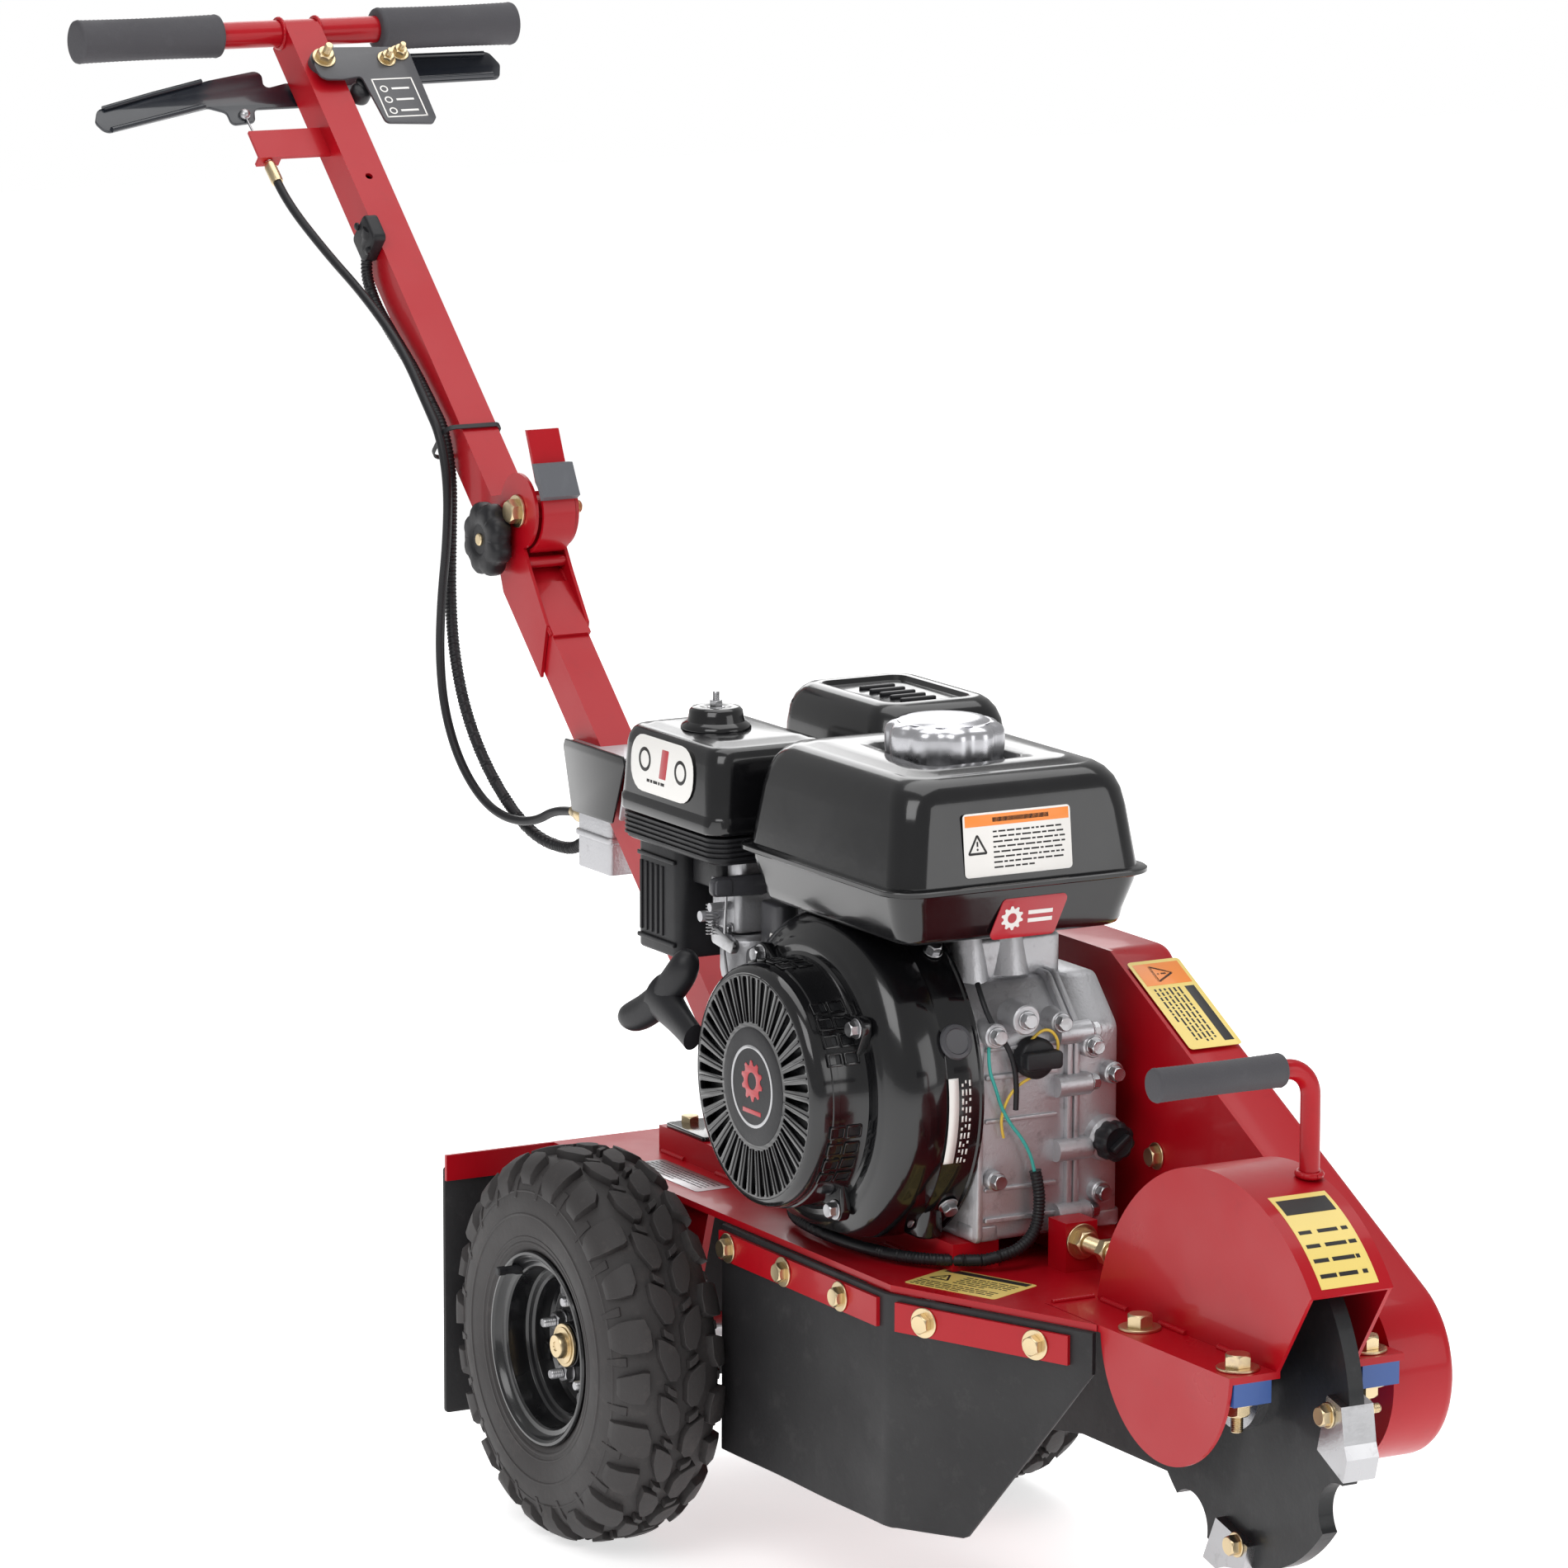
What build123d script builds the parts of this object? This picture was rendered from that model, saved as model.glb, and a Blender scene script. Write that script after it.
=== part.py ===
"""Walk-behind stump grinder: frame, engine, cutter drive, folding handle.

Millimetres. +X points forward to the cutter, +Y to the machine's left, +Z up.
The origin is on the ground under the middle of the machine's length and width.
The deck is level and the two tyres touch the ground plane.
"""
from build123d import *
from math import cos, sin, tan, radians, degrees, atan2, hypot, pi
import os

os.makedirs("parts", exist_ok=True)

# ---------------------------------------------------------------- driving dimensions
AXLE_X = 44.0              # wheel axle, forward of the origin
WHEEL_R = 148.5            # tyre radius, so also the axle height
WHEEL_Y = 165.0            # tyre middle, each side of the centre plane
TYRE_HALF = 46.0           # half the tyre's section width
RIM_R = 72.0               # rim flange radius
AXLE_R = 9.5

DECK_TOP = 264.0
DECK_T = 5.0
DECK_HALF = 113.0          # deck edge from the centre plane
DECK_REAR = AXLE_X - 156.0  # back edge of the deck plate
SHEET_T = 3.0
RUBBER_T = 4.0

CRANK_X = AXLE_X + 240.0
CRANK_Z = 390.0
ENGINE_BASE = 284.0        # top of the engine rails
RECOIL_Y = -160.0          # outer face of the recoil starter
FAN_Y0, FAN_Y1 = -116.0, -42.0
CASE_Y1 = 80.0             # power take-off side of the crankcase
SHAFT_R = 12.5

CUTTER_X = CRANK_X + 367.0
CUTTER_Z = 235.0
CUTTER_R = 130.0
DISC_Y0, DISC_Y1 = 21.0, 33.0
GUARD_Y0, GUARD_Y1 = -6.0, 60.0
GUARD_R = 148.0
FLANGE_W = 38.0            # width of the bearing flanges beside the cutter guard
FLANGE_FRONT = CUTTER_X + 81.0
FLANGE_REAR = CUTTER_X - 155.0
TOOTH_ANGLES = [-105.0, -15.0, 75.0, 165.0]

BELT_Y0, BELT_Y1 = 100.0, 152.0
PULLEY_R = 48.0
GROOVE_R = 43.0

TUBE = 31.8                # square handle tube
TUBE_WALL = 3.0
SLEEVE = 38.2
SLEEVE_WALL = 3.1
COLUMN_SLOPE = 43.4        # degrees below the horizontal, towards the front
COLUMN_X = CRANK_X - 639.0
COLUMN_Z = 658.0           # where the handle tube meets the fixed column
PIVOT_S, PIVOT_N = -30.0, 48.0
BAR_R = 11.1
BAR_HALF = 196.0
CLEAR = 0.05               # radial running clearance
GAP = 0.4                  # gap between parts that stand near each other

nodes = []


def save(builder, name):
    """Label a finished piece and write its STEP file."""
    builder.part.label = name
    export_step(builder.part, "parts/" + name + ".step")
    nodes.append(name)


def side(y):
    """Plane across the machine at width y: x is +X, y is +Z, and it extrudes towards -Y."""
    return Plane.XZ.offset(-y)


COL_D = Vector(cos(radians(COLUMN_SLOPE)), 0, -sin(radians(COLUMN_SLOPE)))
COL_N = Vector(sin(radians(COLUMN_SLOPE)), 0, cos(radians(COLUMN_SLOPE)))
COL_O = Vector(COLUMN_X, 0, COLUMN_Z)


def column_point(s, n, y=0.0):
    """Point s along the handle line (forward and down) and n above its axis."""
    return COL_O + COL_D * s + COL_N * n + Vector(0, y, 0)


def column_section(s):
    """Plane square to the handle line at s: x is +Y, y is the upper normal."""
    return Plane(origin=column_point(s, 0), x_dir=(0, 1, 0), z_dir=COL_D)


def column_side(y):
    """Plane beside the handle line: x runs down the line, y is the upper normal."""
    return Plane(origin=column_point(0, 0, y), x_dir=COL_D, z_dir=(0, -1, 0))


def route(points, radius):
    """Solid tube of one radius along straight runs joined by tangent arcs."""
    path_points = [Vector(*p) for p in points]
    radii = []
    for before, here, after in zip(path_points, path_points[1:], path_points[2:]):
        run_in = here - before
        run_out = after - here
        half_turn = radians(run_in.get_angle(run_out)) / 2
        radii.append(0.45 * min(run_in.length, run_out.length) / tan(half_turn))
    print("route radii", [round(r) for r in radii])
    with BuildLine(mode=Mode.PRIVATE) as line:
        FilletPolyline(*path_points, radius=radii)
    length = sum(edge.length for edge in line.edges())
    with BuildSketch(Plane(origin=path_points[0], z_dir=path_points[1] - path_points[0]),
                     mode=Mode.PRIVATE) as section:
        Circle(radius)
    with BuildPart(mode=Mode.PRIVATE) as tube:
        sweep(sections=section.sketch, path=line.line)
    print("  length", round(length), "volume ratio",
          round(tube.part.volume / (pi * radius ** 2 * length), 4))
    return tube.part


# ---------------------------------------------------------------- wheels
def wheel_plane():
    return Plane.YZ.offset(AXLE_X)


AXLE_LINE = Axis((AXLE_X, 0, WHEEL_R), (0, 1, 0))
BEAD_HALF = 42.0
HUB_R = 17.0
HUB_OUT = WHEEL_Y + 18.0
HUB_IN = WHEEL_Y - 40.0


def make_tyre(sign, name):
    """Pneumatic tyre: a rounded carcass, open towards the rim."""
    middle = sign * WHEEL_Y
    wall = 8.0
    with BuildPart() as tyre:
        with BuildSketch(wheel_plane()):
            with BuildLine():
                Polyline((middle - BEAD_HALF, WHEEL_R + RIM_R), (middle - TYRE_HALF, WHEEL_R + 98))
                ThreePointArc((middle - TYRE_HALF, WHEEL_R + 98), (middle - 41, WHEEL_R + 125),
                              (middle - 24, 2 * WHEEL_R - 3))
                ThreePointArc((middle - 24, 2 * WHEEL_R - 3), (middle, 2 * WHEEL_R),
                              (middle + 24, 2 * WHEEL_R - 3))
                ThreePointArc((middle + 24, 2 * WHEEL_R - 3), (middle + 41, WHEEL_R + 125),
                              (middle + TYRE_HALF, WHEEL_R + 98))
                Polyline((middle + TYRE_HALF, WHEEL_R + 98), (middle + BEAD_HALF, WHEEL_R + RIM_R),
                         (middle + BEAD_HALF - wall, WHEEL_R + RIM_R),
                         (middle + TYRE_HALF - wall, WHEEL_R + 98),
                         (middle + 22, 2 * WHEEL_R - 14), (middle - 22, 2 * WHEEL_R - 14),
                         (middle - TYRE_HALF + wall, WHEEL_R + 98),
                         (middle - BEAD_HALF + wall, WHEEL_R + RIM_R),
                         (middle - BEAD_HALF, WHEEL_R + RIM_R))
            make_face()
        revolve(axis=AXLE_LINE)
    save(tyre, name)


def make_rim(sign, name):
    """Steel wheel: flanged barrel with a well, dished disc and hub tube."""
    middle = sign * WHEEL_Y
    disc = sign * (WHEEL_Y + 2)
    wall = 3.0
    flange = RIM_R - GAP
    seat = 61.0
    well = 50.0
    with BuildPart() as rim:
        with BuildSketch(wheel_plane()):
            with BuildLine():
                Polyline((middle - BEAD_HALF + 1, WHEEL_R + flange),
                         (middle - BEAD_HALF + 4, WHEEL_R + seat),
                         (middle - 16, WHEEL_R + seat), (middle - 10, WHEEL_R + well),
                         (middle + 10, WHEEL_R + well), (middle + 16, WHEEL_R + seat),
                         (middle + BEAD_HALF - 4, WHEEL_R + seat),
                         (middle + BEAD_HALF - 1, WHEEL_R + flange),
                         (middle + BEAD_HALF + 2, WHEEL_R + flange),
                         (middle + BEAD_HALF - 2, WHEEL_R + seat - wall),
                         (middle + 18, WHEEL_R + seat - wall), (middle + 12, WHEEL_R + well - wall),
                         (middle - 12, WHEEL_R + well - wall), (middle - 18, WHEEL_R + seat - wall),
                         (middle - BEAD_HALF + 2, WHEEL_R + seat - wall),
                         (middle - BEAD_HALF - 2, WHEEL_R + flange), close=True)
            make_face()
        revolve(axis=AXLE_LINE)
        with BuildSketch(side(disc + wall / 2)):
            with Locations((AXLE_X, WHEEL_R)):
                Circle(well - 1)
        extrude(amount=wall)
        hub_far = max(sign * HUB_IN, sign * HUB_OUT)
        with BuildSketch(side(hub_far)):
            with Locations((AXLE_X, WHEEL_R)):
                Circle(HUB_R)
        extrude(amount=HUB_OUT - HUB_IN)
        with BuildSketch(side(hub_far)):
            with Locations((AXLE_X, WHEEL_R)):
                Circle(AXLE_R + CLEAR)
        extrude(amount=HUB_OUT - HUB_IN, mode=Mode.SUBTRACT)
    save(rim, name)


make_tyre(-1, "right_tyre")
make_rim(-1, "right_rim")
make_tyre(1, "left_tyre")
make_rim(1, "left_rim")

with BuildPart() as axle:
    with BuildSketch(side(HUB_OUT + 1)):
        with Locations((AXLE_X, WHEEL_R)):
            Circle(AXLE_R)
    extrude(amount=2 * (HUB_OUT + 1))
save(axle, "axle")

WASHER_R, WASHER_T, HEAD_T = 16.5, 3.0, 7.0
with BuildPart() as frame_bolts:
    for sign in (-1, 1):
        washer_y = HUB_OUT + 1 + WASHER_T if sign > 0 else -HUB_OUT - 1
        with BuildSketch(side(washer_y)):
            with Locations((AXLE_X, WHEEL_R)):
                Circle(WASHER_R)
        extrude(amount=WASHER_T)
        head_y = washer_y + HEAD_T if sign > 0 else washer_y - WASHER_T
        with BuildSketch(side(head_y)):
            with Locations((AXLE_X, WHEEL_R)):
                RegularPolygon(8.5, 6)
        extrude(amount=HEAD_T)

# ---------------------------------------------------------------- deck frame
DECK_CORNER_X = CRANK_X + 115.0
CHAMFER_END = (FLANGE_REAR + 69.0, -FLANGE_W + GUARD_Y0 - 1.0)
RAIL_REAR, RAIL_FRONT = CRANK_X - 330.0, CRANK_X + 105.0
RAILS_Y = [(-56.0, -18.0), (42.0, 80.0)]
BRACKET_Y = 95.0
BELT_REAR = CRANK_X - 84.0
BLOCK_X, BLOCK_Y = CRANK_X + 122.0, 26.0
TENSION_R = 6.0

with BuildPart() as deck_frame:
    with BuildSketch(Plane.XY.offset(DECK_TOP - DECK_T)):
        with BuildLine():
            Polyline((DECK_REAR, -DECK_HALF), (DECK_CORNER_X, -DECK_HALF), CHAMFER_END,
                     (FLANGE_REAR, CHAMFER_END[1]), (FLANGE_REAR, BELT_Y0 - 2),
                     (BELT_REAR - 4, BELT_Y0 - 2), (BELT_REAR - 4, DECK_HALF),
                     (DECK_REAR, DECK_HALF), close=True)
        make_face()
    extrude(amount=DECK_T)
    for rail_y0, rail_y1 in RAILS_Y:
        with BuildSketch(Plane.XY.offset(DECK_TOP)):
            with Locations(((RAIL_REAR + RAIL_FRONT) / 2, (rail_y0 + rail_y1) / 2)):
                Rectangle(RAIL_FRONT - RAIL_REAR, rail_y1 - rail_y0)
        extrude(amount=ENGINE_BASE - DECK_TOP)
    for bracket_y in (-BRACKET_Y, BRACKET_Y + SHEET_T * 2):
        with BuildSketch(side(bracket_y)):
            with BuildLine():
                Polyline((AXLE_X - 70, DECK_TOP - DECK_T), (AXLE_X - 26, WHEEL_R - 20),
                         (AXLE_X + 26, WHEEL_R - 20), (AXLE_X + 70, DECK_TOP - DECK_T), close=True)
            make_face()
            with Locations((AXLE_X, WHEEL_R)):
                Circle(AXLE_R + CLEAR, mode=Mode.SUBTRACT)
        extrude(amount=SHEET_T * 2)
    with BuildSketch(Plane.YZ.offset(DECK_REAR)):
        with Locations((0, DECK_TOP - 10)):
            Rectangle(410, 20)
    extrude(amount=SHEET_T)
    with BuildSketch(Plane.YZ.offset(BLOCK_X)):
        with Locations((BLOCK_Y, DECK_TOP + 18)):
            Rectangle(26, 36)
    extrude(amount=24)
    with BuildSketch(Plane.YZ.offset(BLOCK_X)):
        with Locations((BLOCK_Y, DECK_TOP + 22)):
            Circle(TENSION_R + CLEAR)
    extrude(amount=24, mode=Mode.SUBTRACT)
save(deck_frame, "deck_frame")

with frame_bolts:
    with BuildSketch(Plane.YZ.offset(BLOCK_X - 8)):
        with Locations((BLOCK_Y, DECK_TOP + 22)):
            Circle(TENSION_R)
    extrude(amount=96)
    with BuildSketch(Plane.YZ.offset(BLOCK_X + 24)):
        with Locations((BLOCK_Y, DECK_TOP + 22)):
            RegularPolygon(11, 6)
    extrude(amount=9)

# ---------------------------------------------------------------- rubber skirts
SKIRT_X0 = CRANK_X - 122.0
SKIRT_BOTTOM = 88.0
SKIRT_TOP = DECK_TOP - DECK_T - GAP
STRIP_H = 21.0
STRIP_TOP = DECK_TOP - DECK_T - 5.0
chamfer_run = Vector(CHAMFER_END[0] - DECK_CORNER_X, CHAMFER_END[1] + DECK_HALF, 0)
CHAMFER_LEN = chamfer_run.length
CHAMFER_DIR = chamfer_run.normalized()
CHAMFER_OUT = Vector(CHAMFER_DIR.Y, -CHAMFER_DIR.X, 0)


def chamfer_plane(offset):
    """Plane along the deck's chamfered corner: x towards the cutter, y up, facing outwards."""
    return Plane(origin=Vector(DECK_CORNER_X, -DECK_HALF, 0) + CHAMFER_OUT * offset,
                 x_dir=CHAMFER_DIR, z_dir=CHAMFER_OUT)


with BuildPart() as rubber_skirts:
    with BuildSketch(side(-DECK_HALF)):
        with BuildLine():
            Polyline((SKIRT_X0, SKIRT_TOP), (SKIRT_X0, SKIRT_BOTTOM), (DECK_CORNER_X, SKIRT_BOTTOM),
                     (DECK_CORNER_X, SKIRT_TOP), close=True)
        make_face()
    extrude(amount=RUBBER_T)
    with BuildSketch(chamfer_plane(0)):
        with BuildLine():
            Polyline((0, SKIRT_TOP), (0, SKIRT_BOTTOM), (CHAMFER_LEN * 0.4, SKIRT_BOTTOM + 4),
                     (CHAMFER_LEN, SKIRT_TOP - 30), (CHAMFER_LEN, SKIRT_TOP), close=True)
        make_face()
    extrude(amount=RUBBER_T)

FAR_SKIRT_Y = BELT_Y0 - 2.0
with rubber_skirts:
    with BuildSketch(side(FAR_SKIRT_Y)):
        with BuildLine():
            Polyline((CRANK_X - 70, SKIRT_TOP), (CRANK_X - 70, SKIRT_BOTTOM + 4),
                     (CRANK_X + 40, SKIRT_BOTTOM + 22), (CRANK_X + 170, SKIRT_BOTTOM + 22),
                     (CRANK_X + 200, SKIRT_TOP), close=True)
        make_face()
    extrude(amount=RUBBER_T)

FLAP_HALF = 205.0
with rubber_skirts:
    with BuildSketch(Plane.YZ.offset(DECK_REAR - RUBBER_T)):
        with Locations((0, (62 + 254) / 2)):
            Rectangle(2 * FLAP_HALF, 254 - 62)
    extrude(amount=RUBBER_T)
save(rubber_skirts, "rubber_skirts")

BOLT_R, BOLT_HEAD = 4.0, 5.5
SIDE_BOLTS = [-108.0, -26.0, 56.0]
FRONT_BOLTS = [0.2, 0.74]
STRIP_Z = STRIP_TOP - STRIP_H / 2
REAR_BOLTS = [-150.0, -50.0, 50.0, 150.0]
FAR_BOLTS = [-50.0, 50.0, 150.0]
with BuildPart() as clamp_strips:
    with BuildSketch(side(-DECK_HALF - RUBBER_T)):
        with Locations(((SKIRT_X0 + DECK_CORNER_X - 8) / 2, STRIP_Z)):
            Rectangle(DECK_CORNER_X - 8 - SKIRT_X0, STRIP_H)
    extrude(amount=SHEET_T)
    with BuildSketch(chamfer_plane(RUBBER_T)):
        with Locations((CHAMFER_LEN * 0.47, STRIP_Z)):
            Rectangle(CHAMFER_LEN * 0.84, STRIP_H)
    extrude(amount=SHEET_T)
    with BuildSketch(Plane.YZ.offset(DECK_REAR - RUBBER_T - SHEET_T)):
        with Locations((0, STRIP_Z)):
            Rectangle(2 * FLAP_HALF - 20, STRIP_H)
    extrude(amount=SHEET_T)
    with BuildSketch(side(FAR_SKIRT_Y - RUBBER_T)):
        with Locations((CRANK_X + 55, STRIP_Z)):
            Rectangle(240, STRIP_H)
    extrude(amount=SHEET_T)
save(clamp_strips, "clamp_strips")

with frame_bolts:
    for dx in SIDE_BOLTS:
        with BuildSketch(side(-DECK_HALF - RUBBER_T - SHEET_T)):
            with Locations((CRANK_X + dx, STRIP_Z)):
                RegularPolygon(7.5, 6)
        extrude(amount=BOLT_HEAD)
    for share in FRONT_BOLTS:
        with BuildSketch(chamfer_plane(RUBBER_T + SHEET_T)):
            with Locations((CHAMFER_LEN * share, STRIP_Z)):
                RegularPolygon(7.5, 6)
        extrude(amount=BOLT_HEAD)
    for y in REAR_BOLTS:
        with BuildSketch(Plane.YZ.offset(DECK_REAR - RUBBER_T - SHEET_T - BOLT_HEAD)):
            with Locations((y, STRIP_Z)):
                RegularPolygon(7.5, 6)
        extrude(amount=BOLT_HEAD)
    for dx in FAR_BOLTS:
        with BuildSketch(side(FAR_SKIRT_Y - RUBBER_T - SHEET_T)):
            with Locations((CRANK_X + dx, STRIP_Z)):
                RegularPolygon(7.5, 6)
        extrude(amount=BOLT_HEAD)
# ---------------------------------------------------------------- cutter guard and bearings
LIP_ANGLE = 36.0
chord = DECK_TOP - CUTTER_Z
REAR_ANGLE = 180 - degrees(atan2(chord, (GUARD_R ** 2 - chord ** 2) ** 0.5))
BEARING_BOLT = 62.0
BLOCK_H = 16.0
BLOCKS_Y = [GUARD_Y0 - FLANGE_W / 2, GUARD_Y1 + FLANGE_W / 2]
CHEEK_R = 83.0


def polar(radius, angle):
    """Point around the cutter shaft, in side view."""
    return (CUTTER_X + radius * cos(radians(angle)), CUTTER_Z + radius * sin(radians(angle)))


with BuildPart() as cutter_guard:
    for plate_y in (GUARD_Y0 + SHEET_T, GUARD_Y1):
        with BuildSketch(side(plate_y)):
            with BuildLine():
                Polyline(polar(GUARD_R, REAR_ANGLE), (FLANGE_FRONT, DECK_TOP),
                         polar(GUARD_R, LIP_ANGLE))
                ThreePointArc(polar(GUARD_R, LIP_ANGLE), polar(GUARD_R, (LIP_ANGLE + REAR_ANGLE) / 2),
                              polar(GUARD_R, REAR_ANGLE))
            make_face()
        extrude(amount=SHEET_T)
    with BuildSketch(side(GUARD_Y1)):
        with BuildLine():
            mid = (LIP_ANGLE + REAR_ANGLE) / 2
            outer = GUARD_R + SHEET_T
            ThreePointArc(polar(GUARD_R, LIP_ANGLE), polar(GUARD_R, mid), polar(GUARD_R, REAR_ANGLE))
            Line(polar(GUARD_R, REAR_ANGLE), polar(outer, REAR_ANGLE))
            ThreePointArc(polar(outer, REAR_ANGLE), polar(outer, mid), polar(outer, LIP_ANGLE))
            Line(polar(outer, LIP_ANGLE), polar(GUARD_R, LIP_ANGLE))
        make_face()
    extrude(amount=GUARD_Y1 - GUARD_Y0)
    for flange_y in (GUARD_Y0 - FLANGE_W, GUARD_Y1):
        with BuildSketch(Plane.XY.offset(DECK_TOP - DECK_T)):
            with Locations(((FLANGE_REAR + FLANGE_FRONT) / 2, flange_y + FLANGE_W / 2)):
                Rectangle(FLANGE_FRONT - FLANGE_REAR, FLANGE_W)
        extrude(amount=DECK_T)
    with BuildSketch(side(GUARD_Y0 + SHEET_T)):
        with Locations(((FLANGE_REAR + FLANGE_FRONT) / 2, DECK_TOP - DECK_T / 2)):
            Rectangle(FLANGE_FRONT - FLANGE_REAR, DECK_T)
    extrude(amount=SHEET_T)
    with BuildSketch(side(GUARD_Y1)):
        with Locations(((FLANGE_REAR + FLANGE_FRONT) / 2, DECK_TOP - DECK_T / 2)):
            Rectangle(FLANGE_FRONT - FLANGE_REAR, DECK_T)
    extrude(amount=SHEET_T)
    with BuildSketch(side(GUARD_Y0 - FLANGE_W + SHEET_T)):
        with BuildLine():
            Line((CUTTER_X - CHEEK_R, DECK_TOP), (CUTTER_X + CHEEK_R - 2, DECK_TOP))
            ThreePointArc((CUTTER_X + CHEEK_R - 2, DECK_TOP), (CUTTER_X, DECK_TOP - CHEEK_R + 4),
                          (CUTTER_X - CHEEK_R, DECK_TOP))
        make_face()
    extrude(amount=SHEET_T)
    for block_y in BLOCKS_Y:
        with BuildSketch(Plane.XY.offset(DECK_TOP)):
            with Locations((CUTTER_X - BEARING_BOLT, block_y), (CUTTER_X + BEARING_BOLT, block_y)):
                Circle(5.2)
        extrude(amount=-DECK_T, mode=Mode.SUBTRACT)
save(cutter_guard, "cutter_guard")

BLOCK_W = 30.0
with BuildPart() as bearing_blocks:
    for block_y in BLOCKS_Y:
        with BuildSketch(side(block_y + BLOCK_W / 2)):
            with Locations((CUTTER_X, DECK_TOP - DECK_T - BLOCK_H / 2)):
                Rectangle(2 * 81.0, BLOCK_H)
            with Locations((CUTTER_X, CUTTER_Z)):
                Circle(31)
                Circle(SHAFT_R + CLEAR, mode=Mode.SUBTRACT)
        extrude(amount=BLOCK_W)
        with BuildSketch(Plane.XY.offset(DECK_TOP - DECK_T)):
            with Locations((CUTTER_X - BEARING_BOLT, block_y), (CUTTER_X + BEARING_BOLT, block_y)):
                Circle(5.2)
        extrude(amount=-BLOCK_H, mode=Mode.SUBTRACT)
    split(bisect_by=Plane.XY.offset(DECK_TOP - DECK_T), keep=Keep.BOTTOM)
save(bearing_blocks, "bearing_blocks")

with frame_bolts:
    for block_y in BLOCKS_Y:
        for bolt_x in (CUTTER_X - BEARING_BOLT, CUTTER_X + BEARING_BOLT):
            with BuildSketch(Plane.XY.offset(DECK_TOP)):
                with Locations((bolt_x, block_y)):
                    RegularPolygon(9.5, 6)
            extrude(amount=8)
            with BuildSketch(Plane.XY.offset(DECK_TOP)):
                with Locations((bolt_x, block_y)):
                    Circle(5.0)
            extrude(amount=-(DECK_T + BLOCK_H + 12))
            with BuildSketch(Plane.XY.offset(DECK_TOP - DECK_T - BLOCK_H)):
                with Locations((bolt_x, block_y)):
                    RegularPolygon(9.5, 6)
            extrude(amount=-8)
# ---------------------------------------------------------------- cutter wheel
HUB_FLANGE_R = 32.0


def tooth_plane(angle, y):
    """Side plane turned about the cutter shaft: x is radial, y is the trailing direction."""
    a = radians(angle)
    return Plane(origin=(CUTTER_X, y, CUTTER_Z), x_dir=(cos(a), 0, sin(a)), z_dir=(0, -1, 0))


GULLET_R = 24.0
GULLET_AHEAD = 15.0
TOOTH_BOLT_R = 114.0
TOOTH_BOLT_BEHIND = 17.0
with BuildPart() as cutter_disc:
    with BuildSketch(side(DISC_Y1)):
        with Locations((CUTTER_X, CUTTER_Z)):
            Circle(CUTTER_R)
            Circle(SHAFT_R + CLEAR, mode=Mode.SUBTRACT)
        for angle in TOOTH_ANGLES:
            with Locations(polar(CUTTER_R + 6, angle - GULLET_AHEAD)):
                Circle(GULLET_R, mode=Mode.SUBTRACT)
            with Locations(polar(TOOTH_BOLT_R, angle + TOOTH_BOLT_BEHIND)):
                Circle(5.0, mode=Mode.SUBTRACT)
    extrude(amount=DISC_Y1 - DISC_Y0)
save(cutter_disc, "cutter_disc")

TOOTH_SIDE = 7.0
with BuildPart() as cutter_teeth:
    for angle in TOOTH_ANGLES:
        with BuildSketch(tooth_plane(angle, DISC_Y1 + TOOTH_SIDE)):
            with BuildLine():
                Polyline((104, 4), (CUTTER_R + 9, -3), (CUTTER_R + 9, 14), (CUTTER_R + 3, 22),
                         (122, 46), (104, 46), close=True)
            make_face()
            with Locations((TOOTH_BOLT_R * cos(radians(TOOTH_BOLT_BEHIND)),
                            TOOTH_BOLT_R * sin(radians(TOOTH_BOLT_BEHIND)))):
                Circle(5.0, mode=Mode.SUBTRACT)
        extrude(amount=DISC_Y1 - DISC_Y0 + 2 * TOOTH_SIDE)
    with BuildSketch(side(DISC_Y1)):
        with Locations((CUTTER_X, CUTTER_Z)):
            Circle(CUTTER_R)
    extrude(amount=DISC_Y1 - DISC_Y0, mode=Mode.SUBTRACT)
save(cutter_teeth, "cutter_teeth")

with BuildPart() as tooth_bolts:
    for angle in TOOTH_ANGLES:
        place = polar(TOOTH_BOLT_R, angle + TOOTH_BOLT_BEHIND)
        with BuildSketch(side(DISC_Y1 + TOOTH_SIDE)):
            with Locations(place):
                Circle(4.9)
        extrude(amount=DISC_Y1 - DISC_Y0 + 2 * TOOTH_SIDE)
        with BuildSketch(side(DISC_Y0 - TOOTH_SIDE)):
            with Locations(place):
                RegularPolygon(8.5, 6)
        extrude(amount=5.5)
        with BuildSketch(side(DISC_Y1 + TOOTH_SIDE + 5.5)):
            with Locations(place):
                RegularPolygon(8.5, 6)
        extrude(amount=5.5)
save(tooth_bolts, "tooth_bolts")

SHAFT_END = 148.0
with BuildPart() as cutter_shaft:
    with BuildSketch(side(SHAFT_END - 6)):
        with Locations((CUTTER_X, CUTTER_Z)):
            Circle(SHAFT_R)
    extrude(amount=SHAFT_END - 6 + 39)
    for hub_y in (DISC_Y0, DISC_Y1 + 9):
        with BuildSketch(side(hub_y)):
            with Locations((CUTTER_X, CUTTER_Z)):
                Circle(HUB_FLANGE_R)
        extrude(amount=9)
save(cutter_shaft, "cutter_shaft")

# ---------------------------------------------------------------- crankshaft and belt drive
BELT_MID = 128.0
PULLEY_W = 24.0
BELT_W = 13.0


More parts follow.
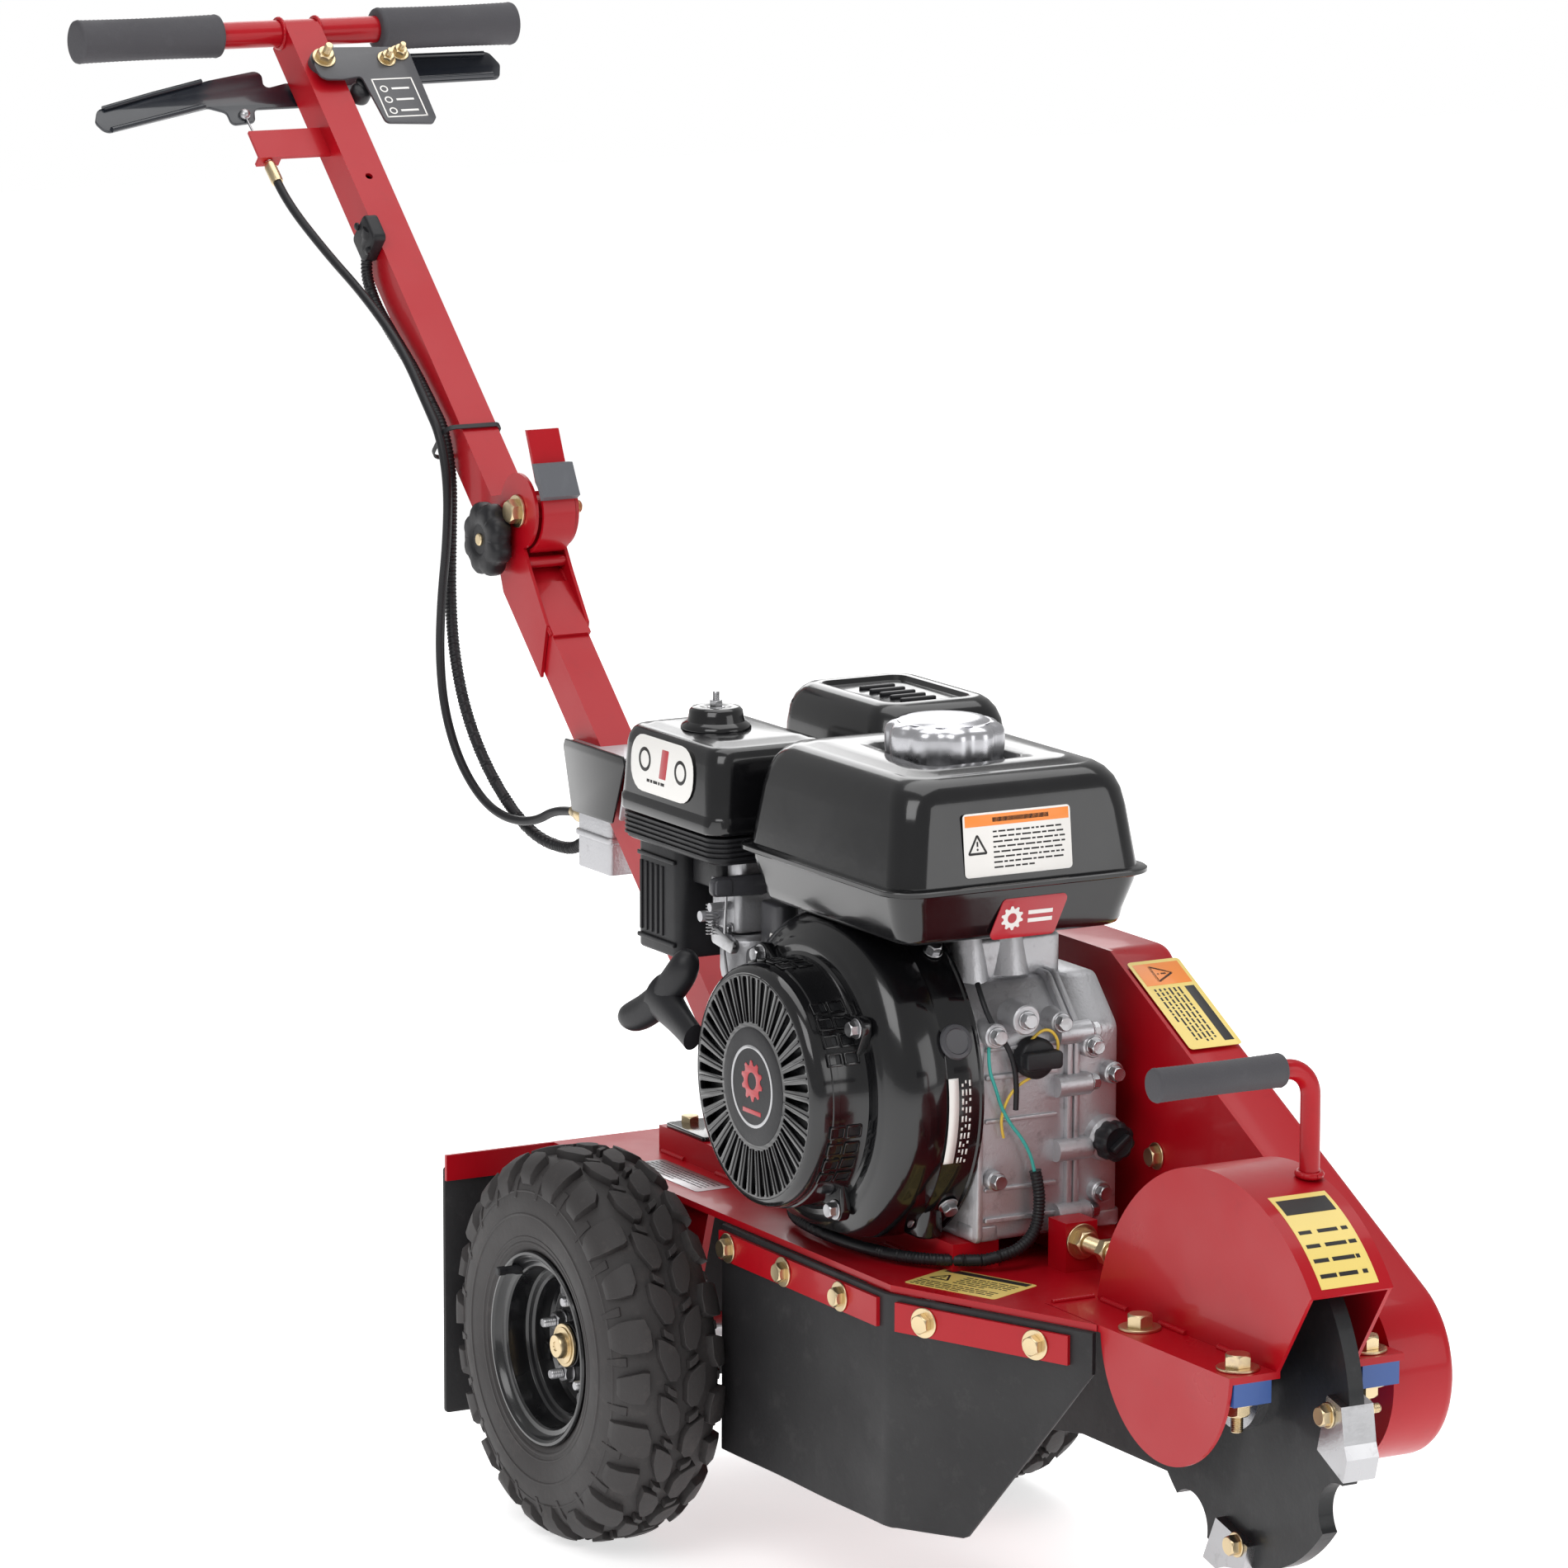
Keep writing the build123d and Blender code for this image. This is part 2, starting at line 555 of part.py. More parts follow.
def make_pulley(x, z, bore_r, name):
    """Grooved pulley on a shaft along Y."""
    with BuildPart() as pulley:
        with BuildSketch(side(BELT_MID + PULLEY_W / 2)):
            with Locations((x, z)):
                Circle(PULLEY_R)
                Circle(bore_r, mode=Mode.SUBTRACT)
        extrude(amount=PULLEY_W)
        with BuildSketch(side(BELT_MID + BELT_W / 2 + GAP)):
            with Locations((x, z)):
                Circle(PULLEY_R + 1)
                Circle(GROOVE_R, mode=Mode.SUBTRACT)
        extrude(amount=BELT_W + 2 * GAP, mode=Mode.SUBTRACT)
    save(pulley, name)


make_pulley(CUTTER_X, CUTTER_Z, SHAFT_R, "driven_pulley")
make_pulley(CRANK_X, CRANK_Z, SHAFT_R, "drive_pulley")

with BuildPart() as crankshaft:
    with BuildSketch(side(SHAFT_END - 6)):
        with Locations((CRANK_X, CRANK_Z)):
            Circle(SHAFT_R)
    extrude(amount=SHAFT_END - 6 + 104)
    with BuildSketch(side(35)):
        with Locations((CRANK_X, CRANK_Z)):
            Circle(44)
    extrude(amount=30)
save(crankshaft, "crankshaft")

with BuildPart() as flywheel:
    with BuildSketch(side(-56)):
        with Locations((CRANK_X, CRANK_Z)):
            Circle(86)
            Circle(SHAFT_R, mode=Mode.SUBTRACT)
    extrude(amount=9)
    with BuildSketch(side(-65)):
        with Locations((CRANK_X, CRANK_Z)):
            Circle(86)
            Circle(62, mode=Mode.SUBTRACT)
    extrude(amount=24)
save(flywheel, "flywheel")

belt_run = Vector(CUTTER_X - CRANK_X, 0, CUTTER_Z - CRANK_Z)
belt_plane = Plane(origin=((CRANK_X + CUTTER_X) / 2, BELT_MID + BELT_W / 2,
                           (CRANK_Z + CUTTER_Z) / 2), x_dir=belt_run, z_dir=(0, -1, 0))
with BuildPart() as drive_belt:
    with BuildSketch(belt_plane):
        SlotCenterToCenter(belt_run.length, 2 * (GROOVE_R + CLEAR + 8))
        SlotCenterToCenter(belt_run.length, 2 * (GROOVE_R + CLEAR), mode=Mode.SUBTRACT)
    extrude(amount=BELT_W)
save(drive_belt, "drive_belt")

# ---------------------------------------------------------------- belt guard
NOSE_R = 66.0
BACK_TOP = CRANK_Z + 84.0
nose_front = (CUTTER_X + NOSE_R, CUTTER_Z)
slope_top = (CRANK_X + 62.0, BACK_TOP)
# the slanted top runs tangent to the round nose
to_top = Vector(slope_top[0] - CUTTER_X, 0, slope_top[1] - CUTTER_Z)
tangent_turn = degrees(atan2(to_top.Z, to_top.X)) - degrees(atan2(
    (to_top.length ** 2 - NOSE_R ** 2) ** 0.5, NOSE_R))
nose_top = polar(NOSE_R, tangent_turn)
BELT_FLOOR = DECK_TOP + 1.0
nose_bottom = (CUTTER_X - 20.0, CUTTER_Z - (NOSE_R ** 2 - 400.0) ** 0.5)


with BuildSketch(mode=Mode.PRIVATE) as guard_shape:
    with BuildLine():
        Polyline(nose_bottom, (CRANK_X + 150, BELT_FLOOR), (BELT_REAR, BELT_FLOOR),
                 (BELT_REAR, BACK_TOP - 40), (BELT_REAR + 30, BACK_TOP), slope_top, nose_top)
        ThreePointArc(nose_top, polar(NOSE_R, -20), nose_bottom)
    make_face()

PTO_R = 52.0
with BuildPart() as belt_guard_plate:
    with BuildSketch(side(BELT_Y0 + SHEET_T)):
        add(guard_shape.sketch_local)
        with Locations((CRANK_X, CRANK_Z)):
            Circle(PTO_R, mode=Mode.SUBTRACT)
        with Locations((CUTTER_X, CUTTER_Z)):
            Circle(SHAFT_R + 4, mode=Mode.SUBTRACT)
    extrude(amount=SHEET_T)
save(belt_guard_plate, "belt_guard_plate")

with BuildPart() as belt_guard_cover:
    with BuildSketch(side(BELT_Y1)):
        add(guard_shape.sketch_local)
    extrude(amount=BELT_Y1 - BELT_Y0 - SHEET_T)
    with BuildSketch(side(BELT_Y1 - 2)):
        add(guard_shape.sketch_local)
        offset(amount=-2, mode=Mode.REPLACE)
    extrude(amount=BELT_Y1 - 2 - BELT_Y0 - SHEET_T, mode=Mode.SUBTRACT)
save(belt_guard_cover, "belt_guard_cover")

# ---------------------------------------------------------------- lift handle on the cutter guard
LIFT_X = CUTTER_X + 33.0
LIFT_Y = 50.0
LIFT_Z = 460.0
LIFT_R = 7.0
LIFT_END = -74.0
LIFT_BASE = CUTTER_Z + ((GUARD_R + SHEET_T) ** 2 - (33.0 - LIFT_R) ** 2) ** 0.5 + 0.1
with BuildPart() as lift_handle:
    with BuildLine() as lift_path:
        FilletPolyline((LIFT_X, LIFT_Y, LIFT_BASE), (LIFT_X, LIFT_Y, LIFT_Z),
                       (LIFT_X, LIFT_END, LIFT_Z), radius=20)
    with BuildSketch(Plane.XY.offset(LIFT_BASE)):
        with Locations((LIFT_X, LIFT_Y)):
            Circle(LIFT_R)
    sweep()
save(lift_handle, "lift_handle")

with BuildPart() as lift_grip:
    with BuildSketch(side(LIFT_Y - 24)):
        with Locations((LIFT_X, LIFT_Z)):
            Circle(12)
    extrude(amount=LIFT_Y - 24 - LIFT_END + 3)
    with BuildSketch(side(LIFT_Y - 24)):
        with Locations((LIFT_X, LIFT_Z)):
            Circle(LIFT_R)
    extrude(amount=LIFT_Y - 24 - LIFT_END, mode=Mode.SUBTRACT)
    fillet(lift_grip.faces().sort_by(Axis.Y)[0].edges(), 4)
save(lift_grip, "lift_grip")

# ---------------------------------------------------------------- engine block
CASE_Y0 = -40.0
CASE_FRONT, CASE_REAR = CRANK_X + 110.0, CRANK_X - 86.0
CASE_TOP = 466.0
CYL_TILT = 25.0
CHEEK_CAVITY = 48.0


def cylinder_plane(y):
    """Side plane turned to the leaning cylinder: x runs out along the bore, y is up."""
    return Plane(origin=(CRANK_X, y, CRANK_Z), x_dir=(-cos(radians(CYL_TILT)), 0,
                 sin(radians(CYL_TILT))), z_dir=(0, 1, 0))


CYL_START, CYL_END = 96.0, 176.0
HEAD_END = 206.0
CYL_LOW, CYL_HIGH = -42.0, 54.0
with BuildPart() as crankcase:
    with BuildSketch(side(CASE_Y1)):
        with BuildLine():
            Polyline((CASE_REAR, ENGINE_BASE), (CASE_FRONT, ENGINE_BASE), (CASE_FRONT, CASE_TOP - 34),
                     (CASE_FRONT - 34, CASE_TOP), (CASE_REAR + 40, CASE_TOP),
                     (CASE_REAR - 10, CASE_TOP - 66), (CASE_REAR, CRANK_Z - 30), close=True)
        make_face()
        with Locations((CRANK_X, CRANK_Z)):
            Circle(SHAFT_R + CLEAR, mode=Mode.SUBTRACT)
    extrude(amount=CASE_Y1 - CASE_Y0)
    with BuildSketch(side(CASE_Y1 + 19)):
        with Locations((CRANK_X, CRANK_Z)):
            Circle(PTO_R - 4)
            Circle(SHAFT_R + CLEAR, mode=Mode.SUBTRACT)
    extrude(amount=19)
    with BuildSketch(side(38)):
        with Locations((CRANK_X, CRANK_Z)):
            Circle(CHEEK_CAVITY)
    extrude(amount=36, mode=Mode.SUBTRACT)
    with BuildSketch(Plane.YZ.offset(CASE_FRONT)):
        with Locations((66, 350)):
            Circle(13)
    extrude(amount=8)
    with BuildSketch(Plane.YZ.offset(CASE_FRONT + 8)):
        with Locations((66, 350)):
            Circle(8 + CLEAR)
    extrude(amount=-30, mode=Mode.SUBTRACT)
    with BuildSketch(cylinder_plane(74)):
        with Locations((CYL_START - 4, 6)):
            Rectangle(20, CYL_HIGH - CYL_LOW)
    extrude(amount=-114)
save(crankcase, "crankcase")

FINS = 6
with BuildPart() as cylinder:
    with BuildSketch(cylinder_plane(60)):
        with Locations(((CYL_START + 7 + CYL_END) / 2, 6)):
            Rectangle(CYL_END - CYL_START - 7, CYL_HIGH - CYL_LOW - 20)
    extrude(amount=-88)
    for fin in range(FINS):
        with BuildSketch(cylinder_plane(72)):
            with Locations((CYL_START + 14 + fin * 12, 6)):
                Rectangle(3, CYL_HIGH - CYL_LOW)
        extrude(amount=-110)
    with BuildSketch(cylinder_plane(66)):
        with Locations(((CYL_END + HEAD_END) / 2, 6)):
            Rectangle(HEAD_END - CYL_END, CYL_HIGH - CYL_LOW)
    extrude(amount=-100)
save(cylinder, "cylinder")

with BuildPart() as valve_cover:
    with BuildSketch(cylinder_plane(56)):
        with Locations((HEAD_END + 10 + GAP, 6)):
            Rectangle(20, CYL_HIGH - CYL_LOW - 26)
    extrude(amount=-80)
    fillet(valve_cover.edges().filter_by(Axis.Y), 6)
save(valve_cover, "valve_cover")

FAN_R = 122.0
TANK_LOW, TANK_HIGH = 509.0, 629.0
FAN_WALL = 2.5
DRUM_R = 88.0
with BuildPart() as fan_housing:
    with BuildSketch(side(FAN_Y1)):
        with Locations((CRANK_X, CRANK_Z)):
            Circle(FAN_R)
        with Locations((CRANK_X, (CRANK_Z + ENGINE_BASE) / 2)):
            Rectangle(176, CRANK_Z - ENGINE_BASE)
    extrude(amount=FAN_Y1 - FAN_Y0)
    fillet(fan_housing.faces().sort_by(Axis.Y)[0].edges(), 18)
    split(bisect_by=Plane.XY.offset(ENGINE_BASE), keep=Keep.TOP)
    split(bisect_by=Plane.XY.offset(TANK_LOW - 2), keep=Keep.BOTTOM)
    with BuildSketch(side(FAN_Y1)):
        with Locations((CRANK_X, CRANK_Z)):
            Circle(FAN_R - 18)
    extrude(amount=FAN_Y1 - FAN_Y0 - FAN_WALL, mode=Mode.SUBTRACT)
    with BuildSketch(side(FAN_Y1)):
        with Locations((CRANK_X, CRANK_Z)):
            Circle(DRUM_R - 6)
    extrude(amount=FAN_Y1 - FAN_Y0 + 1, mode=Mode.SUBTRACT)
save(fan_housing, "fan_housing")

DRUM_WALL = 2.5
with BuildPart() as recoil_cover:
    with BuildSketch(side(FAN_Y0)):
        with Locations((CRANK_X, CRANK_Z)):
            Circle(DRUM_R)
    extrude(amount=FAN_Y0 - RECOIL_Y)
    fillet(recoil_cover.faces().sort_by(Axis.Y)[0].edges(), 14)
    with BuildSketch(side(FAN_Y0)):
        with Locations((CRANK_X, CRANK_Z)):
            Circle(DRUM_R - DRUM_WALL - 8)
    extrude(amount=FAN_Y0 - RECOIL_Y - DRUM_WALL, mode=Mode.SUBTRACT)
    with BuildSketch(side(RECOIL_Y + DRUM_WALL + 12)):
        with Locations((CRANK_X, CRANK_Z)):
            Circle(7)
    extrude(amount=12)
save(recoil_cover, "recoil_cover")

with BuildPart() as starter_reel:
    with BuildSketch(side(-130)):
        with Locations((CRANK_X, CRANK_Z)):
            Circle(62)
            Circle(7 + CLEAR, mode=Mode.SUBTRACT)
    extrude(amount=18)
    with BuildSketch(side(-135)):
        with Locations((CRANK_X, CRANK_Z)):
            Circle(66)
            Circle(54, mode=Mode.SUBTRACT)
    extrude(amount=8, mode=Mode.SUBTRACT)
save(starter_reel, "starter_reel")

# ---------------------------------------------------------------- starter grip
GRIP_Y = -158.0
GRIP_LOW = Vector(CRANK_X - 182, GRIP_Y - 6, 400)
GRIP_HIGH = Vector(CRANK_X - 103, GRIP_Y + 6, 462)
GRIP_FOOT = Vector(CRANK_X - 92, GRIP_Y, 408)
with BuildPart() as pull_grip:
    grip_middle = (GRIP_LOW + GRIP_HIGH) * 0.5
    with BuildSketch(Plane(origin=GRIP_LOW, z_dir=GRIP_HIGH - GRIP_LOW)):
        Circle(12.5)
    extrude(amount=(GRIP_HIGH - GRIP_LOW).length)
    with Locations(GRIP_LOW, GRIP_HIGH):
        Sphere(12.5)
    with BuildSketch(Plane(origin=grip_middle, z_dir=GRIP_FOOT - grip_middle)):
        Circle(10)
    extrude(amount=(GRIP_FOOT - grip_middle).length)
save(pull_grip, "pull_grip")

# ---------------------------------------------------------------- fuel tank
TANK_X0, TANK_X1 = CRANK_X - 93.0, CRANK_X + 149.0
TANK_Y0, TANK_Y1 = -129.0, 88.0
TANK_SEAM = 549.0
TANK_CX, TANK_CY = (TANK_X0 + TANK_X1) / 2, (TANK_Y0 + TANK_Y1) / 2
TANK_W, TANK_L = TANK_Y1 - TANK_Y0, TANK_X1 - TANK_X0
CAP_X, CAP_Y = CRANK_X + 42.0, -28.0
CAP_R = 43.0
CAP_Z0 = TANK_HIGH - 10.0


def tank_half(z0, z1, inset0, inset1, corner):
    """Lofted half of the tank between two rounded rectangles."""
    with BuildPart(mode=Mode.PRIVATE) as half:
        for z, inset in ((z0, inset0), (z1, inset1)):
            with BuildSketch(Plane.XY.offset(z)):
                with Locations((TANK_CX, TANK_CY)):
                    RectangleRounded(TANK_L - 2 * inset, TANK_W - 2 * inset, corner)
        loft()
    return half.part


upper_half = tank_half(TANK_SEAM, TANK_HIGH, 7, 20, 22)
lower_half = tank_half(TANK_SEAM, TANK_LOW, 7, 16, 22)
upper_space = tank_half(TANK_SEAM, CAP_Z0 - 4, 10, 21, 19)
lower_space = tank_half(TANK_SEAM, TANK_LOW + 3, 10, 18.5, 19)
with BuildPart() as fuel_tank:
    add(upper_half)
    add(lower_half)
    with BuildSketch(Plane.XY.offset(TANK_SEAM - 2)):
        with Locations((TANK_CX, TANK_CY)):
            RectangleRounded(TANK_L, TANK_W, 26)
    extrude(amount=4)
    fillet(fuel_tank.faces().sort_by(Axis.Z)[-1].edges(), 12)
    add(upper_space, mode=Mode.SUBTRACT)
    add(lower_space, mode=Mode.SUBTRACT)
    with BuildSketch(Plane.XY.offset(TANK_HIGH)):
        with Locations((CAP_X, CAP_Y)):
            Circle(CAP_R + 4)
    extrude(amount=-(TANK_HIGH - CAP_Z0), mode=Mode.SUBTRACT)
    with BuildSketch(Plane.XY.offset(CAP_Z0 + 8)):
        with Locations((CAP_X, CAP_Y)):
            Circle(26)
    extrude(amount=-24)
    with BuildSketch(Plane.XY.offset(CAP_Z0 + 8)):
        with Locations((CAP_X, CAP_Y)):
            Circle(22)
    extrude(amount=-24, mode=Mode.SUBTRACT)
save(fuel_tank, "fuel_tank")

with BuildPart() as fuel_cap:
    with BuildSketch(Plane.XY.offset(CAP_Z0 + 0.5)):
        with Locations((CAP_X, CAP_Y)):
            Circle(CAP_R)
    extrude(amount=34)
    fillet(fuel_cap.faces().sort_by(Axis.Z)[-1].edges(), 5)
    with BuildSketch(Plane.XY.offset(CAP_Z0 + 0.5)):
        with Locations((CAP_X, CAP_Y)):
            Circle(26 + 2 * CLEAR)
    extrude(amount=12, mode=Mode.SUBTRACT)
save(fuel_cap, "fuel_cap")

# ---------------------------------------------------------------- intake side
AIR_X0, AIR_X1 = CRANK_X - 250.0, CRANK_X - 98.0
AIR_Y0, AIR_Y1 = -138.0, -30.0
AIR_SEAM, AIR_LOW, AIR_TOP = 551.0, 528.0, 617.0
AIR_CX, AIR_CY = (AIR_X0 + AIR_X1) / 2, (AIR_Y0 + AIR_Y1) / 2
with BuildPart() as air_cleaner_case:
    with BuildSketch(Plane.XY.offset(AIR_LOW)):
        with Locations((AIR_CX, AIR_CY)):
            RectangleRounded(AIR_X1 - AIR_X0 - 6, AIR_Y1 - AIR_Y0 - 6, 16)
    extrude(amount=AIR_SEAM - GAP - AIR_LOW)
    with BuildSketch(Plane.XY.offset(444)):
        with Locations((AIR_X0 + 31, AIR_CY + 8)):
            RectangleRounded(62, 80, 8)
    extrude(amount=AIR_LOW - 444)
save(air_cleaner_case, "air_cleaner_case")

with BuildPart() as air_cleaner_cover:
    with BuildSketch(Plane.XY.offset(AIR_SEAM)):
        with Locations((AIR_CX, AIR_CY)):
            RectangleRounded(AIR_X1 - AIR_X0, AIR_Y1 - AIR_Y0, 20)
    with BuildSketch(Plane.XY.offset(AIR_TOP)):
        with Locations((AIR_CX, AIR_CY)):
            RectangleRounded(AIR_X1 - AIR_X0 - 8, AIR_Y1 - AIR_Y0 - 8, 18)
    loft()
    fillet(air_cleaner_cover.faces().sort_by(Axis.Z)[-1].edges(), 8)
    with BuildSketch(Plane.XY.offset(AIR_SEAM)):
        with Locations((AIR_CX, AIR_CY)):
            RectangleRounded(AIR_X1 - AIR_X0 - 18, AIR_Y1 - AIR_Y0 - 18, 12)
    extrude(amount=AIR_TOP - AIR_SEAM - 9, mode=Mode.SUBTRACT)
save(air_cleaner_cover, "air_cleaner_cover")

with BuildPart() as air_element:
    with BuildSketch(Plane.XY.offset(AIR_SEAM)):
        with Locations((AIR_CX, AIR_CY)):
            RectangleRounded(AIR_X1 - AIR_X0 - 40, AIR_Y1 - AIR_Y0 - 40, 12)
    extrude(amount=AIR_TOP - AIR_SEAM - 12)
save(air_element, "air_element")

with BuildPart() as cover_knob:
    with BuildSketch(Plane.XY.offset(AIR_TOP)):
        with Locations((AIR_CX - 3, AIR_CY - 8)):
            Circle(26)
    with BuildSketch(Plane.XY.offset(AIR_TOP + 16)):
        with Locations((AIR_CX - 3, AIR_CY - 8)):
            Circle(18)
    loft()
save(cover_knob, "cover_knob")

CARB_X = CRANK_X - 139.0
CARB_Y = -86.0
with BuildPart() as carburettor:
    with BuildSketch(Plane.XY.offset(462)):
        with Locations((CARB_X, CARB_Y)):
            Rectangle(44, 46)
    extrude(amount=AIR_LOW - GAP - 462)
    with BuildSketch(Plane.XY.offset(430)):
        with Locations((CARB_X, CARB_Y)):
            Circle(21)
    extrude(amount=32)
save(carburettor, "carburettor")

CHOKE_X = CARB_X + 22 + GAP
with BuildPart() as choke_lever:
    with BuildSketch(Plane.YZ.offset(CHOKE_X)):
        with BuildLine():
            Polyline((CARB_Y - 8, 503), (CARB_Y - 46, 505), (CARB_Y - 46, 519), (CARB_Y + 6, 519),
                     (CARB_Y + 6, 503), close=True)
        make_face()
    extrude(amount=6)
save(choke_lever, "choke_lever")

with BuildPart() as fuel_valve:
    with BuildSketch(side(CARB_Y - 23 - GAP)):
        with BuildLine():
            Polyline((CARB_X - 4, 478), (CARB_X - 4, 466), (CARB_X + 30, 462), (CARB_X + 30, 472),
                     close=True)
        make_face()
    extrude(amount=6)
save(fuel_valve, "fuel_valve")

# ---------------------------------------------------------------- exhaust
MUFF_X0, MUFF_X1 = CRANK_X - 254.0, CRANK_X - 97.0
MUFF_Y0, MUFF_Y1 = 0.0, 118.0
MUFF_Z0, MUFF_Z1 = 534.0, 634.0
MUFF_CX, MUFF_CY = (MUFF_X0 + MUFF_X1) / 2, (MUFF_Y0 + MUFF_Y1) / 2
with BuildPart() as muffler:
    with BuildSketch(Plane.XY.offset(MUFF_Z0 + 12)):
        with Locations((MUFF_CX, MUFF_CY)):
            RectangleRounded(MUFF_X1 - MUFF_X0 - 26, MUFF_Y1 - MUFF_Y0 - 26, 22)
    extrude(amount=MUFF_Z1 - MUFF_Z0 - 28)
save(muffler, "muffler")

with BuildPart() as muffler_guard:
    with BuildSketch(Plane.XY.offset(MUFF_Z0)):
        with Locations((MUFF_CX, MUFF_CY)):
            RectangleRounded(MUFF_X1 - MUFF_X0, MUFF_Y1 - MUFF_Y0, 22)
    extrude(amount=MUFF_Z1 - MUFF_Z0)
    fillet(muffler_guard.faces().sort_by(Axis.Z)[-1].edges(), 14)
    with BuildSketch(Plane.XY.offset(MUFF_Z0)):
        with Locations((MUFF_CX, MUFF_CY)):
            RectangleRounded(MUFF_X1 - MUFF_X0 - 20, MUFF_Y1 - MUFF_Y0 - 20, 16)
    extrude(amount=MUFF_Z1 - MUFF_Z0 - 10, mode=Mode.SUBTRACT)
save(muffler_guard, "muffler_guard")

with BuildPart() as dipstick:
    with BuildSketch(Plane.YZ.offset(CASE_FRONT - 20)):
        with Locations((66, 350)):
            Circle(8)
    extrude(amount=28)
    with BuildSketch(Plane.YZ.offset(CASE_FRONT + 8)):
        with Locations((66, 350)):
            RegularPolygon(14, 6)
    extrude(amount=14)
save(dipstick, "dipstick")

ENGINE_BOLTS = [(CRANK_X - 264, -38), (CRANK_X - 264, 60)]
with frame_bolts:
    for bolt_x, bolt_y in ENGINE_BOLTS:
        with BuildSketch(Plane.XY.offset(ENGINE_BASE)):
            with Locations((bolt_x, bolt_y)):
                RegularPolygon(8.5, 6)
        extrude(amount=7)
save(frame_bolts, "frame_bolts")

# ---------------------------------------------------------------- fixed column and fold joint
HALF = TUBE / 2
SLEEVE_END = 74.0
CHEEK_IN = HALF + 0.5
CHEEK_T = 2.7
CHEEK_TOP_R = 30.0
KNOB_S, KNOB_N = -33.0, 11.0
KNOB_SCREW_R = 5.0
PIVOT_BOLT_R = 6.0
COLUMN_FOOT_S = 660.0

with BuildPart() as lower_column:
    with BuildSketch(column_section(2)):
        Rectangle(TUBE, TUBE)
        Rectangle(TUBE - 2 * TUBE_WALL, TUBE - 2 * TUBE_WALL, mode=Mode.SUBTRACT)
    extrude(amount=COLUMN_FOOT_S)
    split(bisect_by=Plane.XY.offset(DECK_TOP), keep=Keep.TOP)
save(lower_column, "lower_column")


PIN_S, PIN_N, PIN_R = 4.0, 25.0, 4.5
with BuildPart() as hinge_bracket:
    for cheek_y in (CHEEK_IN + CHEEK_T, -CHEEK_IN):
        with BuildSketch(column_side(cheek_y)):
            with BuildLine():
                Polyline((SLEEVE_END + 10, -HALF - 3), (SLEEVE_END - 12, HALF + 3), (16, HALF + 12),
                         (PIVOT_S + 26, PIVOT_N - 15), (PIVOT_S, PIVOT_N + 2), (PIVOT_S - 28, PIVOT_N - 10),
                         (KNOB_S - 16, KNOB_N + 2), (KNOB_S - 12, KNOB_N - 14),
                         (KNOB_S + 4, KNOB_N - 17), (-2, -HALF - 3), close=True)
            make_face()
            with Locations((PIVOT_S, PIVOT_N)):
                Circle(CHEEK_TOP_R)
                Circle(PIVOT_BOLT_R + CLEAR, mode=Mode.SUBTRACT)
            if cheek_y < 0:
                with Locations((KNOB_S, KNOB_N)):
                    Circle(KNOB_SCREW_R + CLEAR, mode=Mode.SUBTRACT)
        extrude(amount=CHEEK_T)
    with BuildSketch(column_section(20)):
        with Locations((0, HALF + 1.5 + CLEAR)):
            Rectangle(2 * CHEEK_IN, 3)
    extrude(amount=SLEEVE_END - 22)
    with BuildSketch(column_side(CHEEK_IN)):
        with Locations((PIN_S, PIN_N)):
            Circle(PIN_R)
    extrude(amount=2 * CHEEK_IN)
save(hinge_bracket, "hinge_bracket")

HEAD_Y = CHEEK_IN + CHEEK_T
with BuildPart() as pivot_bolt:
    with BuildSketch(column_side(HEAD_Y + 8)):
        with Locations((PIVOT_S, PIVOT_N)):
            Circle(PIVOT_BOLT_R)
    extrude(amount=2 * HEAD_Y + 16)
    for head_y in (HEAD_Y + 8, -HEAD_Y):
        with BuildSketch(column_side(head_y)):
            with Locations((PIVOT_S, PIVOT_N)):
                RegularPolygon(10, 6)
        extrude(amount=8)
save(pivot_bolt, "pivot_bolt")

KNOB_R = 30.0
KNOB_LOBES = 8
with BuildPart() as clamp_knob:
    with BuildSketch(column_side(-HEAD_Y - 22)):
        with Locations((KNOB_S, KNOB_N)):
            Circle(KNOB_R - 4)
            with PolarLocations(KNOB_R - 7, KNOB_LOBES):
                Circle(7)
    extrude(amount=22)
    with BuildSketch(column_side(-HEAD_Y - 3)):
        with Locations((KNOB_S, KNOB_N)):
            Circle(15)
    extrude(amount=20)
    with BuildSketch(column_side(-HALF - 0.2)):
        with Locations((KNOB_S, KNOB_N)):
            Circle(KNOB_SCREW_R)
    extrude(amount=12)
save(clamp_knob, "clamp_knob")

# ---------------------------------------------------------------- folding handle
BAR_S, BAR_N = -576.0, 3.0
bar_centre = column_point(BAR_S, BAR_N)
HOLE_S = -407.0
HOLE_R = 3.2
CONTROL_S = -528.0
CONTROL_R = 4.0
LUG_HALF = CHEEK_IN - 0.5

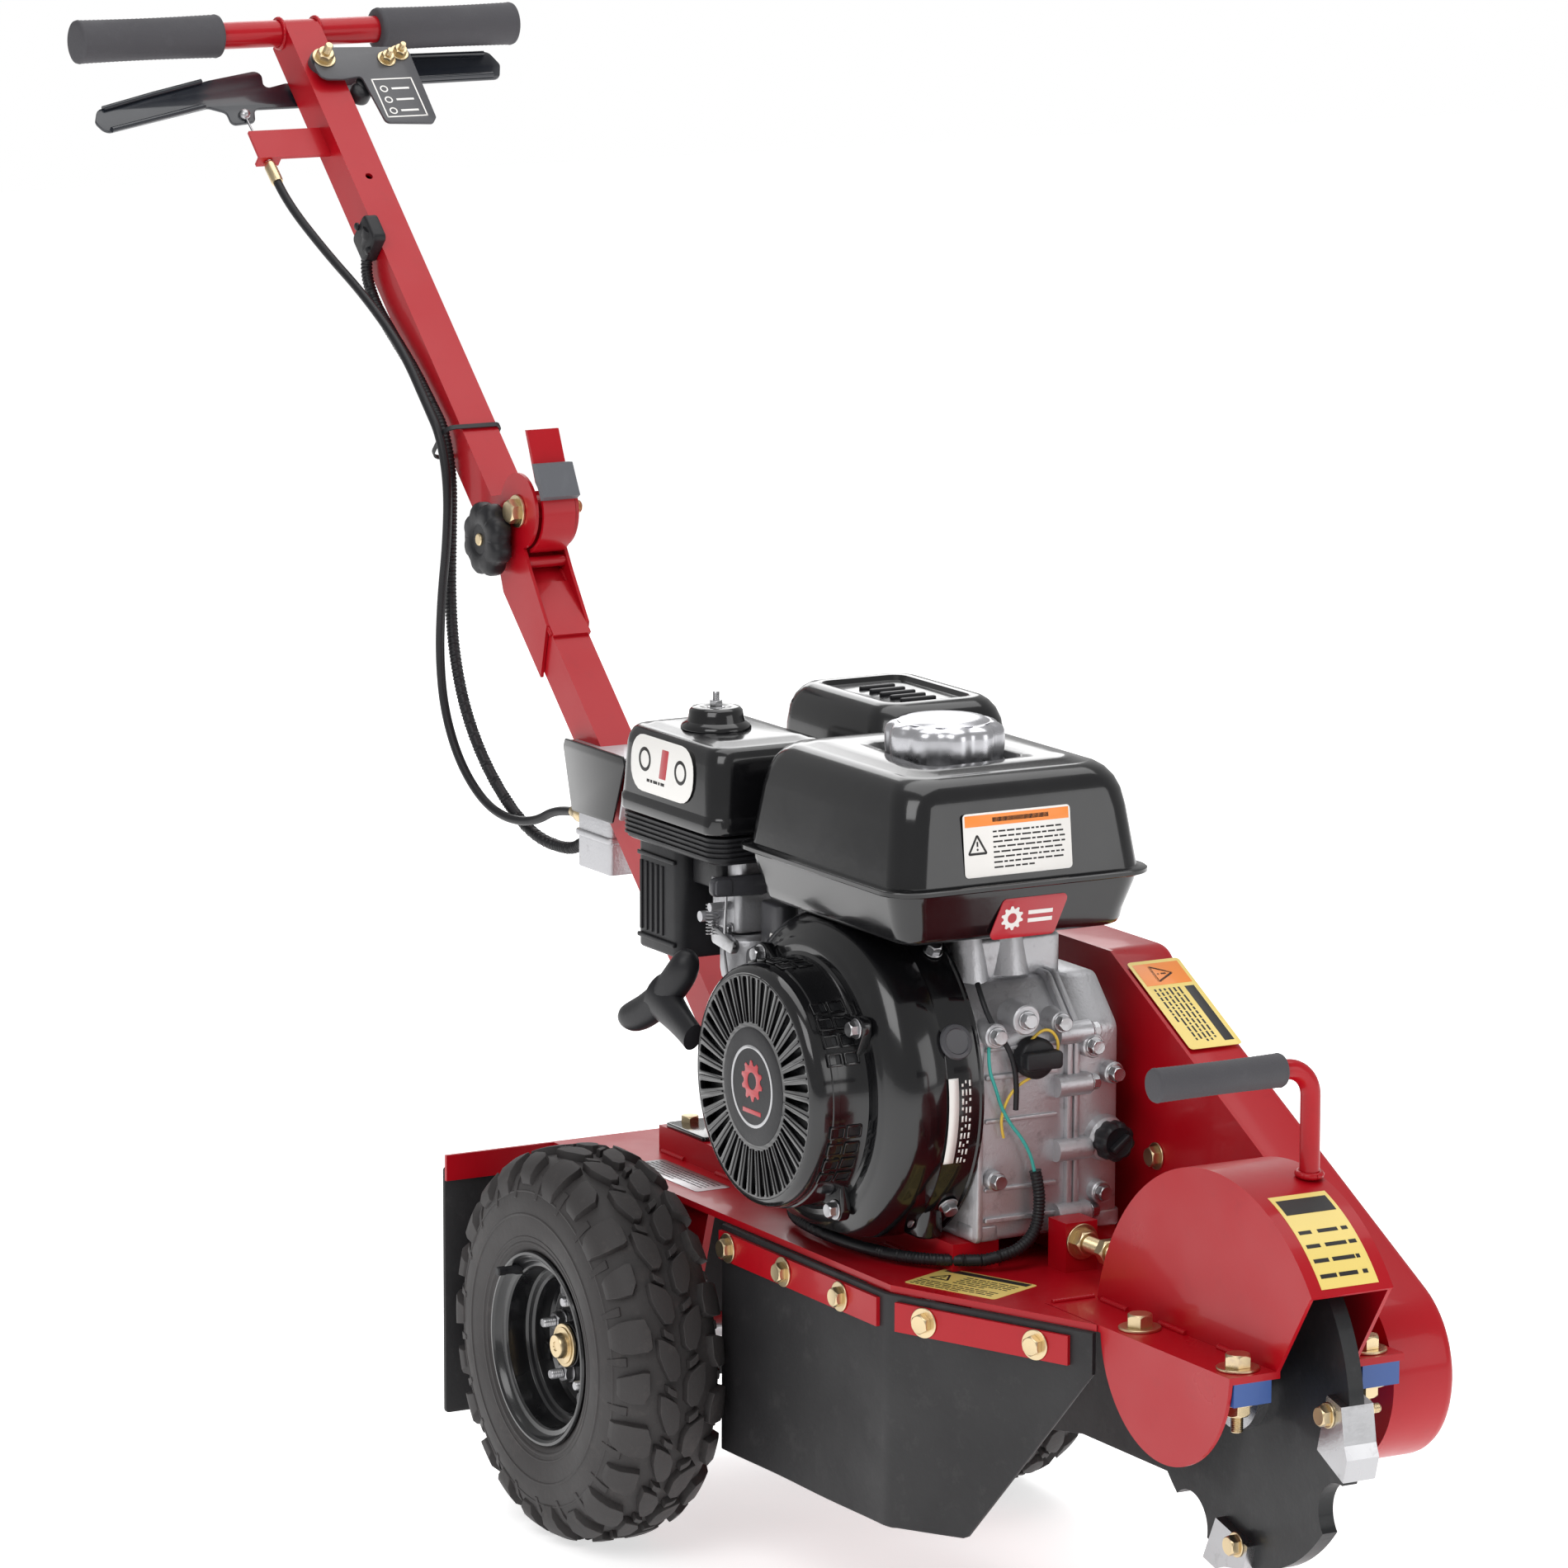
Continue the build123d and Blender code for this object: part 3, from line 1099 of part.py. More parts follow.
with BuildPart() as upper_tube:
    with BuildSketch(column_section(BAR_S)):
        Rectangle(TUBE, TUBE)
        Rectangle(TUBE - 2 * TUBE_WALL, TUBE - 2 * TUBE_WALL, mode=Mode.SUBTRACT)
    extrude(amount=-BAR_S - 1)
    with BuildSketch(column_side(HALF)):
        with BuildLine():
            Polyline((PIVOT_S - 42, HALF - 1), (PIVOT_S + 14, HALF - 1), (PIVOT_S + 12, PIVOT_N + 4),
                     (PIVOT_S - 10, PIVOT_N + 11), close=True)
        make_face()
        with Locations((PIVOT_S, PIVOT_N)):
            Circle(12)
            Circle(PIVOT_BOLT_R + CLEAR, mode=Mode.SUBTRACT)
    extrude(amount=TUBE)
    with BuildSketch(side(60)):
        with Locations((bar_centre.X, bar_centre.Z)):
            Circle(BAR_R + CLEAR)
    extrude(amount=120, mode=Mode.SUBTRACT)
    with BuildSketch(Plane(origin=column_point(HOLE_S, HALF), x_dir=(0, 1, 0), z_dir=COL_N)):
        Circle(HOLE_R)
    extrude(amount=-TUBE_WALL, mode=Mode.SUBTRACT)
    with BuildSketch(Plane(origin=column_point(CONTROL_S, HALF), x_dir=(0, 1, 0), z_dir=COL_N)):
        Circle(CONTROL_R + CLEAR)
    extrude(amount=-TUBE, mode=Mode.SUBTRACT)
    with BuildSketch(column_side(-HALF)):
        with BuildLine():
            Polyline((-474, -2), (-445, -2), (-445, 1), (-474, 1), close=True)
        make_face()
    extrude(amount=64)
    with BuildSketch(column_side(-HALF - 44)):
        with BuildLine():
            Polyline((-448, -10), (-445, -10), (-445, 1), (-448, 1), close=True)
        make_face()
    extrude(amount=20)
    with BuildSketch(column_section(-450)):
        with Locations((-70, -5)):
            Circle(3 + CLEAR)
    extrude(amount=8, mode=Mode.SUBTRACT)
save(upper_tube, "upper_tube")

with BuildPart() as handlebar:
    with BuildSketch(side(BAR_HALF)):
        with Locations((bar_centre.X, bar_centre.Z)):
            Circle(BAR_R)
            Circle(BAR_R - 2, mode=Mode.SUBTRACT)
    extrude(amount=2 * BAR_HALF)
save(handlebar, "handlebar")

GRIP_IN = 72.0
HAND_GRIP_R = 18.0
with BuildPart() as hand_grips:
    for grip_start in (BAR_HALF + 4, -GRIP_IN):
        with BuildSketch(side(grip_start)):
            with Locations((bar_centre.X, bar_centre.Z)):
                Circle(HAND_GRIP_R)
        extrude(amount=BAR_HALF + 4 - GRIP_IN)
    fillet(hand_grips.edges().filter_by(GeomType.CIRCLE), 3)
    for bore_start in (BAR_HALF, -GRIP_IN):
        with BuildSketch(side(bore_start)):
            with Locations((bar_centre.X, bar_centre.Z)):
                Circle(BAR_R)
        extrude(amount=BAR_HALF - GRIP_IN, mode=Mode.SUBTRACT)
save(hand_grips, "hand_grips")

LATCH_IN, LATCH_OUT = 31.0, 34.0
LATCH_HALF = 14.0


def around_pivot(radius, angle):
    """Side-view point about the fold pivot; angle 0 points forward and level."""
    p = column_point(PIVOT_S, PIVOT_N)
    return (p.X + radius * cos(radians(angle)), p.Z + radius * sin(radians(angle)))


with BuildPart() as latch_lever:
    with BuildSketch(side(LATCH_HALF)):
        with BuildLine():
            ThreePointArc(around_pivot(LATCH_IN, -72), around_pivot(LATCH_IN, -10),
                          around_pivot(LATCH_IN, 52))
            Line(around_pivot(LATCH_IN, 52), around_pivot(64, 88))
            Line(around_pivot(64, 88), around_pivot(64.5, 85))
            Line(around_pivot(64.5, 85), around_pivot(LATCH_OUT, 48))
            ThreePointArc(around_pivot(LATCH_OUT, 48), around_pivot(LATCH_OUT, -10),
                          around_pivot(LATCH_OUT, -72))
            Line(around_pivot(LATCH_OUT, -72), around_pivot(LATCH_IN, -72))
        make_face()
    extrude(amount=2 * LATCH_HALF)
save(latch_lever, "latch_lever")

with BuildPart() as latch_pad:
    with BuildSketch(side(LATCH_HALF + 2)):
        with BuildLine():
            Line(around_pivot(LATCH_OUT + 0.3, 46), around_pivot(43, 66))
            Line(around_pivot(43, 66), around_pivot(47, 58))
            Line(around_pivot(47, 58), around_pivot(41, 22))
            Line(around_pivot(41, 22), around_pivot(LATCH_OUT + 0.3, 20))
            ThreePointArc(around_pivot(LATCH_OUT + 0.3, 20), around_pivot(LATCH_OUT + 0.3, 33),
                          around_pivot(LATCH_OUT + 0.3, 46))
        make_face()
    extrude(amount=2 * LATCH_HALF + 4)
save(latch_pad, "latch_pad")

# ---------------------------------------------------------------- handle controls
PLATE_N = 22.0
PLATE_T = 2.5


def column_face(n):
    """Plane over the handle's upper face at height n: x is +Y, y runs up the handle."""
    return Plane(origin=column_point(0, n), x_dir=(0, 1, 0), z_dir=COL_N)


with BuildPart() as control_plate:
    with BuildSketch(column_face(PLATE_N)):
        with BuildLine():
            Polyline((-10, 506), (9, 505), (27, 507), (31, 456), (73, 453), (78, 459), (80, 537),
                     (10, 540), (-11, 524), close=True)
        make_face()
        with Locations((0, -CONTROL_S)):
            Circle(CONTROL_R + CLEAR, mode=Mode.SUBTRACT)
        with Locations((56, 524)):
            Circle(3 + CLEAR, mode=Mode.SUBTRACT)
    extrude(amount=PLATE_T)
    with BuildSketch(column_face(HALF)):
        with Locations((0, -CONTROL_S)):
            Circle(11)
            Circle(CONTROL_R + CLEAR, mode=Mode.SUBTRACT)
    extrude(amount=PLATE_N - HALF)
save(control_plate, "control_plate")

LEFT_N, RIGHT_N = -HALF - 5.0, -HALF - 10.0
LEVER_T = 3.0
with BuildPart() as control_bolts:
    with BuildSketch(column_face(PLATE_N + PLATE_T)):
        with Locations((0, -CONTROL_S)):
            RegularPolygon(8, 6)
    extrude(amount=6)
    with BuildSketch(column_face(PLATE_N + PLATE_T)):
        with Locations((0, -CONTROL_S)):
            Circle(CONTROL_R)
    extrude(amount=RIGHT_N - 8 - PLATE_N - PLATE_T)
    with BuildSketch(column_face(RIGHT_N - 1)):
        with Locations((0, -CONTROL_S)):
            RegularPolygon(8, 6)
    extrude(amount=-6)
with BuildPart() as right_lever:
    with BuildSketch(column_face(LEFT_N)):
        with BuildLine():
            Polyline((12, 516), (12, 540), (-17, 540), (-38, 535), (-33, 556), (-84, 547), (-193, 521),
                     (-199, 508), (-193, 496), (-94, 518), (-80, 512), (-80, 498), (-58, 500),
                     (-54, 514), (-12, 514), close=True)
        make_face()
        with Locations((0, -CONTROL_S)):
            Circle(CONTROL_R + CLEAR, mode=Mode.SUBTRACT)
    extrude(amount=LEVER_T)
save(right_lever, "right_lever")

with BuildPart() as left_lever:
    with BuildSketch(column_face(RIGHT_N)):
        with BuildLine():
            Polyline((-12, 516), (-12, 538), (40, 545), (60, 570), (184, 569), (190, 554), (184, 539),
                     (70, 538), (40, 518), close=True)
        make_face()
        with Locations((0, -CONTROL_S)):
            Circle(CONTROL_R + CLEAR, mode=Mode.SUBTRACT)
    extrude(amount=LEVER_T)
save(left_lever, "left_lever")

THROTTLE_Y, THROTTLE_S = 56.0, -524.0
with BuildPart() as throttle_lever:
    with BuildSketch(column_face(PLATE_N - 6)):
        with BuildLine():
            Polyline((66, 532), (48, 534), (22, 506), (27, 498), (36, 500), (66, 516), close=True)
        make_face()
        with Locations((THROTTLE_Y, -THROTTLE_S)):
            Circle(3 + CLEAR, mode=Mode.SUBTRACT)
    extrude(amount=4)
    with BuildSketch(column_face(PLATE_N - 16)):
        with Locations((27, 499)):
            Circle(9)
    extrude(amount=14)
save(throttle_lever, "throttle_lever")

with control_bolts:
    with BuildSketch(column_face(PLATE_N + PLATE_T)):
        with Locations((THROTTLE_Y, -THROTTLE_S)):
            RegularPolygon(6, 6)
    extrude(amount=5)
    with BuildSketch(column_face(PLATE_N + PLATE_T)):
        with Locations((THROTTLE_Y, -THROTTLE_S)):
            Circle(3)
    extrude(amount=-PLATE_T - 12)
save(control_bolts, "control_bolts")

# ---------------------------------------------------------------- hood and cable box
HOOD_HALF = 27.0
with BuildPart() as cable_bracket:
    for flap_y in (-HOOD_HALF + 2, HOOD_HALF):
        with BuildSketch(side(flap_y)):
            with BuildLine():
                Polyline((CRANK_X - 536, 548), (CRANK_X - 440, 548), (CRANK_X - 452, 500),
                         (CRANK_X - 520, 490), close=True)
            make_face()
        extrude(amount=2)
    with BuildSketch(Plane.XY.offset(546)):
        with BuildLine():
            Polyline((CRANK_X - 536, -HOOD_HALF), (CRANK_X - 440, -HOOD_HALF),
                     (CRANK_X - 440, HOOD_HALF), (CRANK_X - 536, HOOD_HALF),
                     (CRANK_X - 536, HALF + 2), (CRANK_X - 474, HALF + 2),
                     (CRANK_X - 474, -HALF - 2), (CRANK_X - 536, -HALF - 2), close=True)
        make_face()
    extrude(amount=2)

with cable_bracket:
    with BuildSketch(side(14)):
        with BuildLine():
            Polyline((CRANK_X - 540, 512), (CRANK_X - 540, 444), (CRANK_X - 486, 444),
                     (CRANK_X - 486, 484), close=True)
        make_face()
    extrude(amount=28)
save(cable_bracket, "cable_bracket")

# ---------------------------------------------------------------- control cables
CABLE_R, LOOM_R = 3.6, 5.0
FERRULE_S = -428.0

def cx(dx):
    """Model x at a distance dx from the crankshaft."""
    return CRANK_X + dx


ferrule_end = column_point(FERRULE_S, -5, -70)
ferrule_run = column_point(FERRULE_S + 24, -5, -70)
CLUTCH_UPPER = [
    (ferrule_end.X, ferrule_end.Y, ferrule_end.Z), (ferrule_run.X, ferrule_run.Y, ferrule_run.Z),
    (cx(-893), -54, 892), (cx(-845), -44, 862), (cx(-792), -37, 824), (cx(-752), -35, 782),
]
CLUTCH_LOWER = [
    (cx(-752), -35, 782), (cx(-732), -34, 761), (cx(-721), -33, 722), (cx(-724), -33, 676),
    (cx(-734), -33, 630), (cx(-740), -32, 582), (cx(-735), -30, 536), (cx(-710), -27, 494),
    (cx(-668), -22, 466), (cx(-620), -13, 464), (cx(-582), -6, 484), (cx(-540), -6, 484),
]
LOOM_UPPER = [
    (cx(-876), -22, 908), (cx(-888), -23, 884), (cx(-872), -24, 856), (cx(-838), -24, 832),
    (cx(-799), -23, 806), (cx(-765), -23, 778),
]
LOOM_LOWER = [
    (cx(-765), -23, 778), (cx(-748), -23, 764), (cx(-736), -22, 728), (cx(-738), -22, 680),
    (cx(-742), -21, 632), (cx(-738), -20, 584), (cx(-718), -19, 535), (cx(-682), -15, 490),
    (cx(-636), -5, 452), (cx(-588), 6, 446), (cx(-562), 6, 460), (cx(-540), 6, 460),
]
with BuildPart() as upper_cables:
    add(route(CLUTCH_UPPER, CABLE_R))
    add(route(LOOM_UPPER, LOOM_R))
    with BuildSketch(column_section(-462)):
        with Locations((-70, -5)):
            Circle(2.9)
    extrude(amount=34)
    with BuildSketch(column_section(-444.5)):
        with Locations((-70, -5)):
            Circle(5)
    extrude(amount=16.5)
save(upper_cables, "upper_cables")

with BuildPart() as lower_cables:
    add(route(CLUTCH_LOWER, CABLE_R))
    add(route(LOOM_LOWER, LOOM_R))
save(lower_cables, "lower_cables")

print(len(nodes), "nodes")
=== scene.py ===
"""Looks of a walk-behind stump grinder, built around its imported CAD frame.

Lengths are written in millimetres and turned into metres when a mesh is made.
Positions come from the CAD nodes' boxes, or are the CAD's own dimensions written out.
"""
import random
from math import atan2, cos, degrees, pi, radians, sin, sqrt, tan
import bmesh
import bpy
from mathutils import Matrix, Vector


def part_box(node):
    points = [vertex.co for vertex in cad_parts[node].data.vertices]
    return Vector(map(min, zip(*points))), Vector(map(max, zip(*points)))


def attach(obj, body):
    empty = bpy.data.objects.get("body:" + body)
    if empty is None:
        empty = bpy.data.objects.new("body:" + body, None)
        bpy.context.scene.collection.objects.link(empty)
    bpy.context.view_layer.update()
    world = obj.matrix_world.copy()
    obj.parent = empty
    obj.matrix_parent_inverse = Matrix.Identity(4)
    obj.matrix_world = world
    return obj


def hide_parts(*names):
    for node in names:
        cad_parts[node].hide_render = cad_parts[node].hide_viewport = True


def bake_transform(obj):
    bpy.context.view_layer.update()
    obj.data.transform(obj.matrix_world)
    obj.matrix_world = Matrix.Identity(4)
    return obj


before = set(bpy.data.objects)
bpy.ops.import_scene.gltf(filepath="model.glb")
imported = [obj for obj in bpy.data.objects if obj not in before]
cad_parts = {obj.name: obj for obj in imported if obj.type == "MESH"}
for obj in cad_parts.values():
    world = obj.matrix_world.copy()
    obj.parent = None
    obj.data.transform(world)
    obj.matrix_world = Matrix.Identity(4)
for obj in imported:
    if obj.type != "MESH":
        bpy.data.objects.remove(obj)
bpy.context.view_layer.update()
MM = 0.001
FRONT, REAR, UP, DOWN = (1, 0, 0), (-1, 0, 0), (0, 0, 1), (0, 0, -1)
NEAR, FAR = (0, -1, 0), (0, 1, 0)
random.seed(7)


# ---------------- camera and studio
def aim(obj, back):
    """Point an object's -Z against the direction back."""
    obj.rotation_euler = Vector(back).to_track_quat("Z", "Y").to_euler()


CAMERA_BACK = Vector((0.8550, -0.4858, 0.1805))   # from the machine towards the camera
camera = bpy.data.objects.new("camera", bpy.data.cameras.new("camera"))
camera.location = (4.907, -2.762, 1.583)
aim(camera, CAMERA_BACK)
camera.rotation_euler.rotate_axis("Z", radians(0.15))
camera.data.lens = 175.0
camera.data.sensor_width = 36.0
camera.data.clip_end = 60.0
bpy.context.scene.collection.objects.link(camera)
bpy.context.scene.camera = camera


def area_light(name, place, toward, size, power, colour=(1, 1, 1)):
    light = bpy.data.lights.new(name, "AREA")
    light.shape = "RECTANGLE"
    light.size, light.size_y = size
    light.energy = power
    light.color = colour
    obj = bpy.data.objects.new(name, light)
    obj.location = place
    aim(obj, Vector(place) - Vector(toward))
    bpy.context.scene.collection.objects.link(obj)


area_light("key", (2.2, -2.6, 3.4), (0, 0, 0.4), (2.4, 2.4), 62)
area_light("top", (-0.2, 0.6, 3.8), (0, 0, 0.4), (3.2, 3.2), 62)
area_light("fill", (3.6, 2.0, 1.4), (0, 0, 0.4), (2.0, 2.0), 22)
area_light("rim", (-3.2, 1.4, 2.4), (0, 0, 0.5), (2.0, 2.6), 34)
world = bpy.data.worlds.new("studio")
world.use_nodes = True
sky = world.node_tree.nodes["Background"]
sky.inputs["Color"].default_value = (1.0, 1.0, 1.0, 1)
rays = world.node_tree.nodes.new("ShaderNodeLightPath")
gain = world.node_tree.nodes.new("ShaderNodeMapRange")
gain.inputs["To Min"].default_value = 0.42
gain.inputs["To Max"].default_value = 1.0
world.node_tree.links.new(rays.outputs["Is Camera Ray"], gain.inputs["Value"])
world.node_tree.links.new(gain.outputs["Result"], sky.inputs["Strength"])
bpy.context.scene.world = world
bpy.context.scene.view_settings.view_transform = "Standard"


# ---------------- materials
def colour(red, green, blue):
    """Linear colour from 0-255 display values."""
    return [(c / 255 / 12.92) if c < 11 else ((c / 255 + 0.055) / 1.055) ** 2.4
            for c in (red, green, blue)]


def finish(name, rgb, rough, slot, metallic=0.0, coat=0.0, grain=260, bump=0.05, wear=0.1,
           wear_rgb=None):
    """Procedural finish: mottled colour and roughness, fine bump and worn patches."""
    material = bpy.data.materials.new(name)
    material.use_nodes = True
    material["slot"] = slot
    tree = material.node_tree
    shader = tree.nodes["Principled BSDF"]
    base = colour(*rgb)
    shader.inputs["Metallic"].default_value = metallic
    shader.inputs["Coat Weight"].default_value = coat
    shader.inputs["Coat Roughness"].default_value = 0.08
    place = tree.nodes.new("ShaderNodeTexCoord")

    def noise(scale, detail, rough_share=0.55):
        node = tree.nodes.new("ShaderNodeTexNoise")
        node.inputs["Scale"].default_value = scale
        node.inputs["Detail"].default_value = detail
        node.inputs["Roughness"].default_value = rough_share
        tree.links.new(place.outputs["Object"], node.inputs["Vector"])
        return node.outputs["Fac"]

    def spread(source, low, high, out_low, out_high):
        node = tree.nodes.new("ShaderNodeMapRange")
        for key, value in zip(("From Min", "From Max", "To Min", "To Max"),
                              (low, high, out_low, out_high)):
            node.inputs[key].default_value = value
        tree.links.new(source, node.inputs["Value"])
        return node.outputs["Result"]

    cloud = noise(14, 4)
    patch = noise(55, 7, 0.72)
    grain_out = noise(grain, 3)
    mix = tree.nodes.new("ShaderNodeMix")
    mix.data_type = "RGBA"
    worn = colour(*wear_rgb) if wear_rgb else [min(1, c * 1.35 + 0.012) for c in base]
    mix.inputs["A"].default_value = (*base, 1)
    mix.inputs["B"].default_value = (*worn, 1)
    tree.links.new(spread(patch, 0.55, 0.75, 0.0, wear), mix.inputs["Factor"])
    tree.links.new(mix.outputs["Result"], shader.inputs["Base Color"])
    rough_low, rough_high = max(rough - 0.07, 0.02), min(rough + 0.1, 1)
    tree.links.new(spread(cloud, 0.3, 0.7, rough_low, rough_high), shader.inputs["Roughness"])
    relief = tree.nodes.new("ShaderNodeBump")
    relief.inputs["Strength"].default_value = bump
    relief.inputs["Distance"].default_value = 0.0006
    tree.links.new(grain_out, relief.inputs["Height"])
    tree.links.new(relief.outputs["Normal"], shader.inputs["Normal"])
    return material


RED = finish("red_paint", (172, 8, 24), 0.34, "red_paint", coat=0.2, wear=0.25,
             wear_rgb=(140, 12, 22))
BLACK = finish("black_gloss", (14, 14, 16), 0.16, "black_paint", coat=0.6, wear=0.3)
DISC_BLACK = finish("black_disc", (24, 25, 27), 0.4, "black_paint", coat=0.1, bump=0.2, wear=0.5,
                    wear_rgb=(52, 52, 54))
PLASTIC = finish("black_plastic", (28, 28, 31), 0.42, "black_plastic", bump=0.18, wear=0.3)
TYRE = finish("tyre_rubber", (50, 47, 47), 0.62, "tyre", bump=0.3, wear=0.5,
              wear_rgb=(78, 72, 70))
RIM = finish("rim_black", (18, 18, 20), 0.25, "rim_paint", coat=0.4, wear=0.3)
STEEL = finish("bright_steel", (180, 180, 182), 0.28, "steel", metallic=1.0, bump=0.12, wear=0.5,
               wear_rgb=(120, 118, 116))
ZINC = finish("yellow_zinc", (214, 194, 156), 0.3, "yellow_zinc", metallic=1.0, wear=0.6,
              wear_rgb=(170, 150, 140))
SKIRT = finish("skirt_rubber", (28, 27, 29), 0.55, "skirt_rubber", bump=0.25, wear=0.4,
               wear_rgb=(62, 60, 60))
GRIP = finish("grip_foam", (72, 71, 75), 0.75, "grip_rubber", bump=0.5, grain=700, wear=0.3)
BLUE = finish("bearing_blue", (48, 84, 150), 0.45, "bearing_blue", coat=0.2, wear=0.3)
ALU = finish("cast_aluminium", (192, 192, 195), 0.4, "aluminium", metallic=0.7, bump=0.5,
             grain=420, wear=0.6, wear_rgb=(105, 100, 104))
CHROME = finish("chrome", (206, 206, 210), 0.26, "chrome", metallic=1.0, bump=0.002, wear=0.15,
                wear_rgb=(190, 190, 192))
GREY = finish("grey_paint", (66, 66, 70), 0.42, "grey_paint", coat=0.2, wear=0.3)
SLATE = finish("latch_grey", (92, 94, 99), 0.5, "grip_rubber", bump=0.2, wear=0.3)
LEVER = finish("lever_paint", (22, 27, 36), 0.3, "lever_paint", coat=0.5, wear=0.3)
LABEL = finish("label_yellow", (240, 214, 120), 0.4, "black_plastic", coat=0.3, bump=0.01,
               wear=0.2, wear_rgb=(226, 196, 100))
WHITE = finish("label_white", (238, 236, 232), 0.4, "black_plastic", coat=0.3, bump=0.01,
               wear=0.2, wear_rgb=(220, 216, 210))
ORANGE = finish("label_orange", (244, 140, 50), 0.4, "black_plastic", coat=0.3, bump=0.01)
INK = finish("label_ink", (30, 28, 28), 0.5, "black_plastic", bump=0.01)
BADGE = finish("badge_red", (178, 26, 40), 0.35, "black_plastic", coat=0.4, bump=0.01)
TEAL = finish("wire_teal", (60, 170, 160), 0.45, "black_plastic", bump=0.05)
AMBER = finish("wire_amber", (220, 185, 70), 0.45, "black_plastic", bump=0.05)
BELT = finish("belt_rubber", (32, 31, 31), 0.7, "belt_rubber", bump=0.4)
FOAM = finish("filter_foam", (60, 60, 58), 0.9, "filter_foam", bump=0.6)

for paint, shine in ((RED, 0.25), (BLACK, 0.35), (PLASTIC, 0.35), (DISC_BLACK, 0.3)):
    paint.node_tree.nodes["Principled BSDF"].inputs["Specular IOR Level"].default_value = shine


# ---------------- shapes
def box(node):
    """Lowest and highest corner of a CAD node, in millimetres."""
    low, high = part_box(node)
    return low / MM, high / MM


def middle(node):
    low, high = box(node)
    return (low + high) / 2


def at(origin, z=(0, 0, 1), x=(1, 0, 0)):
    """Placement whose local z and x point along the given directions."""
    up = Vector(z).normalized()
    across = Vector(x)
    if abs(up.dot(across.normalized())) > 0.99:
        across = Vector((0, 0, 1)) if abs(up.z) < 0.9 else Vector((0, 1, 0))
    across = (across - up * across.dot(up)).normalized()
    matrix = Matrix((across, up.cross(across), up)).transposed().to_4x4()
    matrix.translation = Vector(origin)
    return matrix


def lifted(z):
    """Move along z."""
    return Matrix.Translation((0, 0, z))


class Shape:
    """Vertices and faces gathered, in millimetres, before they become one mesh."""

    def __init__(self):
        self.verts = []
        self.faces = []

    def put(self, made, matrix=None):
        verts, faces = made
        base = len(self.verts)
        matrix = matrix or Matrix.Identity(4)
        self.verts += [matrix @ Vector(v) for v in verts]
        self.faces += [[base + i for i in face] for face in faces]
        return self


def piece(name, shape, material, body, replaces=(), bevel=0.0, sharp=32, segments=2):
    """Turns a shape into an object that rides on a body."""
    mesh = bpy.data.meshes.new(name)
    mesh.from_pydata([v * MM for v in shape.verts], [], shape.faces)
    work = bmesh.new()
    work.from_mesh(mesh)
    bmesh.ops.remove_doubles(work, verts=work.verts, dist=2e-6)
    bmesh.ops.dissolve_degenerate(work, edges=work.edges, dist=1e-6)
    bmesh.ops.recalc_face_normals(work, faces=work.faces)
    work.to_mesh(mesh)
    work.free()
    mesh.shade_smooth()
    mesh.set_sharp_from_angle(angle=radians(sharp))
    mesh.materials.append(material)
    obj = bpy.data.objects.new(name, mesh)
    bpy.context.scene.collection.objects.link(obj)
    if bevel:
        modifier = obj.modifiers.new("edges", "BEVEL")
        modifier.width = bevel * MM
        modifier.segments = segments
        modifier.limit_method = "ANGLE"
        modifier.angle_limit = radians(sharp)
        modifier.harden_normals = True
    if body:
        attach(obj, body)
    if replaces:
        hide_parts(*replaces)
    return obj


def lathe(profile, sides=64, lobes=None):
    """Surface of revolution about z from (radius, height) points."""
    verts, faces, rings = [], [], []
    for radius, height in profile:
        if radius < 1e-6:
            rings.append([len(verts)])
            verts.append((0, 0, height))
            continue
        rings.append(list(range(len(verts), len(verts) + sides)))
        for i in range(sides):
            turn = 2 * pi * i / sides
            r = radius + (lobes(turn, radius, height) if lobes else 0)
            verts.append((r * cos(turn), r * sin(turn), height))
    for a, b in zip(rings, rings[1:]):
        for i in range(sides):
            j = (i + 1) % sides
            if len(a) == 1 and len(b) > 1:
                faces.append((a[0], b[i], b[j]))
            elif len(b) == 1 and len(a) > 1:
                faces.append((a[i], a[j], b[0]))
            elif len(a) > 1:
                faces.append((a[i], a[j], b[j], b[i]))
    return verts, faces


def loft(rings, caps=True):
    """Skin through closed rings that have the same number of points."""
    count = len(rings[0])
    verts = [tuple(p) for ring in rings for p in ring]
    faces = []
    for k in range(len(rings) - 1):
        for i in range(count):
            j = (i + 1) % count
            faces.append((k * count + i, k * count + j, (k + 1) * count + j, (k + 1) * count + i))
    if caps:
        faces.append(tuple(range(count)))
        faces.append(tuple((len(rings) - 1) * count + i for i in range(count)))
    return verts, faces


def round_box(length, width, radius, steps=6):
    """Points of a rounded rectangle about the origin."""
    points = []
    radius = min(radius, length / 2 - 0.01, width / 2 - 0.01)
    for sx, sy, start in ((1, 1, 0), (-1, 1, 90), (-1, -1, 180), (1, -1, 270)):
        for i in range(steps + 1):
            turn = radians(start + 90 * i / steps)
            points.append((sx * (length / 2 - radius) + radius * cos(turn),
                           sy * (width / 2 - radius) + radius * sin(turn)))
    return points


def tower(levels, centre=(0, 0), steps=6):
    """Loft of rounded rectangles; a level is (z, length, width, corner radius)."""
    rings = []
    for z, length, width, radius in levels:
        rings.append([(x + centre[0], y + centre[1], z)
                      for x, y in round_box(length, width, radius, steps)])
    return loft(rings)


def stepped(length, width, centre, rows):
    """Tower with a row for each level: z, how much shorter and narrower, corner radius."""
    return tower([(z, length - shorter, width - narrower, radius)
                  for z, shorter, narrower, radius in rows], centre, 8)


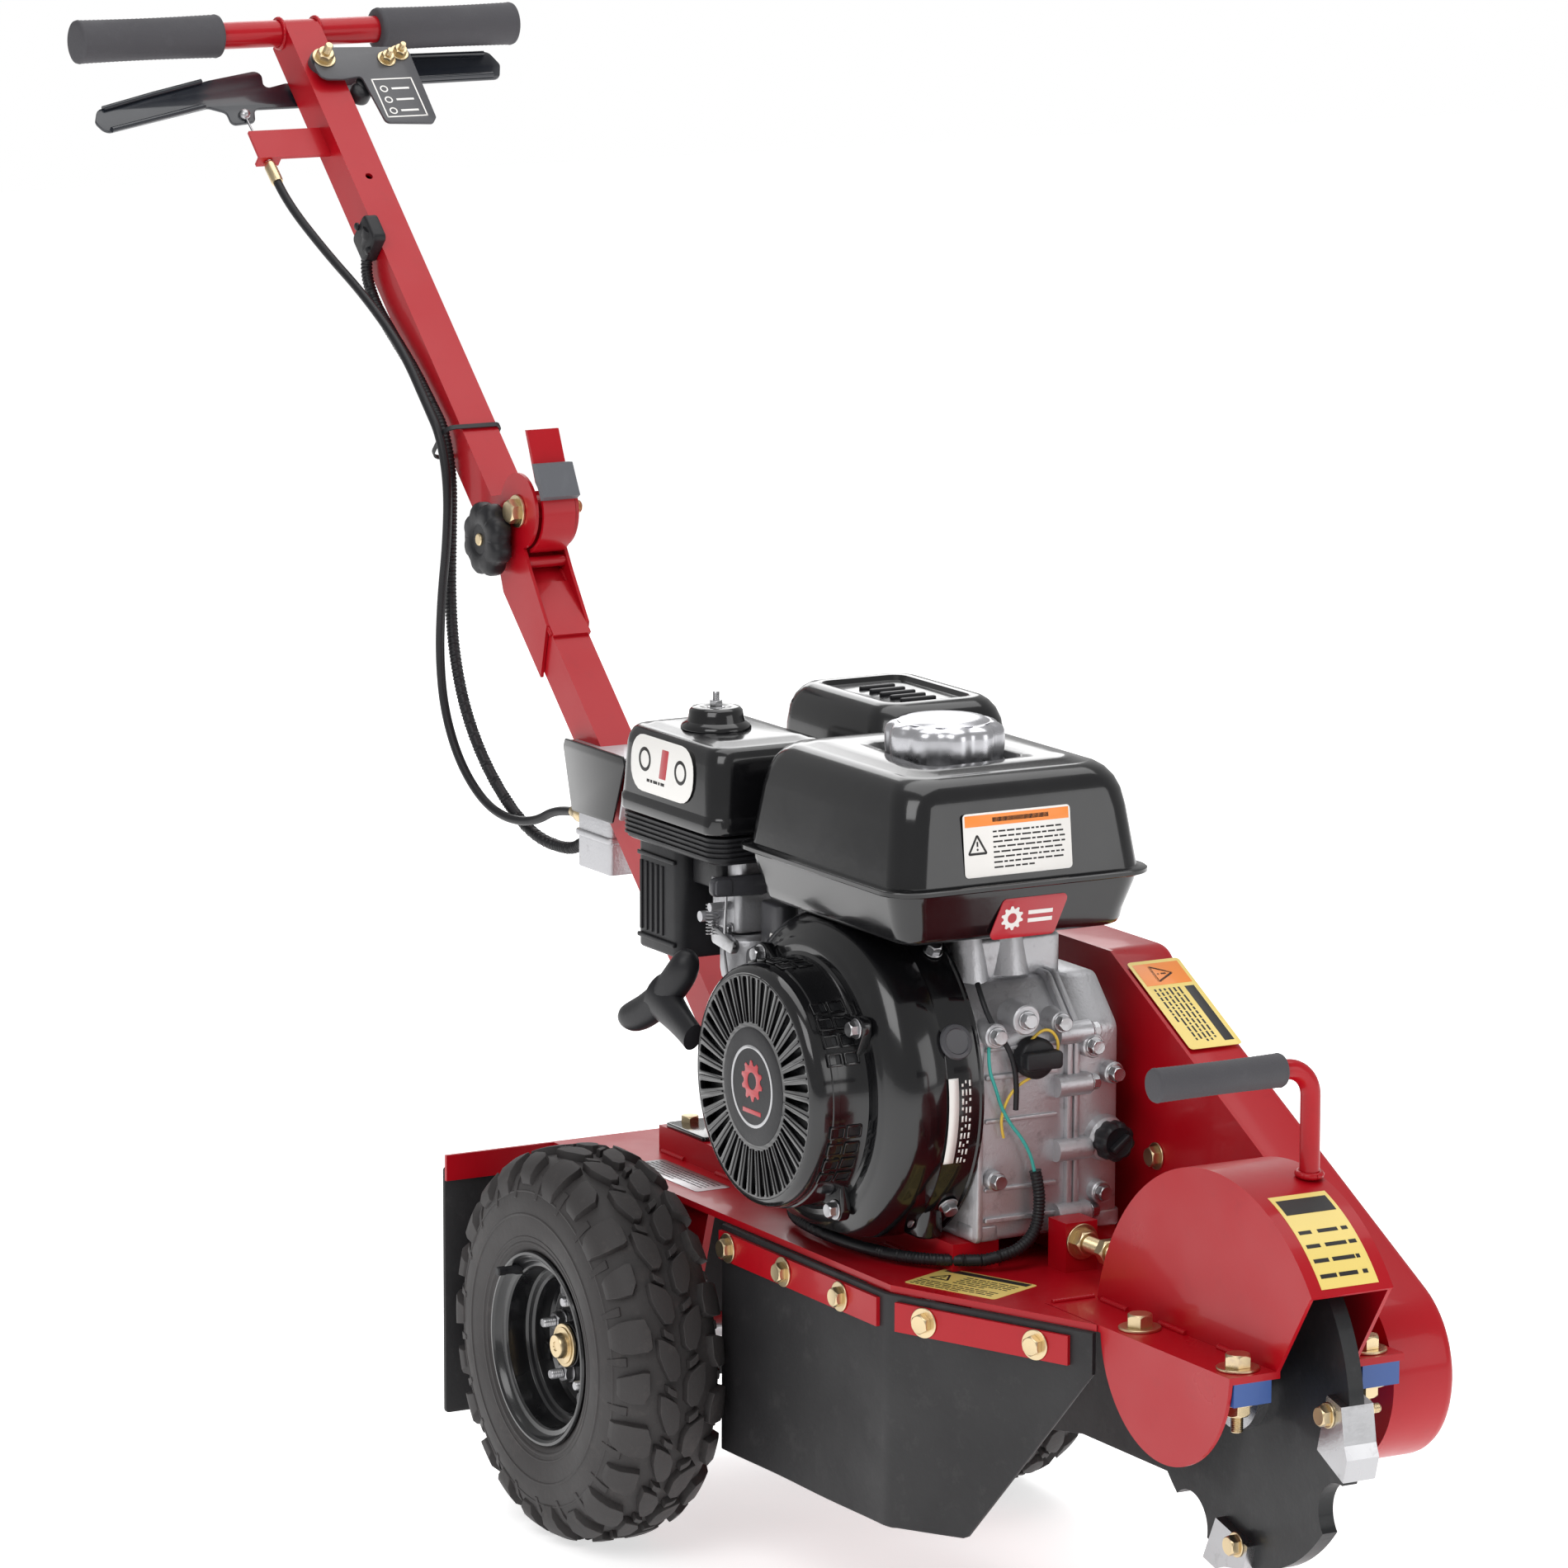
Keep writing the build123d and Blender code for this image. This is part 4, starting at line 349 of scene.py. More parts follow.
def block(length, width, height, corner=2.0, edge=1.0):
    """Block with rounded lower and upper edges, standing on its local z = 0."""
    turns = (0, pi / 6, pi / 3, pi / 2)
    levels = [(edge * (1 - cos(t)), edge * (1 - sin(t))) for t in turns]
    levels += [(height - edge * (1 - sin(t)), edge * (1 - cos(t))) for t in turns]
    return tower([(z, length - 2 * inset, width - 2 * inset, max(corner - inset, 0.5))
                  for z, inset in levels], steps=4)


def plate(outline, thickness, holes=(), edge=0.4):
    """Flat plate with rounded edges from z = 0 to its thickness, holes left open."""
    curve = bpy.data.curves.new("outline", "CURVE")
    curve.dimensions = "2D"
    curve.fill_mode = "BOTH"
    for points in (outline, *holes):
        spline = curve.splines.new("POLY")
        spline.points.add(len(points) - 1)
        for point, (x, y) in zip(spline.points, points):
            point.co = (x, y, 0, 1)
        spline.use_cyclic_u = True
    curve.extrude = max(thickness / 2 - edge, 0)
    curve.bevel_depth = edge
    curve.bevel_resolution = 1
    curve.offset = -edge
    holder = bpy.data.objects.new("outline", curve)
    mesh = bpy.data.meshes.new_from_object(holder)
    verts = [(v.co.x, v.co.y, v.co.z + thickness / 2) for v in mesh.vertices]
    faces = [tuple(p.vertices) for p in mesh.polygons]
    bpy.data.objects.remove(holder)
    bpy.data.meshes.remove(mesh)
    bpy.data.curves.remove(curve)
    return verts, faces


def ring_points(radius, count=40, centre=(0, 0), start=0.0, end=360.0):
    """Points round a circle, or along an arc when it isn't a full turn."""
    steps = count if abs(end - start - 360) < 1e-6 else count - 1
    return [(centre[0] + radius * cos(radians(start + (end - start) * i / steps)),
             centre[1] + radius * sin(radians(start + (end - start) * i / steps)))
            for i in range(count)]


def rounded(points, radius, steps=5):
    """Outline with every corner rounded; radius is one number or one for each corner."""
    result = []
    count = len(points)
    for i, here in enumerate(points):
        size = radius[i] if isinstance(radius, (list, tuple)) else radius
        p, a, b = Vector(here), Vector(points[i - 1]), Vector(points[(i + 1) % count])
        to_a, to_b = (a - p), (b - p)
        angle = to_a.angle(to_b)
        if size <= 0 or angle > 3.1:
            result.append(tuple(p))
            continue
        reach = min(size / tan(angle / 2), to_a.length * 0.49, to_b.length * 0.49)
        size = reach * tan(angle / 2)
        centre = p + (to_a.normalized() + to_b.normalized()).normalized() * (size / sin(angle / 2))
        first = p + to_a.normalized() * reach - centre
        last = p + to_b.normalized() * reach - centre
        sweep = first.angle_signed(last) if first.length > 0 else 0
        for k in range(steps + 1):
            turn = -sweep * k / steps
            result.append((centre.x + first.x * cos(turn) - first.y * sin(turn),
                           centre.y + first.x * sin(turn) + first.y * cos(turn)))
    return result


def sweep(points, radius, sides=14):
    """Round tube along points; radius may be a function of the distance run."""
    points = [Vector(p) for p in points]
    rings = []
    run = 0.0
    normal = None
    for i, p in enumerate(points):
        ahead = points[min(i + 1, len(points) - 1)] - points[max(i - 1, 0)]
        tangent = ahead.normalized()
        if normal is None:
            normal = tangent.orthogonal().normalized()
        normal = (normal - tangent * normal.dot(tangent)).normalized()
        side = tangent.cross(normal)
        run += (p - points[i - 1]).length if i else 0
        r = radius(run) if callable(radius) else radius
        rings.append([p + (normal * cos(2 * pi * k / sides) + side * sin(2 * pi * k / sides)) * r
                      for k in range(sides)])
    return loft(rings)


def bend(points, radius, steps=8):
    """Polyline in space with its corners turned into arcs, for bent bars and tubes."""
    points = [Vector(p) for p in points]
    result = [points[0]]
    for a, p, b in zip(points, points[1:], points[2:]):
        to_a, to_b = (a - p).normalized(), (b - p).normalized()
        half = to_a.angle(to_b) / 2
        reach = min(radius / tan(half), (a - p).length * 0.49, (b - p).length * 0.49)
        size = reach * tan(half)
        centre = p + (to_a + to_b).normalized() * (size / sin(half))
        first, last = p + to_a * reach - centre, p + to_b * reach - centre
        total = first.angle(last)
        for k in range(steps + 1):
            t = k / steps
            result.append(centre + (first * sin((1 - t) * total) + last * sin(t * total))
                          / sin(total))
    result.append(points[-1])
    return result


def hex_head(across, height):
    """Hexagon head or nut standing on z = 0, with its corners turned off."""
    rings = [[], [], [], []]
    reach = across / 2 / cos(pi / 6)
    for i in range(24):
        turn = 2 * pi * i / 24
        rho = across / 2 / cos((turn + pi / 6) % (pi / 3) - pi / 6)
        drop = (rho - across / 2) / (reach - across / 2) * height * 0.16
        c, s = cos(turn), sin(turn)
        rings[0].append((rho * c, rho * s, 0))
        rings[1].append((rho * c, rho * s, height * 0.93 - drop))
        rings[2].append((across / 2 * 0.94 * c, across / 2 * 0.94 * s, height))
        rings[3].append((across * 0.3 * c, across * 0.3 * s, height - 0.15))
    return loft(rings)


def washer(radius, bore, thickness):
    return lathe([(bore, 0), (radius - 0.4, 0), (radius, 0.4), (radius, thickness - 0.4),
                  (radius - 0.4, thickness), (bore, thickness), (bore, 0)], 40)


def thread(radius, length, pitch=1.4):
    """Threaded stud standing on z = 0, its ridges turned as rings."""
    profile = [(0, 0), (radius, 0)]
    z = 0.6
    while z < length - 1.2:
        profile += [(radius, z), (radius * 0.86, z + pitch / 2)]
        z += pitch
    profile += [(radius, length - 1), (radius * 0.8, length), (0, length)]
    return lathe(profile, 20)


def bolt(across, head, washer_r=0.0, washer_t=1.6, stud=0.0):
    """Bolt head on a washer, with a threaded end above it for a nut."""
    made = Shape()
    if washer_r:
        made.put(washer(washer_r, across * 0.2, washer_t))
    made.put(hex_head(across, head), lifted(washer_t if washer_r else 0))
    if stud:
        made.put(thread(across * 0.27, stud), lifted(head))
    return made.verts, made.faces


def bead(points, width=2.6):
    """Weld bead: small overlapping ripples along a line."""
    line = [Vector(p) for p in points]
    dense = []
    for a, b in zip(line, line[1:]):
        count = max(int((b - a).length / 0.7), 2)
        dense += [a.lerp(b, k / count) for k in range(count)]
    dense.append(line[-1])
    return sweep(dense, lambda run: width * (0.86 + 0.14 * abs(sin(run * 1.35))), sides=8)


def keep(node, material, bevel=0.5):
    """Keeps a CAD node whose shape is right and gives it a finish and soft edges."""
    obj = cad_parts[node]
    obj.data.materials.clear()
    obj.data.materials.append(material)
    if bevel:
        modifier = obj.modifiers.new("edges", "BEVEL")
        modifier.width = bevel * MM
        modifier.segments = 2
        modifier.limit_method = "ANGLE"
        modifier.angle_limit = radians(40)


# ---------------- control cables
CLUTCH_ROUTE = [
    (-669.4, -70, 948.4), (-652.0, -70, 931.9), (-609, -54, 892), (-561, -44, 862),
    (-508, -37, 824), (-468, -35, 782), (-448, -34, 761), (-437, -33, 722), (-440, -33, 676),
    (-450, -33, 630), (-456, -32, 582), (-451, -30, 536), (-426, -27, 494), (-384, -22, 466),
    (-336, -13, 464), (-298, -6, 484), (-256, -6, 484),
]
LOOM_ROUTE = [
    (-592, -22, 908), (-604, -23, 884), (-588, -24, 856), (-554, -24, 832), (-515, -23, 806),
    (-481, -23, 778), (-464, -23, 764), (-452, -22, 728), (-454, -22, 680), (-458, -21, 632),
    (-454, -20, 584), (-434, -19, 535), (-398, -15, 490), (-352, -5, 452), (-304, 6, 446),
    (-278, 6, 460), (-256, 6, 460),
]


def spline_points(route, smoothness=40):
    """Points in millimetres read from the NURBS spline that has this route."""
    curve = bpy.data.curves.new("route", "CURVE")
    curve.dimensions = "3D"
    curve.resolution_u = smoothness
    spline = curve.splines.new("NURBS")
    spline.points.add(len(route) - 1)
    for point, (x, y, z) in zip(spline.points, route):
        point.co = (x * MM, y * MM, z * MM, 1)
    spline.order_u = 3
    spline.use_endpoint_u = True
    holder = bpy.data.objects.new("route", curve)
    mesh = bpy.data.meshes.new_from_object(holder)
    found = [v.co / MM for v in mesh.vertices]
    bpy.data.objects.remove(holder)
    bpy.data.meshes.remove(mesh)
    bpy.data.curves.remove(curve)
    return found


def line_length(points):
    return sum((b - a).length for a, b in zip(points, points[1:]))


FOLD_START, FOLD_END = Vector((-0.448, 0, 0.740)), Vector((-0.540, 0, 0.840))


def make_cable(name, route, radius, material):
    """Cable from the handle to the frame."""
    line = spline_points(route)
    cable = piece(name, Shape().put(sweep(line, radius, 16)), material, None,
                  ("upper_cables", "lower_cables"), sharp=60)
    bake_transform(cable)
    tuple(FOLD_START)
    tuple(FOLD_END)
    widest = max(radius(run / 10) for run in range(60)) if callable(radius) else radius
    line_length(line) * MM
    return line


def loom_radius(run):
    """Corrugated sleeve: a ridge every 3 mm."""
    return 4.55 + 0.45 * cos(run * 2 * pi / 3.0)


clutch_line = make_cable("clutch_cable", CLUTCH_ROUTE, 3.6, PLASTIC)
loom_line = make_cable("wire_loom", LOOM_ROUTE, loom_radius, PLASTIC)


# ---------------- wheels
TYRE_SECTION = [(72.0, 40.5), (77, 43), (86, 45), (98, 46), (111, 45), (124, 41), (133, 35),
                (139, 26), (141.6, 14), (142.2, 0)]


def smooth_line(points, steps=4):
    """Catmull-Rom curve through points in the plane."""
    result = []
    padded = [points[0]] + list(points) + [points[-1]]
    for a, b, c, d in zip(padded, padded[1:], padded[2:], padded[3:]):
        a, b, c, d = (Vector(v) for v in (a, b, c, d))
        for k in range(steps):
            t = k / steps
            result.append(0.5 * (2 * b + (c - a) * t + (2 * a - 5 * b + 4 * c - d) * t * t
                                 + (3 * b - a - 3 * c + d) * t ** 3))
    result.append(Vector(points[-1]))
    return result


half_section = smooth_line(TYRE_SECTION)
crown_out = [Vector((p.x, p.y)) for p in reversed(half_section)]
crown_run = [0.0]
for a, b in zip(crown_out, crown_out[1:]):
    crown_run.append(crown_run[-1] + (b - a).length)


def on_tread(w, turn, lift):
    """Point over the carcass: w is the distance from the crown along the section."""
    size = abs(w)
    k = max(i for i, run in enumerate(crown_run) if run <= size or i == 0)
    k = min(k, len(crown_out) - 2)
    share = (size - crown_run[k]) / (crown_run[k + 1] - crown_run[k])
    p = crown_out[k].lerp(crown_out[k + 1], share)
    along = (crown_out[k + 1] - crown_out[k]).normalized()
    normal = Vector((along.y, -along.x))
    p = p + normal * lift
    y = p.y if w >= 0 else -p.y
    return (p.x * cos(turn), p.x * sin(turn), y)


TREAD_R = 146.0


def tread_block(shape, turn, stations, side=1, shrink=0.7):
    """Raised tread block: a station is (w, first degree, last degree, height)."""
    low, high = [], []
    for i, (w, first, last, height) in enumerate(stations):
        slack = 0.9 if i in (0, len(stations) - 1) else 0
        shift = slack if i == 0 else -slack
        row_low, row_high = [], []
        inset = degrees(shrink / TREAD_R)
        a, b = first + inset, last - inset
        for k in range(5):
            share = k / 4
            below = turn + radians(first + (last - first) * share)
            row_low.append(on_tread(side * w, below, -0.8))
            row_high.append(on_tread(side * (w + shift), turn + radians(a + (b - a) * share),
                                     height))
        low.append(row_low)
        high.append(row_high)
    rings = []
    count = len(stations)
    for grid in (low, high):
        ring = [grid[0][k] for k in range(5)]
        ring += [grid[i][4] for i in range(1, count)]
        ring += [grid[count - 1][k] for k in range(3, -1, -1)]
        ring += [grid[i][0] for i in range(count - 2, 0, -1)]
        rings.append(ring)
    shape.put(loft(rings, caps=False))
    verts = [p for row in high for p in row]
    faces = [(i * 5 + k, i * 5 + k + 1, (i + 1) * 5 + k + 1, (i + 1) * 5 + k)
             for i in range(count - 1) for k in range(4)]
    shape.put((verts, faces))


PITCHES = 22                  # lug pairs round each side of the tyre
LONG_LUG = [(21, -4.6, 0.6, 6.2), (25, -5.6, 4.6, 6.4), (34, -5.9, 4.9, 6.5), (41, -5.6, 4.8, 6.0),
            (48, -4.4, 4.0, 4.6), (56, -3.4, 3.2, 1.0)]
SHORT_LUG = [(24, -1.4, 5.2, 6.3), (29, -4.6, 5.4, 6.5), (37, -4.7, 4.6, 6.3),
             (44, -4.0, 3.8, 5.2), (50, -3.2, 3.0, 2.0)]
CENTRE_LUG = [(1.6, -4.8, 1.0, 6.1), (6, -6.6, 3.8, 6.2), (11, -6.4, 5.2, 6.3),
              (15, -3.0, 6.2, 6.3), (18.5, 0.8, 6.4, 6.2)]
MID_BAR = [(4.5, 5.6, 7.9, 5.6), (10, 6.6, 8.9, 5.8), (13.5, 7.6, 9.9, 5.8)]
SIDE_RIB = [(40, -1.6, 1.6, 1.2), (47, -1.5, 1.5, 1.4), (60, -1.0, 1.0, 0.9)]


def make_wheel(side, body, tyre_node, rim_node):
    """Knobbly tyre and its bolted steel rim, drawn with the outside towards +z."""
    centre = middle(tyre_node)
    where = at(centre, (0, side, 0))
    carcass = Shape()
    outside = [(p.x, p.y) for p in half_section]
    inside = [(p.x, -p.y) for p in reversed(half_section)]
    hollow = [(72, -34), (78, -35), (100, -37), (130, -24), (134, 0), (130, 24), (100, 37),
              (78, 35), (72, 34), (72, 40.5)]
    carcass.put(lathe(outside + inside[1:] + hollow, 132), where)
    piece(body + "_tyre", carcass, TYRE, body, (tyre_node,), sharp=50)
    lugs = Shape()
    for k in range(PITCHES):
        turn = 2 * pi * k / PITCHES
        half_turn = pi / PITCHES
        sides = [(face, turn + (half_turn if face < 0 else 0)) for face in (1, -1)]
        for face, offset in sides:
            local = Shape()
            tread_block(local, offset, LONG_LUG if k % 2 else SHORT_LUG, face)
            tread_block(local, offset + half_turn, CENTRE_LUG, face)
            tread_block(local, offset + half_turn * 0.9, MID_BAR, face, 0.3)
            lugs.put((local.verts, local.faces), where)
        for face, offset in sides:
            local = Shape()
            tread_block(local, offset + half_turn, SIDE_RIB, face, 0.3)
            lugs.put((local.verts, local.faces), where)
    piece(body + "_tread", lugs, TYRE, body, bevel=0.55, sharp=38)
    rings = Shape()
    for radius, width in ((79.5, 1.0), (84.0, 0.7), (101.0, 0.8), (118.0, 0.6)):
        y = min(half_section, key=lambda p: abs(p.x - radius)).y
        rings.put(lathe([(radius - width * 2, y - 0.6), (radius - width, y + width * 0.7),
                         (radius + width, y + width * 0.7), (radius + width * 2, y - 0.6)], 132),
                  where)
    piece(body + "_sidewall_rings", rings, TYRE, body, sharp=60)
    rim = lathe([
        (71.6, 40.0), (73.2, 42.6), (72.4, 44.6), (70.4, 44.8), (68.4, 43.4), (66.6, 39.5),
        (65.4, 38.4), (61.6, 37.6), (60.4, 36.2), (59.8, 32), (59.2, 22), (57.6, 20.4),
        (53.4, 19.6), (51.6, 18.2), (50.8, 15.2), (50.2, 6.6), (48.4, 3.6), (44.6, 2.4),
        (40.6, 3.2), (36.0, 5.0), (22.0, 5.6), (19.4, 6.6), (17.6, 8.2), (17.0, 10), (17.0, 17.4),
        (16.4, 18.0), (10.4, 18.0), (9.55, 17.2), (9.55, -40), (17, -40), (17, -0.6), (22, 2.4),
        (36, 1.8), (44, -0.8), (49.6, -1.0), (50.2, -6), (50.8, -12), (58.6, -20), (59.8, -34),
        (66, -38), (70.4, -44.8), (72.8, -43.6), (71.6, -39.8), (64, -36), (62.4, -20),
        (54.4, -12), (53.8, 12), (62.4, 21), (63.6, 36), (71.6, 40.0)], 96)
    piece(body + "_rim", Shape().put(rim, where), RIM, body, (rim_node,), sharp=24, bevel=0.3)
    nuts = Shape()
    for k in range(5):
        turn = radians(18 + 72 * k)
        spot = where @ at((33 * cos(turn), 33 * sin(turn), 5.0))
        nuts.put(bolt(13, 6.5, 8.2, 1.4), spot)
        nuts.put(thread(3.9, 17.5, 1.25), spot)
    for k in range(5):
        turn = radians(54 + 72 * k)
        nuts.put(bolt(10, 4.4, 6.2, 1.2), where @ at((43.2 * cos(turn), 43.2 * sin(turn), 2.4)))
    piece(body + "_lug_nuts", nuts, STEEL, body, bevel=0.15)
    valve = lathe([(0, 0), (4.4, 0), (4.2, 5), (3.2, 8), (3.0, 14), (3.5, 14.6), (3.5, 20),
                   (2.8, 21), (0, 21)], 20)
    spot = where @ at((64.8 * cos(2.2), 64.8 * sin(2.2), 36))
    piece(body + "_valve", Shape().put(valve, spot), PLASTIC, body)


make_wheel(-1, "right_wheel", "right_tyre", "right_rim")
make_wheel(1, "left_wheel", "left_tyre", "left_rim")
keep("axle", STEEL, 0.3)

# ---------------- frame hardware
axle_centre = middle("axle")
axle_low, axle_high = box("axle")
strip_low, strip_high = box("clamp_strips")
STRIP_Z = (strip_low.z + strip_high.z) / 2
crank = middle("crankshaft")
CRANK_X, CRANK_Z = crank.x, crank.z
cutter = middle("cutter_shaft")
CUTTER_X, CUTTER_Z = cutter.x, cutter.z
hardware = Shape()
for side in (-1, 1):
    end = Vector((axle_centre.x, axle_high.y if side > 0 else axle_low.y, axle_centre.z))
    spot = at(end, (0, side, 0))
    hardware.put(washer(16.5, 6.0, 2.6), spot)
    hardware.put(lathe([(5, 2.2), (13.6, 2.2), (13.8, 3.4), (9.6, 3.8), (9.2, 8.2), (8.4, 9.4),
                        (3.6, 9.4), (3.2, 8.6), (0, 8.6)], 40), spot)
piece("axle_bolts", hardware, ZINC, "frame", ("frame_bolts",), bevel=0.2)


# ---------------- fuel tank and cap
SEAM_Z = 549.0                # height of the seam where the tank's halves meet
tank_low, tank_high = box("fuel_tank")
tank_centre = (tank_low + tank_high) / 2
TANK_L, TANK_W = tank_high.x - tank_low.x, tank_high.y - tank_low.y
cap_low, cap_high = box("fuel_cap")
cap_centre = (cap_low + cap_high) / 2
CAP = (cap_centre.x, cap_centre.y)


def tank_ring(z, inset, corner):
    return [(x + tank_centre.x, y + tank_centre.y, z)
            for x, y in round_box(TANK_L - 2 * inset, TANK_W - 2 * inset, corner, 10)]


def tank_skin():
    """Outer skin of the pressed tank: tub, flange, sides, stepped top and cap pocket."""
    z0, z1 = tank_low.z, tank_high.z
    rings = [tank_ring(*row) for row in (
        (z0, 30, 10), (z0, 22, 14), (z0 + 1.6, 18.6, 16), (z0 + 5, 16.2, 18), (z0 + 12, 14.8, 19),
        (SEAM_Z - 8, 8.4, 21), (SEAM_Z - 3, 7.2, 22), (SEAM_Z - 2.4, 5.5, 23),
        (SEAM_Z - 2.2, 1.2, 26), (SEAM_Z - 1.4, 0.2, 26), (SEAM_Z + 1.2, 0.2, 26),
        (SEAM_Z + 2.1, 1.2, 26), (SEAM_Z + 2.3, 5.0, 23), (SEAM_Z + 3.4, 7.0, 22),
        (SEAM_Z + 12, 8.2, 22), (z1 - 34, 13.0, 22), (z1 - 22, 15.4, 23), (z1 - 14, 18.6, 24),
        (z1 - 8, 23.4, 24), (z1 - 4.6, 29, 22), (z1 - 3.8, 33, 20))]
    rim = tank_ring(z1 - 3.6, 36, 18)
    rings.append(rim)
    pocket = []
    for x, y, _ in rim:
        turn = atan2(y - cap_centre.y, x - cap_centre.x)
        pocket.append((cap_centre.x + 58 * cos(turn), cap_centre.y + 52 * sin(turn)))
    for share, z in ((0.18, z1 - 1.2), (0.4, z1 - 0.2), (0.75, z1 - 0.3), (0.95, z1 - 1.0)):
        rings.append([(x + (p[0] - x) * share, y + (p[1] - y) * share, z)
                      for (x, y, _), p in zip(rim, pocket)])
    for share, z in ((1.0, z1 - 2.4), (0.95, z1 - 7.6), (0.9, z1 - 9.6), (0.5, z1 - 9.8)):
        rings.append([(cap_centre.x + (x - cap_centre.x) * share,
                       cap_centre.y + (y - cap_centre.y) * share, z) for x, y in pocket])
    return loft(rings)


piece("tank_shell", Shape().put(tank_skin()), BLACK, "frame", ("fuel_tank",), sharp=40)
neck = lathe([(20, -6), (24.5, -6), (25.5, 2), (25.8, 8), (22, 8), (20, 7), (20, -6)], 48)
piece("tank_neck", Shape().put(neck, at((*CAP, cap_low.z - 2))), STEEL, "frame")


def cap_flutes(turn, radius, height):
    """Ten broad scallops round the cap, fading towards its bottom band and its top."""
    if radius < 34 or height < 3.5:
        return 0
    return -3.4 * abs(cos(5 * turn)) ** 3


cap = Shape()
cap.put(lathe([(26.2, 0.6), (41.6, 0.6), (42.8, 1.4), (43.0, 3.0), (42.6, 3.6), (41.8, 4.2),
               (41.8, 6), (42.4, 9), (42.9, 14), (42.9, 22), (42.6, 25), (41.4, 27.6),
               (38.8, 29.6), (35.8, 30.6), (33.4, 31.2), (32.6, 31.0), (31.6, 31.4), (29, 33.0),
               (22, 33.8), (10, 34.0), (0, 34.0)], 120, cap_flutes),
        at((*CAP, cap_low.z)))
cap.put(lathe([(26.2, 0.6), (26.2, 12), (0, 12)], 48), at((*CAP, cap_low.z)))
piece("chrome_cap", cap, CHROME, "tank_cap", ("fuel_cap",), sharp=38)

# ---------------- air cleaner
cover_low, cover_high = box("air_cleaner_cover")
case_low, case_high = box("air_cleaner_case")
air = (cover_low + cover_high) / 2
AIR_L, AIR_W = cover_high.x - cover_low.x, cover_high.y - cover_low.y
z0, z1 = cover_low.z, cover_high.z
cover = Shape().put(stepped(AIR_L, AIR_W, (air.x, air.y), [
    (z0, 4, 4, 15), (z0 + 0.8, 1.2, 1.2, 16), (z0 + 2.6, 0, 0, 16), (z0 + 11, 0.6, 0.6, 16),
    (z0 + 12.4, 2.8, 2.8, 15.5), (z0 + 14, 3.2, 3.2, 15.5), (z1 - 16, 7, 7, 16),
    (z1 - 10, 9.4, 9.4, 16), (z1 - 5.6, 13.6, 13.6, 16), (z1 - 3.4, 19, 19, 15),
    (z1 - 2.9, 24, 24, 13), (z1 - 2.6, 34, 30, 11), (z1 - 0.6, 44, 40, 9),
    (z1 - 0.2, 56, 50, 7)]))
piece("air_cover_shell", cover, BLACK, "frame", ("air_cleaner_cover",), sharp=40)
keep("air_element", FOAM, 0)
case = Shape()
levels = [(case_high.z - 22, 16, 16, 10), (case_high.z - 20, 9, 9, 13)]
for k in range(5):
    z = case_high.z - 18 + k * 3.6
    levels += [(z, 8, 8, 14), (z + 0.5, 4.4, 4.4, 15), (z + 1.9, 4.4, 4.4, 15),
               (z + 2.4, 8, 8, 14)]
case.put(stepped(AIR_L, AIR_W, (air.x, air.y), levels))
duct_x = case_low.x + 31
duct_y = air.y + 8
case.put(block(66, 84, case_high.z - 20 - case_low.z, 9, 2.5), at((duct_x, duct_y, case_low.z)))
for k in range(5):
    case.put(block(3, 1.8, 52, 0.8, 0.5),
             at((duct_x - 24 + k * 8, duct_y - 42.4, case_low.z + 14)))
for up in (8, 70):
    case.put(block(56, 3, 3.2, 1, 0.8), at((duct_x, duct_y - 42.6, case_low.z + up)))
case.put(block(44, 40, 26, 6, 2), at((duct_x + 54, duct_y - 12, case_low.z + 58)))
piece("air_case_shell", case, PLASTIC, "frame", ("air_cleaner_case",), sharp=36)
knob_centre = middle("cover_knob")
knob_low, _ = box("cover_knob")
knob = Shape()
knob.put(lathe([(0, 0), (26, 0), (26, 1.2), (24.8, 3.2), (21.4, 5.4), (20.2, 9.6), (19.6, 13.4),
                (17.6, 15.4), (14, 16), (9, 15.6), (7, 14.4), (0, 14.4)], 56),
         at((knob_centre.x, knob_centre.y, knob_low.z)))
piece("air_knob_cap", knob, BLACK, "air_knob", ("cover_knob",), sharp=40)
stud = Shape()
spot = at((knob_centre.x, knob_centre.y, knob_low.z + 14.2))
stud.put(bolt(9, 5, 6.4, 1.2), spot)
stud.put(thread(2.6, 12.5, 1.0), spot)
piece("air_knob_nut", stud, STEEL, "air_knob", bevel=0.12)


def label(name, corners_at, width, height, radius, items, body, backing=WHITE):
    """Thin sticker: a rounded backing and raised marks; an item is (finish, outline, holes)."""
    outline = rounded(bar(-width / 2, -height / 2, width, height), radius)
    piece(name, Shape().put(plate(outline, 0.3, edge=0.08), corners_at), backing, body)
    grouped = {}
    for material, mark, holes in items:
        grouped.setdefault(material.name, (material, Shape()))[1].put(
            plate(mark, 0.16, holes, edge=0.03), corners_at @ lifted(0.28))
    for key, (material, shape) in grouped.items():
        piece(name + "_" + key, shape, material, body)


def bar(x, y, width, height):
    return [(x, y), (x + width, y), (x + width, y + height), (x, y + height)]


def text_bars(material, x, y, width, rows, pitch, thick=1.1):
    """Rows of short bars of varied length that stand for unreadable print."""
    items = []
    for row in range(rows):
        run = 0.0
        limit = width * (0.98 if row < rows - 1 else 0.6)
        while run < limit - 2:
            word = min(2.0 + random.random() * 6.5, limit - run)
            items.append((material, bar(x + run, y - row * pitch, word, thick), ()))
            run += word + 1.3
    return items


